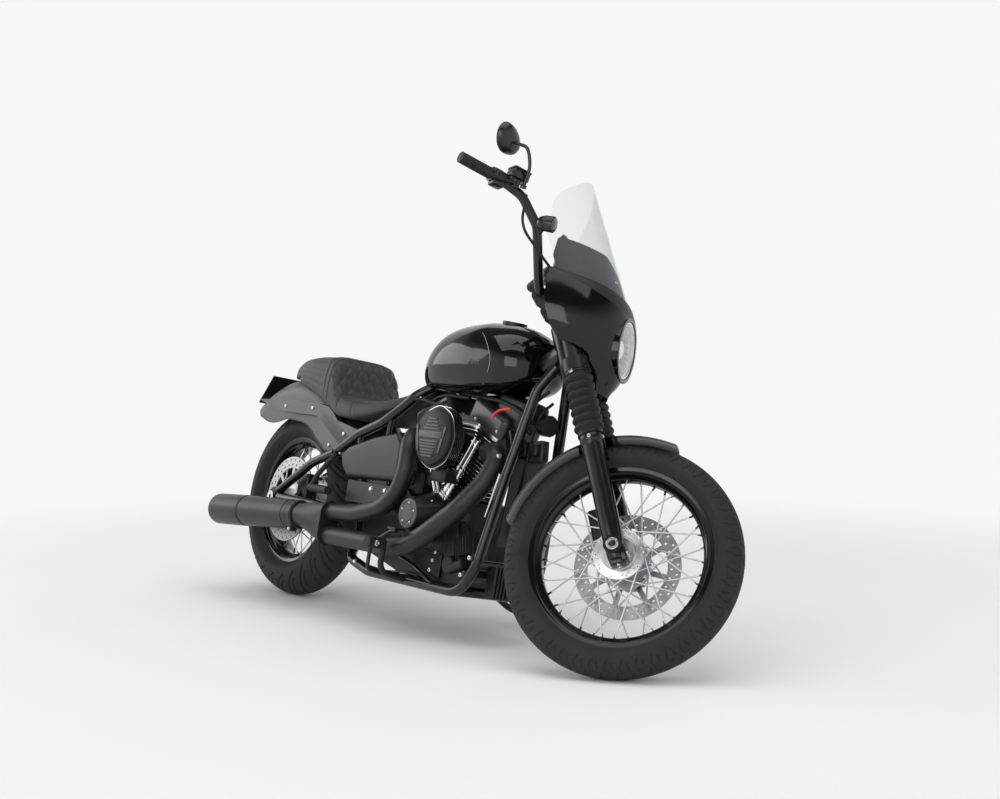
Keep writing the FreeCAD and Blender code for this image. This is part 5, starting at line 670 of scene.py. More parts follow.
for name, finish in nodeFinish.items():
    nodes[name].data.materials.clear()
    nodes[name].data.materials.append(materials[finish])

eased = {
    # finish, bevel in millimetres, body, slot
    "lower_clamp": ("satinBlack", 1.5, "front_end", "satin_black"),
    "front_caliper": ("plasticBlack", 1.2, "front_end", "caliper_black"),
    "rear_caliper": ("plasticBlack", 1.2, "chassis", "caliper_black"),
    "rocker_cover_front": ("coverGrey", 1.0, "chassis", "dark_grey"),
    "rocker_cover_rear": ("coverGrey", 1.0, "chassis", "dark_grey"),
    "cam_cover": ("satinBlack", 1.5, "chassis", "satin_black"),
    "primary_cover": ("satinBlack", 1.5, "chassis", "satin_black"),
    "side_covers": ("satinBlack", 1.2, "chassis", "satin_black"),
    "electrics_box": ("plasticBlack", 2.5, "chassis", "plastic_black"),
    "front_panel": ("satinBlack", 1.5, "chassis", "satin_black"),
    "plate_holder": ("satinBlack", 1.0, "chassis", "satin_black"),
    "fender_struts": ("satinGrey", 3.0, "chassis", "dark_grey"),
}
for name, (finish, width, body, slotName) in eased.items():
    mesh = nodes[name].data.copy()
    shell = bmesh.new()
    shell.from_mesh(mesh)
    bmesh.ops.remove_doubles(shell, verts=shell.verts, dist=1e-5)
    bmesh.ops.dissolve_limit(shell, angle_limit=math.radians(1.0), verts=shell.verts, edges=shell.edges)
    shell.to_mesh(mesh)
    shell.free()
    piece = dress(name + "_eased", mesh, finish, body, (name,))
    edge = piece.modifiers.new("edge", "BEVEL")
    edge.width, edge.segments, edge.limit_method, edge.angle_limit = width * 0.001, 2, "ANGLE", math.radians(38)
    mesh.shade_smooth()
    mesh.set_sharp_from_angle(angle=math.radians(36))
print("nodes dressed")


# Wheels: tyres with cut grooves, rolled rims, spoke nipples and heads, hub faces.

tyreShapes = {
    "front": {
        "place": forkPlace, "body": "front_wheel", "centre": frontAxle, "radius": 331.0, "half": 50.0,
        "flange": 255.0, "rimHalf": 36.0, "around": 760, "blocks": 46, "deep": 2.6, "wide": 2.0,
        "cuts": [((0, 27), (-7, 46)), ((-7, 46), (3, 69)), ((0, 27), (13, 32)), ((19, 40), (14, 60)),
                 ((20, 6), (30, 18)), ((30, 18), (31, 30))],
    },
    "rear": {
        "place": mainPlace, "body": "rear_wheel", "centre": rearAxle, "radius": 323.0, "half": 75.0,
        "flange": 217.0, "rimHalf": 51.0, "around": 700, "blocks": 26, "deep": 4.4, "wide": 2.9,
        "cuts": [((0, 8), (12, 30)), ((12, 30), (31, 58)), ((31, 58), (58, 84)), ((58, 84), (92, 104)),
                 ((38, 20), (47, 42)), ((47, 42), (63, 62)), ((66, 66), (88, 80))],
    },
}


def cutDistance(along, across, start, end):
    # distance of each point from a straight cut
    step = np.subtract(end, start).astype(float)
    share = np.clip(((along - start[0]) * step[0] + (across - start[1]) * step[1]) / (step @ step), 0.0, 1.0)
    return np.hypot(along - start[0] - share * step[0], across - start[1] - share * step[1])


def makeTyre(name, shape):
    # section: a round crown, then a wall that bulges and runs in to the rim; the grooves sink along its normal
    radius, half = shape["radius"], shape["half"]
    crown = np.linspace(0.0, np.pi / 2, 44)
    share = np.linspace(0.0, 1.0, 18)[1:]
    drop = radius - half - shape["flange"]
    wallRise = (radius - half) - drop * (0.75 * share + 0.25 * share ** 3)
    wallSide = half - (half - shape["rimHalf"] - 1.0) * share ** 2.2
    rise = np.concatenate([radius - half + half * np.cos(crown), wallRise])
    side = np.concatenate([half * np.sin(crown), wallSide])
    rise, side = np.append(rise, shape["flange"] - 3.0), np.append(side, shape["rimHalf"] - 5.0)
    length = lengthAlong(np.column_stack([rise, side]))
    outward = unit(np.stack([np.gradient(side, length), -np.gradient(rise, length)], axis=-1))
    rise, side = np.concatenate([rise[:0:-1], rise]), np.concatenate([-side[:0:-1], side])
    length = np.concatenate([-length[:0:-1], length])
    outward = np.concatenate([outward[:0:-1] * (1, -1), outward])
    angle = turns(shape["around"])
    pitch = 2 * np.pi * radius / shape["blocks"]
    across = np.abs(length)[None, :]
    along = (angle[:, None] * radius + np.where(length > 0, pitch / 2, 0.0)[None, :]) % pitch
    nearest = np.full((shape["around"], len(length)), 99.0)
    for start, end in shape["cuts"]:
        for wrap in (-1, 0, 1, 2):
            nearest = np.minimum(nearest, cutDistance(along + wrap * pitch, across, start, end))
    depth = shape["deep"] * np.clip(1.6 * (1 - nearest / shape["wide"]), 0.0, 1.0)
    edge = half * np.pi / 2
    for place, height in ((edge + 4, 0.5), (edge + 20, 0.4), (edge - 6, -0.5)):
        # moulded ribs and a groove round the wall
        depth = depth - height * np.exp(-((across - place) / 1.3) ** 2)
    depth = np.where(across > edge + drop * 0.92, 0.0, depth)
    points = roundAxle(shape["centre"], angle, rise - outward[:, 0] * depth, side - outward[:, 1] * depth)
    form = Form().ring(shape["place"], points)
    makePiece(name + "_tread", form, "tyreRubber", shape["body"], (name + "_tyre",), crease=50)


makeTyre("front", tyreShapes["front"])
makeTyre("rear", tyreShapes["rear"])

rimShapes = {
    "front": {"place": forkPlace, "body": "front_wheel", "centre": frontAxle, "flange": 255.0, "bead": 243.0,
              "half": 36.0, "depth": 16.0},
    "rear": {"place": mainPlace, "body": "rear_wheel", "centre": rearAxle, "flange": 217.0, "bead": 205.0,
             "half": 51.0, "depth": 16.0},
}


def makeRim(name, shape):
    # a rolled section: beaded lip, bead seat, sloped step and dropped centre, carried round the axle
    flange, bead, half, depth = shape["flange"], shape["bead"], shape["half"], shape["depth"]
    well = bead - depth
    outer = [(flange, half - 5.5), (flange + 1.4, half - 4.0), (flange + 1.6, half - 1.6), (flange, half),
             (flange - 2.4, half + 0.4), (flange - 4.0, half - 1.0), (bead + 2.0, half - 2.2),
             (bead - 2.5, half - 4.0), (bead - 4.4, half - 7.5), (bead - 4.6, 0.78 * half),
             (bead - 6.2, 0.70 * half), (well - 1.5, 0.50 * half), (well - 4.0, 0.40 * half),
             (well - 4.4, 0.22 * half)]
    inner = [(well, 0.20 * half), (well, 0.40 * half), (bead - 2.0, 0.68 * half), (bead, 0.74 * half),
             (bead, half - 8.0), (bead + 3.0, half - 6.0)]
    section = outer + [(across, -along) for across, along in reversed(outer)]
    section += [(across, -along) for across, along in inner] + list(reversed(inner))
    reach, aside = np.array(section).T
    form = Form().ring(shape["place"], roundAxle(shape["centre"], turns(180), reach, aside))
    piece = makePiece(name + "_rim_rolled", form, "glossBlack", shape["body"],
                      (name + "_rim",), crease=60)
    rounding = piece.modifiers.new("rounding", "SUBSURF")
    rounding.levels = rounding.render_levels = 1


makeRim("front", rimShapes["front"])
makeRim("rear", rimShapes["rear"])

lacing = {
    "count": 40, "wire": 2.2, "swing": 1.625, "flangeThick": 7.0, "outerFoot": 6.4, "innerFoot": 3.6,
    "nippleLong": 10.0, "nippleRound": 3.3, "head": [(4.4, -0.5), (4.4, 0.8), (3.0, 2.0), (1.2, 2.5)],
    "front": {"flange": 71.5, "half": 48.0, "rim": 223.0}, "rear": {"flange": 78.0, "half": 58.0, "rim": 185.0},
}


def makeLacing(name, shape, settings):
    # for each spoke a tapered nipple at the rim and a domed head on the flange's outer or inner face
    nipples, heads = Form(), Form()
    quarter = lacing["count"] // 4
    step = 2 * math.pi / quarter
    wire, hole, rim = lacing["wire"], settings["flange"] - 2.5 * lacing["wire"], settings["rim"]
    centre, place = shape["centre"], shape["place"]
    long, wide = lacing["nippleLong"], lacing["nippleRound"]
    nipple = [(2.3, -long), (wide * 0.8, -long + 1.0), (wide * 0.8, -3.0), (wide, -2.0), (wide * 1.15, 3.0)]
    for side in (1, -1):
        for lead in (1, -1):
            outer = lead > 0
            wall = settings["half"] if outer else settings["half"] - lacing["flangeThick"]
            face = wall - 0.5 * wire if outer else wall + 0.5 * wire
            foot = (lacing["outerFoot"] if outer else lacing["innerFoot"]) * wire
            for index in range(quarter):
                near = step * index + (step / 2 if side < 0 else 0.0) + (0.0 if outer else step / 2)
                far = near + lead * lacing["swing"] * step
                start = np.array([hole * math.cos(near), side * face, -hole * math.sin(near)])
                end = np.array([rim * math.cos(far), side * foot, -rim * math.sin(far)])
                nipples.solid(place, turned(nipple, centre + end, unit(end - start), 10))
                head = np.array([start[0], side * (wall - (0.0 if outer else wire)), start[2]])
                heads.solid(place, turned(lacing["head"], centre + head, left * side * lead, 12))
    makePiece(name + "_nipples", nipples, "satinBlack", shape["body"])
    makePiece(name + "_spoke_heads", heads, "spokeSteel", shape["body"])


makeLacing("front", rimShapes["front"], lacing["front"])
makeLacing("rear", rimShapes["rear"], lacing["rear"])

hubFace = {"side": -1, "face": 48.0, "outer": 71.0, "ring": 61.0, "inner": 36.0, "high": 6.0, "dimples": 20}


def makeHubFace():
    # turned rings on the front flange's face, with a circle of countersunk dimples
    place, centre, axis = forkPlace, frontAxle, left * hubFace["side"]
    face, high, inner, ring, outer = (hubFace[key] for key in ("face", "high", "inner", "ring", "outer"))
    form = Form()
    profile = [(inner, -2.0), (inner, high), (inner + 3, high + 1.0), (inner + 9, high + 0.6),
               (inner + 12, high * 0.45), (ring - 8, high * 0.4), (ring - 6, 1.6), (outer - 3, 1.4),
               (outer, 0.4), (outer, -2.0)]
    form.ring(place, turned(profile, centre + axis * face, axis, 96))
    for angle in turns(hubFace["dimples"]) + 0.16:
        spot = centre + axis * (face + 1.2) + ring * (math.cos(angle) * ahead + math.sin(angle) * up)
        dimple = [(2.2, 0.0), (2.4, 0.9), (3.4, 1.0), (4.0, 0.6), (4.2, 0.0)]
        form.ring(place, turned(dimple, spot, axis, 14))
    makePiece("front_hub_face", form, "castAlloy", "front_wheel")


makeHubFace()
print("wheels made")


# Seat: one moulded cover with a quilted face, sewn channels on the pillion and seams.

seat = {
    "tail": -95.0, "long": 800.0, "half": 134.0, "rows": 300, "columns": 260, "fender": 415.0, "fenderAt": 330.0,
    "levels": [(0, .46, 742, 768), (.05, .68, 730, 790), (.135, .84, 715, 812), (.235, .94, 700, 822),
               (.34, .98, 672, 825), (.40, 1, 650, 822), (.435, 1, 638, 786), (.475, 1, 628, 712), (.52, 1, 620, 692),
               (.62, .97, 620, 684), (.76, .86, 640, 690), (.88, .66, 672, 714), (.97, .46, 704, 738),
               (1, .36, 716, 740)],
    "ring": [(0, 1), (.55, .99), (.86, .90), (.97, .66), (1, .35), (.97, .08), (.80, 0), (0, 0)],
    "diamondWide": 46.0, "diamondHigh": 66.0, "puff": 6.4, "channel": 21.0, "channelDeep": 2.2,
    # seams across: the level they lie at, and how far they sink
    "seams": [(0.75, 1.8), (4.55, 2.0), (8.9, 1.6), (11.2, 1.4)],
    "fenderHalf": 109.0, "undersideTop": 750.0,
}


def makeSeat():
    # loft through the levels; then puffs between crossing stitch lines, channels along the pillion, seams
    # and a piping, all along the surface's own outward direction
    rows = np.array(seat["levels"])
    ring = np.array(seat["ring"] + [(-across, high) for across, high in reversed(seat["ring"][1:-1])])
    along = seat["tail"] + seat["long"] * rows[:, 0]
    base, top = rows[:, 2], rows[:, 3]
    corners = np.stack([np.repeat(along[:, None], len(ring), axis=1),
                        rows[:, 1:2] * seat["half"] * ring[None, :, 0],
                        base[:, None] + (top - base)[:, None] * ring[None, :, 1]], axis=-1)
    lengthwise = splineWeights(len(rows), seat["rows"])
    roundwise = splineWeights(len(ring), seat["columns"], True)
    points = np.einsum("ij,jkc,lk->ilc", lengthwise, corners, roundwise)
    level = np.linspace(0.0, len(rows) - 1.0, seat["rows"])[:, None]
    turn = np.linspace(0.0, len(ring), seat["columns"], endpoint=False)[None, :]
    turn = np.minimum(turn, len(ring) - turn)
    tangent = unit(np.gradient(points, axis=0) + 1e-9)
    around = unit(np.roll(points, -1, axis=1) - np.roll(points, 1, axis=1) + 1e-9)
    outward = unit(np.cross(tangent, around))
    middle = points.mean(axis=1, keepdims=True)
    outward *= np.sign((outward * (points - middle)).sum(axis=-1, keepdims=True) + 1e-9)
    # quilt: puffs between two families of slanting lines on the rider's back rest
    high, side = points[..., 2], points[..., 1]
    first = side / seat["diamondWide"] + (high - 700.0) / seat["diamondHigh"]
    second = side / seat["diamondWide"] - (high - 700.0) / seat["diamondHigh"]
    quilt = (np.abs(np.sin(np.pi * first)) * np.abs(np.sin(np.pi * second))) ** 0.5
    face = softBox(level, 5.25, 7.35, 0.18) * softBox(turn, -1.0, 3.35, 0.25)
    height = face * (seat["puff"] * quilt - 2.4)
    # channels: waves of the distance from the pillion's middle line
    arc = lengthAlong(points[60])
    arc = np.minimum(arc, arc[-1] - arc)[None, :]
    waves = np.abs(np.sin(np.pi * (arc - 8.0) / seat["channel"])) ** 0.45 - 1.0
    height += seat["channelDeep"] * waves * softBox(level, 0.9, 4.3, 0.2) * softBox(turn, -1.0, 4.6, 0.3)
    for place, sunk in seat["seams"]:
        height -= sunk * np.exp(-((level - place) / 0.045) ** 2) * softBox(turn, -1.0, 5.2, 0.3)
    # the piping over the step, the seam round the lower edge and the crease under the quilt
    height += 2.2 * np.exp(-((level - 5.08) / 0.07) ** 2) * softBox(turn, -1.0, 4.9, 0.3)
    height -= 1.5 * np.exp(-((turn - 4.75) / 0.05) ** 2) * softBox(level, 0.4, 12.5, 0.3)
    height -= 2.4 * np.exp(-((level - 7.55) / 0.12) ** 2) * softBox(turn, -1.0, 4.2, 0.3)
    points = points + outward * height[..., None]
    # the underside follows the fender
    fender = seat["fenderAt"] + np.sqrt(np.maximum(seat["fender"] ** 2 - points[..., 0] ** 2, 0.0))
    lifted = np.maximum(points[..., 2], np.minimum(fender, seat["undersideTop"]))
    points[..., 2] = np.where(np.abs(points[..., 1]) < seat["fenderHalf"], lifted, points[..., 2])
    form = Form().solid(mainPlace, points)
    piece = makePiece("seat_cover", form, "coverHide", "chassis", ("seat",), crease=80)


makeSeat()

stitches = {"levels": (4.43, 8.78, 9.02, 11.08), "pitch": 6.0, "long": 3.6, "round": 0.75, "lift": 0.4}


def makeStitches():
    # short threads in a row beside the seams across the pillion and the rider's part; each dives in at its ends
    rows = np.array(seat["levels"])
    ring = np.array(seat["ring"])
    form = Form()
    for level in stitches["levels"]:
        weights = splineWeights(len(rows), 100 * len(rows) - 99)[int(round(level * 100))]
        across, low, high = weights @ rows[:, 1], weights @ rows[:, 2], weights @ rows[:, 3]
        along = seat["tail"] + seat["long"] * (weights @ rows[:, 0])
        line = splineWeights(len(ring), 400) @ ring
        line = np.concatenate([line[:0:-1] * (-1, 1), line])
        line = np.stack([np.full(len(line), along), line[:, 0] * across * seat["half"],
                         low + (high - low) * line[:, 1]], axis=-1)
        line = line[line[:, 2] > low + 0.3 * (high - low)]
        length = lengthAlong(line)
        for start in np.arange(4.0, length[-1] - 4.0, stitches["pitch"]):
            first, last = (np.array([np.interp(start + step, length, line[:, axis]) for axis in range(3)])
                           for step in (0.0, stitches["long"]))
            lift = unit(np.cross(last - first, ahead)) * stitches["lift"]
            lift *= np.sign(lift[2] + 1e-6 if abs(lift[2]) > 0.05 else lift[1] * first[1])
            path = np.array([first - lift * 2, first + lift, last + lift, last - lift * 2])
            form.solid(mainPlace, alongPath(path, stitches["round"], 5))
    makePiece("seat_stitches", form, "thread", "chassis")


makeStitches()
print("seat made")


# Fork: gaiters and their bands, slider legs, clamp feet, bolts and the axle's rings.

fork = {"spread": 105.0, "sliderTop": 334.0, "gaiterTop": 527.0, "ridges": 7, "outer": 42.0, "inner": 33.5}


def leg(height, side, forward=0.0, aside=0.0):
    # a point of a fork leg: height along the leg from the axle's level
    return frontAxle + forkUp * height + forkAhead * forward + left * (side * fork["spread"] + aside)


def makeGaiters():
    # bellows: the radius swings between ridge and root, cuffs at both ends
    lowEnd, highEnd = fork["sliderTop"], fork["gaiterTop"]
    share = np.linspace(0.0, 1.0, fork["ridges"] * 14 + 1)
    wave = 0.5 - 0.5 * np.cos(2 * np.pi * fork["ridges"] * share)
    radius = fork["inner"] + (fork["outer"] - fork["inner"]) * wave ** 0.7 * (1 - 0.10 * share)
    height = lowEnd + 9 + (highEnd - lowEnd - 18) * share
    low = [(29.5, lowEnd - 6), (33.5, lowEnd - 5), (35.0, lowEnd + 4)]
    high = [(35.0, highEnd - 6), (34.0, highEnd), (26.0, highEnd + 0.5)]
    profile = np.concatenate([low, np.column_stack([radius, height]), high])
    form = Form()
    for side in (1, -1):
        form.solid(forkPlace, turned(profile, leg(0, side), forkUp, 56))
    makePiece("fork_bellows", form, "gaiterRubber", "front_end", ("fork_gaiters",), crease=55)
    bands = Form()
    for side in (1, -1):
        for height, radius in ((lowEnd - 1, 34.6), (highEnd - 3, 35.2)):
            strip = [(radius, -3.2), (radius + 1.2, -2.8), (radius + 1.2, 2.8), (radius, 3.2)]
            bands.ring(forkPlace, turned(strip, leg(height, side), forkUp, 56))
            boltHead(bands, forkPlace, leg(height, side, 36.5, 0.0), unit(forkAhead * 0.2 - left), 3.2, "hex")
    makePiece("gaiter_bands", bands, "satinBlack", "front_end")


makeGaiters()


def makeSliders():
    # turned legs: collar under the gaiter, long barrel, axle boss and a clamp foot
    form = Form()
    for side in (1, -1):
        profile = [(20.0, 331), (31.5, 330), (33.0, 327), (33.0, 312), (31.0, 308), (29.4, 304), (29.0, 296),
                   (29.0, 70), (28.4, 40), (27.0, 10), (25.5, -20), (24.5, -34), (21.0, -40), (12.0, -42)]
        form.solid(forkPlace, turned(profile, leg(0, side), forkUp, 64))
        boss = [(14.0, -30.5), (24.0, -30.5), (26.0, -28.0), (26.0, 28.0), (24.0, 30.5), (14.0, 30.5)]
        form.ring(forkPlace, turned(boss, leg(0, side), left, 48))
    makePiece("slider_legs", form, "legBlack", "front_end", ("fork_sliders",), crease=40)
    feet, bolts, rings = Form(), Form(), Form()
    for side in (1, -1):
        turn = np.array([forkAhead, left, forkUp])
        roundedBox(feet, forkPlace, leg(-43, side), (40, 46, 22), 0.32, turn)
        roundedBox(feet, forkPlace, leg(-26, side, 22), (16, 44, 44), 0.32, turn)
        for aside in (-12.0, 12.0):
            boltHead(bolts, forkPlace, leg(-54, side, 2, aside), -forkUp, 5.0)
            boltHead(bolts, forkPlace, leg(-30, side, 30.5, aside), forkAhead, 5.0)
        out = left * side
        ring = [(9.0, -4.0), (9.0, 1.0), (10.0, 2.4), (15.5, 2.4), (17.0, 1.0), (17.0, -4.0)]
        rings.ring(forkPlace, turned(ring, leg(0, side) + out * 31.0, out, 48))
        well = [(9.0, -3.0), (9.0, -14.0)]
        feet.dish(forkPlace, turned(well, leg(0, side) + out * 31.0, out, 24))
        boltHead(bolts, forkPlace, leg(318, side, 0.0, side * 33.0), out, 5.5)
    makePiece("slider_feet", feet, "legBlack", "front_end")
    makePiece("slider_bolts", bolts, "zincSteel", "front_end")
    makePiece("axle_rings", rings, "machined", "front_end")


makeSliders()


# Grips and mirrors.

grips = {
    "inner": (1008.0, 300.0, 1246.0), "outer": (929.0, 400.0, 1236.0), "long": 115.0, "radius": 17.6, "ribs": 22,
}


def makeGrips():
    # a moulded sleeve with shallow rings, a flange inboard and a rounded end
    form, ends = Form(), Form()
    for side in (1, -1):
        start, end = (np.array(grips[key]) * (1, side, 1) for key in ("inner", "outer"))
        axis = unit(end - start)
        begin = end - axis * grips["long"]
        share = np.linspace(0.0, 1.0, grips["ribs"] * 6 + 1)
        ripple = 0.6 * np.abs(np.sin(np.pi * grips["ribs"] * share)) ** 0.5 * softBox(share, 0.06, 0.94, 0.03)
        radius = grips["radius"] - 1.0 + ripple + 1.2 * np.exp(-(share / 0.03) ** 2)
        form.solid(forkPlace, turned(np.column_stack([radius, grips["long"] * share]), begin, axis, 48))
        plug = [(17.2, -0.5), (17.4, 1.0), (15.5, 2.6), (9.0, 3.0)]
        ends.solid(forkPlace, turned(plug, end, axis, 40))
    makePiece("grip_sleeves", form, "softRubber", "front_end", ("grips",), crease=50)
    makePiece("bar_ends", ends, "satinBlack", "front_end")


makeGrips()

mirrorShape = {
    "centre": (1003.0, 317.0, 1361.0), "turn": 28.0, "half": (52.0, 42.0),
    # the back: share of the outline and depth behind the rim
    "shell": [(0.93, 1.0), (0.955, -0.4), (1.0, 0.0), (1.01, 3.0), (0.985, 8.0), (0.91, 14.5), (0.78, 20.5),
              (0.60, 25.5), (0.38, 28.8), (0.16, 30.0)],
    "glass": [(0.94, 1.5), (0.93, 0.2), (0.90, 0.1), (0.5, 0.1)],
    "stem": [(1082, 268, 1244), (1088, 288, 1298), (1074, 314, 1342), (1046, 316, 1353), (1020, 316, 1357)],
    "collar": [(5.0, -4.0), (9.5, -3.0), (9.5, 6.0), (6.5, 8.0), (5.0, 8.2)],
    "boss": [(12.0, -10.0), (11.0, 0.0), (8.0, 6.0), (5.0, 9.0)],
}


def mirrorOutline(count=96):
    # a rounded kite: wide towards the outside, drawn down to a soft point inboard
    corners = np.array([(1.0, 0.30), (0.72, 0.86), (0.10, 0.98), (-0.52, 0.72), (-0.94, 0.20), (-1.0, -0.22),
                        (-0.74, -0.66), (-0.10, -0.98), (0.50, -0.86), (0.90, -0.34)])
    return splineWeights(len(corners), count, True) @ corners


def makeMirrors():
    # shell: the outline shrinks over a rounded back; glass: the outline itself, set in a rim
    outline = mirrorOutline()
    shells, glass = Form(), Form()
    for side in (1, -1):
        angle = math.radians(mirrorShape["turn"])
        back = unit([math.cos(angle), side * math.sin(angle) * 0.55, -0.10])
        outwards = unit(np.cross(back, up)) * -side
        upward = np.cross(outwards, back) * side
        upward *= np.sign(upward[2])
        centre = np.array(mirrorShape["centre"]) * (1, side, 1)
        wide, high = mirrorShape["half"]
        flat = outline[:, :1] * wide * outwards + outline[:, 1:] * high * upward
        for form, key in ((shells, "shell"), (glass, "glass")):
            rings = [centre + flat * share + back * depth for share, depth in mirrorShape[key]]
            form.solid(forkPlace, np.array(rings))
        stem = flowing(np.array(mirrorShape["stem"]) * (1, side, 1), 48)
        shells.solid(forkPlace, alongPath(stem, 5.2, 16))
        shells.solid(forkPlace, turned(mirrorShape["collar"], stem[0], unit(stem[1] - stem[0]), 24))
        shells.solid(forkPlace, turned(mirrorShape["boss"], stem[-1], unit(stem[-2] - stem[-1]), 24))
    makePiece("mirror_shells", shells, "mouldedBlack", "front_end", ("mirrors",), crease=45)
    makePiece("mirror_glass", glass, "mirrorGlass", "front_end")


makeMirrors()
print("fork, grips and mirrors made")


# Engine: finned barrels and heads, pushrod tubes, intake cover, covers' faces.

engine = {
    "crank": (905.0, 0.0, 300.0), "vee": 22.5, "base": 150.0, "deck": 315.0, "head": 48.0, "finHalf": 65.5,
    "core": 50.0, "fins": 13, "headFins": 4, "edge": 0.5, "corner": 0.42,
}


def cylinderAxes(side):
    # ahead, left and up as the leaning cylinder has them
    tilt = math.radians(engine["vee"]) * side
    return np.array([[math.cos(tilt), 0, -math.sin(tilt)], left, [math.sin(tilt), 0, math.cos(tilt)]])


def makeCylinder(name, side):
    # rounded squares stacked along the bore: the half width swings between core and fin; the fins' edges are bare
    axes, crank = cylinderAxes(side), np.array(engine["crank"])
    square = roundSquare(72, engine["corner"])
    base, deck, core, out = engine["base"], engine["deck"], engine["core"], engine["edge"]
    top = deck + engine["head"]
    levels, edges = [], []
    for low, high, count, half in ((base, deck, engine["fins"], engine["finHalf"] * 0.94),
                                   (deck, top, engine["headFins"], engine["finHalf"])):
        pitch = (high - low) / count
        for foot in low + pitch * np.arange(count):
            levels += [(foot, core), (foot + pitch * 0.55, core), (foot + pitch * 0.60, half - 1.5),
                       (foot + pitch * 0.66, half), (foot + pitch * 0.88, half), (foot + pitch * 0.94, half - 1.5),
                       (foot + pitch, core)]
            edges.append((foot + pitch * 0.77, half, pitch * 0.13))
    levels.append((top, core))
    form = Form().solid(mainPlace, crank + stacked(square, levels) @ axes)
    makePiece(name + "_finned", form, "castBlack", "chassis", (name,), crease=40)
    shine = Form()
    for height, half, thick in edges:
        band = [(height - thick, half - 1.0), (height - thick * 0.8, half + out), (height + thick * 0.8, half + out),
                (height + thick, half - 1.0)]
        shine.ring(mainPlace, crank + stacked(square, band) @ axes)
    band = [(top - 13.0, 60.0), (top - 12.5, 67.0), (top - 11.0, 68.0), (top - 1.0, 68.0), (top, 67.0), (top, 60.0)]
    shine.ring(mainPlace, crank + stacked(square, band) @ axes)
    makePiece(name + "_fin_edges", shine, "machined", "chassis")


makeCylinder("cylinder_front", 1)
makeCylinder("cylinder_rear", -1)

pushrods = {
    "foot": (925.0, -90.0, 426.0), "top": (1024.0, -86.0, 592.0), "apart": 20.0, "lower": 8.6, "upper": 6.8,
    "block": (48, 30, 26), "blockDown": 15.0, "screwsAt": 17.0,
}


def makePushrods():
    # telescoping tubes: a wider lower sleeve, a nut, a narrower upper sleeve and seals; two for each cylinder
    tubes, blocks, screws = Form(), Form(), Form()
    crank, low, high = engine["crank"][0], pushrods["lower"], pushrods["upper"]
    for side in (1, -1):
        foot, top = np.array(pushrods["foot"]), np.array(pushrods["top"])
        foot[0], top[0] = crank + side * (foot[0] - crank), crank + side * (top[0] - crank)
        axis = unit(top - foot)
        long = np.linalg.norm(top - foot)
        across = unit(np.cross(left, axis))
        profile = [(high, -4), (low + 3.0, -3), (low + 3.0, 4), (low + 1.0, 6), (low, 8), (low, long * 0.44),
                   (low + 2.4, long * 0.45), (low + 2.4, long * 0.52), (low + 0.8, long * 0.53),
                   (high, long * 0.55), (high, long - 14), (high + 2.6, long - 12), (high + 2.6, long - 4),
                   (high, long - 2), (high, long + 12)]
        for offset in (-0.5, 0.5):
            start = foot + across * (offset * pushrods["apart"] * side)
            tubes.solid(mainPlace, turned(profile, start, axis, 28))
        turn = np.array([across, np.cross(axis, across), axis])
        roundedBox(blocks, mainPlace, foot - axis * pushrods["blockDown"], pushrods["block"], 0.36, turn)
        for offset in (-1, 1):
            spot = foot - axis * 8 + across * offset * pushrods["screwsAt"] - left * pushrods["block"][1] / 2
            boltHead(screws, mainPlace, spot, -left, 4.2)
    makePiece("pushrod_sleeves", tubes, "chrome", "chassis", ("pushrod_tubes",))
    makePiece("lifter_blocks", blocks, "castAlloy", "chassis")
    makePiece("lifter_screws", screws, "zincSteel", "chassis")


makePushrods()

cleaner = {
    "centre": (922.0, -124.0, 588.0), "radius": 94.0, "ribs": 6, "ribsDeep": 38.0, "sides": 96,
    "throatAt": 905.0, "bar": (118, 20, 9), "slats": 6, "drain": (934, -112, 478),
}


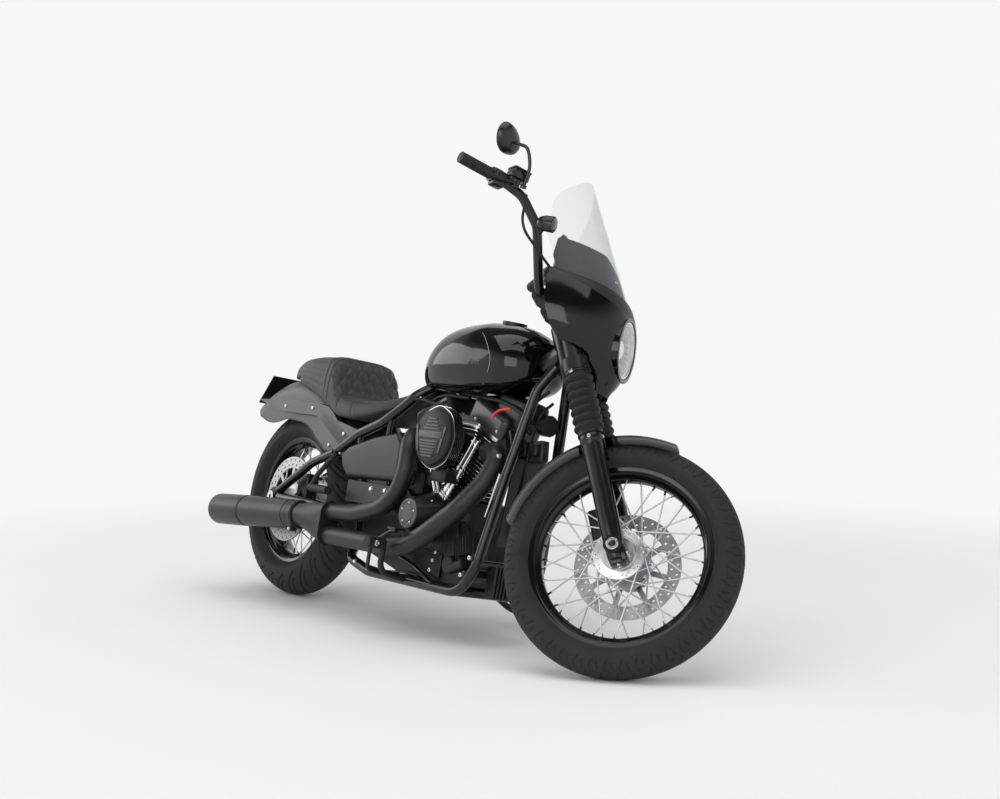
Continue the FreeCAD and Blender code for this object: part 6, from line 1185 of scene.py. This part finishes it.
def makeCleaner():
    # round stack of ribs, a little eight-sided, behind a crowned face; louvres and a bar stand on the face
    centre, radius, ribs, sides = np.array(cleaner["centre"]), cleaner["radius"], cleaner["ribs"], cleaner["sides"]
    axis = -left
    body, edges, plates, box = Form(), Form(), Form(), Form()
    profile = [(30.0, -16.0), (76.0, -15.0), (80.0, -3.0)]
    pitch = cleaner["ribsDeep"] / ribs
    for foot in pitch * np.arange(ribs) - 2:
        profile += [(radius * 0.86, foot), (radius * 0.86, foot + pitch * 0.45),
                    (radius * 0.985, foot + pitch * 0.55), (radius, foot + pitch * 0.66),
                    (radius, foot + pitch * 0.86), (radius * 0.985, foot + pitch * 0.95)]
    profile += [(radius * 0.90, 38), (radius * 0.93, 42), (radius * 0.90, 49), (radius * 0.80, 54),
                (radius * 0.60, 57.0), (radius * 0.30, 58.5), (radius * 0.1, 59.0)]
    eight = 1 + 0.012 * np.cos(8 * turns(sides))[None, :]
    body.solid(mainPlace, turned(profile, centre, axis, sides, eight))
    throat = [(30.0, -130.0), (30.0, -14.0)]
    body.grid(mainPlace.at(turned(throat, centre * (0, 1, 1) + ahead * cleaner["throatAt"], axis, 40)), capStart=True)
    body.solid(mainPlace, turned([(18.0, -66.0), (18.0, 66.0)], (cleaner["throatAt"], -24, 610), ahead, 32))
    makePiece("cleaner_body", body, "castBlack", "chassis", ("air_cleaner",), crease=35)
    for level in pitch * np.arange(ribs) - 2 + pitch * 0.76:
        band = [(radius - 1, level - 0.9), (radius + 0.9, level - 0.7), (radius + 0.9, level + 0.7),
                (radius - 1, level + 0.9)]
        edges.ring(mainPlace, turned(band, centre, axis, sides, eight))
    makePiece("cleaner_rib_edges", edges, "machined", "chassis")
    face = centre + axis * 56
    turn = np.array([ahead, -up, axis])
    roundedBox(plates, mainPlace, face + (4, 0, 6), cleaner["bar"], 0.22, turn)
    for index in range(cleaner["slats"]):
        wide = 96 - index * 8.0
        roundedBox(plates, mainPlace, face + (0, 1.0, -14 - index * 9.0), (wide, 4.4, 9), 0.3, turn, 10)
        if index < 4:
            wide = 80 - index * 12.0
            roundedBox(plates, mainPlace, face + (6, 1.0, 24 + index * 10.0), (wide, 5.0, 9), 0.3, turn, 10)
    for slant in (-1, 1):
        slanted = turn @ turnAbout(left, slant * 14)
        roundedBox(plates, mainPlace, face + (slant * 62, 2.0, -8), (9, 84, 8), 0.3, slanted, 10)
    makePiece("cleaner_louvres", plates, "satinGrey", "chassis")
    roundedBox(box, mainPlace, cleaner["drain"], (78, 62, 40), 0.28)
    roundedBox(box, mainPlace, cleaner["drain"] - left * 24, (56, 18, 26), 0.28)
    makePiece("cleaner_drain_box", box, "castBlack", "chassis")


makeCleaner()

coverFaces = {
    "cam": (892.0, -193.0, 352.0), "camScrews": (5, 31.0, 3.4),
    "camRings": [(44.0, -6.0), (45.5, -1.0), (44.0, 2.0), (37.0, 2.2), (35.0, 0.6), (27.0, 0.6), (25.0, 2.8),
                 (10.0, 3.2)],
    # the two plates on the primary cover: middle, and size against the profile
    "plates": [((905.0, 162.0, 300.0), 1.0), ((612.0, 162.0, 330.0), 0.86)], "plateScrews": (6, 50.0, 4.0),
    "plateRings": [(62.0, -3.0), (62.0, 2.0), (58.0, 4.0), (40.0, 4.4), (38.0, 3.0), (10.0, 3.4)],
}


def screwCircle(form, centre, axis, ring, start=0.0):
    # screws round a centre on a face: ring gives how many, how far out and how large
    count, reach, radius = ring
    for angle in turns(count) + start:
        boltHead(form, mainPlace, centre + reach * (math.cos(angle) * ahead + math.sin(angle) * up), axis, radius)


def makeCoverFaces():
    # turned faces: a stepped one on the cam cover, two plates on the primary cover, each with its screws
    rings, screws = Form(), Form()
    centre = np.array(coverFaces["cam"])
    rings.dish(mainPlace, turned(coverFaces["camRings"], centre, -left, 72))
    screwCircle(screws, centre - left * 0.8, -left, coverFaces["camScrews"], 0.3)
    count, reach, radius = coverFaces["plateScrews"]
    for middle, share in coverFaces["plates"]:
        rings.dish(mainPlace, turned(np.array(coverFaces["plateRings"]) * (share, 1), middle, left, 72))
        screwCircle(screws, middle + left * 3.6, left, (count, reach * share, radius))
    makePiece("cover_faces", rings, "satinGrey", "chassis")
    makePiece("cover_screws", screws, "zincSteel", "chassis")


makeCoverFaces()
print("engine made")


# Headlamp, exhaust bands, small fittings and fasteners placed by the photograph's pixels.

lamp = {"centre": (1447.0, 0.0, 927.0), "tilt": 6.0, "radius": 87.0, "flutes": 24}


def makeHeadlamp():
    # turned round the lamp's axis: black bezel, silver ring, stepped white bowl, inner lens and a clear domed cover
    tilt = math.radians(lamp["tilt"])
    axis, centre, radius = ahead * math.cos(tilt) + up * math.sin(tilt), np.array(lamp["centre"]), lamp["radius"]
    bezel = [(radius - 5, -10), (radius - 5, -0.6), (radius - 3.4, 1.2), (radius + 6.5, 1.0), (radius + 8.4, -1.4),
             (radius + 7.8, -8)]
    form = Form().ring(forkPlace, turned(bezel, centre, axis, 96))
    makePiece("lamp_bezel", form, "glossBlack", "front_end")
    ring = [(radius - 11.5, -9), (radius - 11, -3.5), (radius - 9.6, -1.8), (radius - 6.4, -1.4),
            (radius - 5, -2.5), (radius - 5, -9)]
    form = Form().ring(forkPlace, turned(ring, centre, axis, 96))
    makePiece("lamp_ring", form, "chrome", "front_end")
    bowl = [(radius - 11, -6.0), (radius - 14, -8.0), (radius - 15, -14.0), (radius - 24, -15.5),
            (radius - 25, -22.0), (radius - 36, -23.5), (radius - 37, -29.0), (34.0, -30.5), (33.0, -33.0),
            (12.0, -34.0)]
    form = Form().dish(forkPlace, turned(bowl, centre, axis, 96))
    for angle in turns(lamp["flutes"]):
        spoke = math.cos(angle) * left + math.sin(angle) * np.cross(axis, left)
        turn = np.array([spoke, np.cross(axis, spoke), axis])
        roundedBox(form, forkPlace, centre + spoke * (radius - 30) - axis * 17.0, (34.0, 1.6, 9.0), 0.4, turn, 6)
    makePiece("lamp_bowl", form, "lampWhite", "front_end")
    eye = [(33.0, -33.0), (33.0, -24.0), (30.0, -20.0), (24.0, -16.0), (14.0, -12.5), (4.0, -11.5)]
    form = Form().dish(forkPlace, turned(eye, centre, axis, 64))
    makePiece("lamp_eye", form, "reflector", "front_end")
    dome = [(radius - 11, -3.0), (radius - 11, -1.0), (radius - 14, 0.6), (radius * 0.6, 3.2), (radius * 0.3, 4.2),
            (4.0, 4.5)]
    form = Form().dish(forkPlace, turned(dome, centre, axis, 96))
    makePiece("lamp_cover", form, "lampGlass", "front_end", ("headlamp_lens",))


makeHeadlamp()

muffler = {
    "tip": (-257.0, -190.0, 247.5), "tilt": 3.74, "radius": 53.0, "lip": 12.0,
    # bands: distance from the tip, radius under the strip, half width
    "bands": [(487.0, 47.2, 4.0), (536.0, 46.4, 9.0)], "earDown": 50.0,
}
mufflerTilt = math.radians(muffler["tilt"])
mufflerAxis = ahead * math.cos(mufflerTilt) + up * math.sin(mufflerTilt)


def makeMuffler():
    # one turned skin: the outlet's bore, a rounded lip, the rear sleeve, a sunk joint and the long taper
    radius, lip = muffler["radius"], muffler["lip"]
    bend = np.linspace(0, np.pi / 2, 9)
    mouth = np.column_stack([radius - lip + lip * np.sin(bend), lip - lip * np.cos(bend)])
    body = [(radius, 196), (radius - 0.4, 201), (radius - 3.0, 203), (radius - 3.0, 211), (radius - 1.2, 213),
            (radius - 1.2, 240), (radius - 3.5, 380), (46.8, 500), (46.0, 546), (44.5, 549), (39.5, 549.5)]
    bore = [(33.0, 90), (34.0, 88), (34.0, 3), (35.5, 0.4)]
    form = Form().solid(mainPlace, turned(np.concatenate([bore, mouth, body]), muffler["tip"], mufflerAxis, 96))
    makePiece("muffler_skin", form, "pipeBlack", "chassis", ("muffler",), crease=40)


makeMuffler()


def makeExhaustBands():
    # bands round the muffler: rolled strips, the front one with an ear and its screw
    tip = np.array(muffler["tip"])
    bands, screws = Form(), Form()
    for along, radius, wide in muffler["bands"]:
        strip = [(radius - 1.5, -wide), (radius + 1.2, -wide * 0.9), (radius + 1.2, wide * 0.9), (radius - 1.5, wide)]
        bands.ring(mainPlace, turned(strip, tip + mufflerAxis * along, mufflerAxis, 72))
    ear = tip + mufflerAxis * muffler["bands"][1][0] - left * 18 - up * muffler["earDown"]
    roundedBox(bands, mainPlace, ear, (18, 26, 14), 0.4)
    boltHead(screws, mainPlace, ear - left * 13.0, -left, 5.0, "hex")
    makePiece("exhaust_bands", bands, "pipeBlack", "chassis")
    makePiece("exhaust_screws", screws, "zincSteel", "chassis")


makeExhaustBands()

fasteners = {
    # pixel column and row, radius in millimetres, kind
    "chassis": [
        (377, 543, 9.0, "socket"), (340, 453, 5.0, "socket"), (371, 489, 6.5, "hex"), (385, 491, 6.5, "hex"),
        (286, 406, 5.5, "socket"), (313, 408, 6.5, "socket"), (344, 434, 6.5, "socket"), (329, 445, 6.0, "socket"),
        (476, 419, 5.5, "socket"), (497, 432, 5.5, "socket"), (436, 552, 6.0, "hex"), (433, 559, 6.0, "hex"),
        (470, 558, 7.0, "socket"), (461, 574, 7.0, "socket"), (430, 570, 5.5, "hex"), (355, 561, 6.0, "hex"),
        (484, 498, 3.5, "socket"), (432, 501, 4.0, "socket"), (421, 398, 7.0, "socket"), (463, 413, 5.0, "socket"),
        (499, 456, 6.5, "hex"),
    ],
    "front_end": [(571, 371, 7.0, "socket"), (580, 459, 5.5, "hex"), (616, 283, 4.0, "socket")],
}


def placeFasteners(body, place, avoid=()):
    # each screw stands on the surface that the camera sees at its pixel
    names = [name for name, node in nodes.items() if node["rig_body"] == body and name not in avoid]
    form = Form()
    for column, row, radius, kind in fasteners[body]:
        found = seenAt(column, row, place, *names)
        if found is None:
            continue
        point, normal = found
        boltHead(form, place, point - normal * 0.3, normal, radius, kind)
    makePiece(body + "_fasteners", form, "zincSteel", body)


placeFasteners("chassis", mainPlace, ("seat", "fuel_tank"))
placeFasteners("front_end", forkPlace, ("windscreen",))
print("lamp, exhaust and fasteners made")


# Fairing hood, tank line, rear fender skin, tail lens, looms, castings and regulator.

hood = {"crown": 1184.0, "bend": 0.0006, "from": 1070.0, "cuts": 5}


def makeFairing():
    # the fairing's own surface, merged; above the ledge no point is higher than the crown less bend times its
    # distance from the middle, squared
    mesh = nodes["fairing"].data.copy()
    mesh.name = "fairing_shell"
    shell = bmesh.new()
    shell.from_mesh(mesh)
    bmesh.ops.remove_doubles(shell, verts=shell.verts, dist=1e-5)
    heights = forkPlace.back(np.array([edge.verts[0].co + edge.verts[1].co for edge in shell.edges]) / 2)[:, 2]
    high = [edge for edge, height in zip(shell.edges, heights) if height > hood["from"]]
    bmesh.ops.subdivide_edges(shell, edges=high, cuts=hood["cuts"], use_grid_fill=True)
    bmesh.ops.triangulate(shell, faces=[face for face in shell.faces if len(face.verts) > 4])
    shell.to_mesh(mesh)
    shell.free()
    points = forkPlace.back(meshPoints(mesh))
    ceiling = hood["crown"] - hood["bend"] * points[:, 1] ** 2
    points[:, 2] = np.where(points[:, 2] > hood["from"], np.minimum(points[:, 2], ceiling), points[:, 2])
    mesh.vertices.foreach_set("co", forkPlace.at(points).ravel())
    finishMesh(mesh, 38)
    dress("fairing_shell", mesh, "fairingBlack", "front_end", ("fairing",))


makeFairing()

tankLine = [(478, 327), (484, 335), (488, 347), (490, 358), (488, 370), (483, 384)]


def makeTankLine():
    # a thin painted line over each side of the tank, through the pixels where the camera sees it
    spots = [seenAt(column, row, mainPlace, "fuel_tank") for column, row in tankLine]
    points = np.array([spot[0] + spot[1] * 0.2 for spot in spots if spot is not None])
    form = Form()
    for side in (1, -1):
        form.solid(mainPlace, alongPath(flowing(points * (1, side, 1), 60), 0.7, 8))
    makePiece("tank_line", form, "pinstripe", "chassis")


makeTankLine()

rearFender = {
    "centre": (0.0, 0.0, 330.0), "radius": 412.4, "half": 108.4, "round": 58.0, "start": 26.0, "end": 131.0,
    "dome": 5.0, "wall": 0.0025,
    # the trimmed lower edge, ahead and up, and the roll outside it
    "edge": [(-290, 640), (-262, 626), (-240, 606), (-205, 588), (-150, 577), (-95, 583), (-45, 595), (20, 595),
             (80, 588), (126, 566), (183, 530), (230, 511), (300, 500), (380, 500)],
    "roll": [(1.6, -1.2), (2.6, -3.4), (1.2, -5.2), (-1.2, -4.6), (-2.6, -2.2)],
}


def makeRearFender():
    # section: crown, round shoulder and skirt down to the trimmed edge, rolled outwards; carried round the wheel
    centre = np.array(rearFender["centre"])
    angle = np.radians(np.linspace(rearFender["start"], rearFender["end"], 150))
    edge = flowing(rearFender["edge"], 200) - centre[[0, 2]]
    edgeAngle, edgeReach = np.arctan2(edge[:, 1], edge[:, 0]), np.hypot(edge[:, 0], edge[:, 1])
    order = np.argsort(edgeAngle)
    radius, half, corner = rearFender["radius"], rearFender["half"], rearFender["round"]
    shoulder = radius - corner - 2
    low = np.minimum(np.interp(angle, edgeAngle[order], edgeReach[order]), shoulder - 4)
    dome = rearFender["dome"]
    drop = dome * (1 - np.cos(np.linspace(0, np.pi / 2, 10)[:-1])) * 0.4
    across = np.linspace(0, half - corner, 10)[:-1]
    bend = np.linspace(np.pi / 2, 0, 16)
    skirt = np.linspace(0, 1, 14)[1:]
    roll = np.array(rearFender["roll"])
    each = np.ones((len(angle), 1))
    side = each * np.concatenate([across, half - corner + corner * np.cos(bend), np.full(len(skirt), half),
                                  half + roll[:, 0]])
    reach = np.concatenate([each * np.concatenate([radius - drop, shoulder + corner * np.sin(bend)]),
                            shoulder + (low[:, None] - shoulder) * skirt, low[:, None] + roll[:, 1] + 2.0], axis=1)
    side = np.concatenate([-side[:, :0:-1], side], axis=1)
    reach = np.concatenate([reach[:, :0:-1], reach], axis=1)
    form = Form().grid(mainPlace.at(roundAxle(centre, angle, reach, side)), closeColumns=False)
    piece = makePiece("rear_fender_skin", form, "satinGrey", "chassis", ("rear_fender",), crease=50)
    wall = piece.modifiers.new("wall", "SOLIDIFY")
    wall.thickness, wall.offset = rearFender["wall"], -1.0


makeRearFender()

tail = {"centre": (-242.0, 0.0, 630.0), "half": (30.0, 84.0, 16.0), "turn": -28.0}


def makeTailLens():
    # superellipsoid: flattened rings that shrink towards both ends
    steps = np.linspace(-np.pi / 2, np.pi / 2, 26)
    angle = turns(56)
    ring = np.stack([squarer(np.cos(angle), 0.7), squarer(np.sin(angle), 0.55)], axis=-1)
    levels = zip(squarer(np.sin(steps), 0.8), squarer(np.cos(steps), 0.6))
    points = (stacked(ring, levels) * tail["half"]) @ turnAbout(left, tail["turn"]) + tail["centre"]
    makePiece("tail_lens", Form().solid(mainPlace, points), "smokedLens", "chassis")


makeTailLens()


looms = [
    # pixels along the run, the plane's distance from the middle, radius, finish, slot
    ([(549, 392), (535, 404), (519, 428), (510, 466), (499, 508)], -46, 5.5, "cableBlack", "rubber"),
    ([(456, 391), (478, 397), (503, 402), (522, 414), (530, 434)], -58, 7.0, "cableBlack", "rubber"),
    ([(553, 404), (541, 416), (530, 448), (523, 490), (517, 540)], -30, 4.5, "cableBlack", "rubber"),
    ([(493, 417), (497, 412), (503, 409.5), (511, 409)], -96, 4.2, "redSleeve", "rubber"),
    ([(500, 474), (492, 497), (485, 517)], -121, 3.0, "machined", "bright_metal"),
    ([(469, 536), (466, 526), (460, 521), (455, 520)], -116, 2.6, "cableBlack", "rubber"),
    ([(369, 566), (386, 571), (404, 572), (418, 576)], -120, 4.0, "satinBlack", "satin_black"),
    ([(400, 556), (414, 566), (431, 583), (440, 590)], -128, 7.0, "frameBlack", "satin_black"),
    ([(404, 402), (420, 399), (436, 404), (446, 402)], -104, 5.0, "cableBlack", "rubber"),
    ([(425, 406), (444, 396), (470, 398)], -70, 6.0, "cableBlack", "rubber"),
]


def makeLooms():
    # tubes on smooth curves through the pixels
    forms = {}
    for pixels, plane, radius, finish, slotName in looms:
        corners = [onPlane(column, row, plane) for column, row in pixels]
        form = forms.setdefault((finish, slotName), Form())
        form.solid(mainPlace, alongPath(flowing(corners, 40), radius, 14))
    for (finish, slotName), form in forms.items():
        makePiece("loom_" + finish, form, finish, "chassis")


makeLooms()

castings = [
    # centre, size, power of the corners, turn about the across axis, finish
    ((1112, 0, 694), (150, 96, 86), 0.3, 12, "plasticBlack"),
    ((786, 0, 486), (150, 150, 96), 0.34, 0, "castBlack"),
    ((1128, -30, 560), (40, 60, 120), 0.3, -24, "castBlack"),
    ((1176, -44, 606), (10, 60, 70), 0.3, -26, "satinBlack"),
    ((905, -104, 214), (150, 14, 70), 0.4, 0, "castBlack"),
    ((1010, -100, 300), (70, 22, 110), 0.4, -14, "castBlack"),
    ((1100, -76, 250), (60, 60, 130), 0.36, -22, "castBlack"),
    ((748, -62, 446), (86, 50, 72), 0.34, 0, "castBlack"),
    ((730, -84, 452), (30, 16, 30), 0.5, 0, "castBlack"),
    ((1218, -14, 584), (104, 30, 62), 0.3, -8, "plasticBlack"),
    ((1196, -36, 588), (30, 16, 40), 0.4, -8, "plasticBlack"),
    ((1246, -36, 590), (26, 16, 34), 0.4, -8, "plasticBlack"),
    ((1176, -22, 520), (30, 46, 90), 0.3, -14, "plasticBlack"),
    ((604, -121, 437), (96, 6, 34), 0.2, 0, "plasticBlack"),
]


def makeCastings():
    # eased blocks of one finish make one piece
    forms = {}
    for centre, size, power, degrees, finish in castings:
        form = forms.setdefault(finish, Form())
        roundedBox(form, mainPlace, centre, size, power, turnAbout(left, degrees))
    for finish, form in forms.items():
        makePiece("castings_" + finish, form, finish, "chassis")


makeCastings()


regulator = {
    # pixel column and row, and the plane's distance from the middle
    "box": (463, 546, -120), "size": (52, 22, 56), "turn": -18.0, "fins": 6, "finPitch": 9.0,
    "cylinder": (457, 566, -122), "cylinderAxis": (0.94, 0.0, 0.34),
    "screws": [(470, 558, -136), (461, 575, -136), (436, 552, -132), (433, 560, -134), (430, 570, -130)],
}


def makeRegulator():
    # finned box in front of the crankcase, with the brake's small cylinder, its flange and the screws
    middle, lower = onPlane(*regulator["box"]), onPlane(*regulator["cylinder"])
    turn = turnAbout(left, regulator["turn"])
    form, screws = Form(), Form()
    roundedBox(form, mainPlace, middle, regulator["size"], 0.24, turn)
    for index in range(regulator["fins"]):
        shift = (index - (regulator["fins"] - 1) / 2) * regulator["finPitch"]
        roundedBox(form, mainPlace, middle + shift * turn[0] - left * 13, (3.4, 12, 52), 0.3, turn, 8)
    barrel = [(13, -34), (17, -32), (17, 30), (12, 34)]
    form.solid(mainPlace, turned(barrel, lower, unit(regulator["cylinderAxis"]), 32))
    flange = [(22, -8), (25, -4), (25, 12), (21, 15), (10, 15)]
    form.solid(mainPlace, turned(flange, lower - ahead * 34, -left, 40))
    roundedBox(form, mainPlace, lower + (26, 6, -22), (46, 18, 18), 0.36, turn)
    for spot in regulator["screws"]:
        boltHead(screws, mainPlace, onPlane(*spot), -left, 7.0)
    makePiece("regulator", form, "castBlack", "chassis")
    makePiece("regulator_screws", screws, "zincSteel", "chassis")


makeRegulator()


# Hand controls and signal lamps.

controls = {
    # blocks: distance inboard of the grip's inner end, shift in the bike's axes, size, power of the corners, steps
    "blocks": [(0, (8, 0, -10), (40, 38, 44), 0.36, 24), (4, (-22, 0, 6), (18, 14, 16), 0.4, 12),
               (34, (18, 0, 4), (34, 40, 32), 0.34, 24), (40, (24, 0, 26), (58, 44, 28), 0.26, 24),
               (40, (24, 0, 42), (60, 46, 5), 0.24, 24)],
    "clamp": [(16, -26), (22, -24), (23.5, -8), (23.5, 10), (22, 20), (17, 22)],
    "pivot": [(9, -12), (11, -10), (11, 10), (9, 12)], "leverTip": 108.0,
    "leverShares": [0, 0.1, 0.55, 0.92, 1.0], "leverRadii": [6.5, 5.2, 4.4, 4.6, 6.4],
}


def makeControls():
    # housings clamped round the bar inboard of each grip, the fluid box, the levers and their pivots
    boxes, levers, screws = Form(), Form(), Form()
    for side in (1, -1):
        end, gripEnd = (np.array(grips[key]) * (1, side, 1) for key in ("inner", "outer"))
        along = unit(gripEnd - end)
        turn = np.array([along, np.cross(up, along), up])
        middle = end + along * 2
        boxes.solid(forkPlace, turned(controls["clamp"], middle, along, 40))
        for inboard, shift, size, power, steps in controls["blocks"]:
            roundedBox(boxes, forkPlace, middle - along * inboard + shift, size, power, turn, steps)
        for shift in (-22, 22):
            boltHead(screws, forkPlace, middle - along * (40 + shift) + (24, 0, 44.5), up, 3.0)
        pivot = middle - along * 26 + (40, 0, -4)
        boxes.solid(forkPlace, turned(controls["pivot"], pivot, up, 24))
        boltHead(screws, forkPlace, pivot + up * 12, up, 4.5)
        tip = end + along * controls["leverTip"] + (34, 0, -14)
        path = flowing([pivot, pivot + along * 34 + (8, 0, -4), (pivot + tip) / 2 + (14, 0, -6), tip], 40)
        swell = np.interp(np.linspace(0, 1, 40), controls["leverShares"], controls["leverRadii"])
        levers.solid(forkPlace, alongPath(path, swell, 14))
    makePiece("control_housings", boxes, "mouldedBlack", "front_end", ("hand_controls",))
    makePiece("hand_levers", levers, "satinBlack", "front_end")
    makePiece("control_screws", screws, "zincSteel", "front_end")


makeControls()

signals = {
    "at": (1168.0, 214.0, 1172.0), "stalkFoot": (1137.0, 180.0, 1150.0), "stalk": 7.0,
    "shell": [(3, -30), (12, -28), (19, -20), (23, -6), (24, 10), (24, 20), (22, 22)],
    "lens": [(21.5, 21), (21.5, 23), (17, 26), (9, 28), (2, 28.5)],
}


def makeSignals():
    # bullet housings with a lens in a rim, on short stalks from the bar
    shells, lenses = Form(), Form()
    for side in (1, -1):
        centre, foot = (np.array(signals[key]) * (1, side, 1) for key in ("at", "stalkFoot"))
        shells.solid(forkPlace, turned(signals["shell"], centre, ahead, 40))
        lenses.dish(forkPlace, turned(signals["lens"], centre, ahead, 40))
        stalk = flowing([foot, (foot + centre) / 2, centre - ahead * 6], 12)
        shells.solid(forkPlace, alongPath(stalk, signals["stalk"], 16))
    makePiece("signal_shells", shells, "mouldedBlack", "front_end", ("front_signals",))
    makePiece("signal_lenses", lenses, "smokedLens", "front_end")


makeSignals()
print("fender, looms and controls made")


# Stage and lamps.

studio = {
    "floor": (0.90, 0.90, 0.905, 1.0), "seenWhite": (0.925, 0.93, 0.935, 1.0), "half": 9.0, "wallBack": 6.5,
    "wallHigh": 7.0, "bend": 1.6, "wide": 12.0, "away": (-0.79, 0.61, 0.0), "fadeFrom": 1.3, "fadeTo": 4.2,
    "air": (0.97, 0.98, 1.0, 1.0), "airStrength": 0.34, "ceilingStrength": 0.10, "ceilingFrom": 0.30,
    "ceilingTo": 0.62,
}


def makeStage():
    # a pale sweep: flat floor, a quarter-round bend and a wall; far from the object its own white shows
    away = unit(studio["away"])
    side = np.cross(up, away)
    bend = np.linspace(0, np.pi / 2, 24)
    run = np.concatenate([[-studio["half"]], studio["wallBack"] + studio["bend"] * np.sin(bend),
                          [studio["wallBack"] + studio["bend"]]])
    rise = np.concatenate([[0.0], studio["bend"] * (1 - np.cos(bend)), [studio["wallHigh"]]])
    across = np.array([-studio["wide"], studio["wide"]])
    points = run[:, None, None] * away + rise[:, None, None] * up + across[None, :, None] * side
    form = Form().grid(points, closeColumns=False)
    mesh = bpy.data.meshes.new("sweep")
    mesh.from_pydata(np.concatenate(form.points).tolist(), [], form.faces)
    mesh.shade_smooth()
    finish = Finish("palePaper")
    finish.set(Base_Color=studio["floor"], Roughness=0.7, Specular_IOR_Level=0.2)
    reach = finish.node("VectorMath", {"operation": "LENGTH"}, {0: finish.coordinates()}, "Value")
    fade = finish.node("MapRange", {"interpolation_type": "SMOOTHSTEP"},
                       {"Value": reach, "From Min": studio["fadeFrom"], "From Max": studio["fadeTo"]})
    white = finish.node("Emission", {}, {"Color": studio["seenWhite"], "Strength": 1.0})
    mix = finish.node("MixShader", {}, {0: fade * finish.plainlySeen(),
                                        1: Value(finish.tree, finish.shader.outputs[0]), 2: white})
    feed(finish.tree, finish.tree.nodes["Material Output"].inputs["Surface"], mix)
    mesh.materials.append(finish.material)
    sweep = bpy.data.objects.new("sweep", mesh)
    bpy.context.scene.collection.objects.link(sweep)


lamps = {
    "overhead": {"at": (0.3, -0.4, 4.4), "to": (0, 0, 0.5), "size": (5.5, 4.0), "power": 112.0, "mirrored": True},
    "cameraSide": {"at": (2.4, -5.0, 2.4), "to": (0.2, 0, 0.6), "size": (4.0, 3.0), "power": 82.0, "mirrored": True},
    "frontSide": {"at": (5.0, 1.5, 2.6), "to": (0.4, 0, 0.6), "size": (3.0, 2.6), "power": 46.0, "mirrored": False},
    "rearSide": {"at": (-4.4, -2.6, 2.4), "to": (-0.4, 0, 0.6), "size": (3.4, 2.6), "power": 58.0, "mirrored": True},
    "farSide": {"at": (-1.0, 5.0, 3.0), "to": (0, 0, 0.6), "size": (4.0, 2.4), "power": 36.0, "mirrored": False},
}


def makeLamps():
    # soft boxes; those that are not mirrored leave no bright square in gloss
    for name, lamp in lamps.items():
        light = bpy.data.lights.new(name, "AREA")
        light.shape = "RECTANGLE"
        light.size, light.size_y = lamp["size"]
        light.energy = lamp["power"]
        holder = bpy.data.objects.new(name, light)
        holder.visible_glossy = lamp["mirrored"]
        holder.location = lamp["at"]
        holder.rotation_euler = (Vector(lamp["to"]) - Vector(lamp["at"])).to_track_quat("-Z", "Y").to_euler()
        bpy.context.scene.collection.objects.link(holder)
    # the air lights the object; plainly seen, it is white and dims overhead, where a studio's ceiling is
    world = bpy.data.worlds.new("studioAir")
    bpy.context.scene.world = world
    world.use_nodes = True
    sky = Nodes(world.node_tree)
    air = sky.tree.nodes["Background"]
    feed(sky.tree, air.inputs["Color"], studio["air"])
    feed(sky.tree, air.inputs["Strength"], studio["airStrength"])
    height = sky.node("SeparateXYZ", {}, {0: sky.node("TexCoord", output="Generated")}, "Z")
    dimmed = sky.node("MapRange", {}, {"Value": height, "From Min": studio["ceilingFrom"],
                                       "From Max": studio["ceilingTo"], "To Min": 1.0,
                                       "To Max": studio["ceilingStrength"]})
    white = sky.node("Background", {}, {"Color": studio["seenWhite"], "Strength": dimmed})
    mix = sky.node("MixShader", {}, {0: sky.plainlySeen(), 1: Value(sky.tree, air.outputs[0]), 2: white})
    feed(sky.tree, sky.tree.nodes["World Output"].inputs["Surface"], mix)


makeStage()
makeLamps()
bpy.context.scene.view_settings.view_transform = "Standard"
print("stage and lamps made")
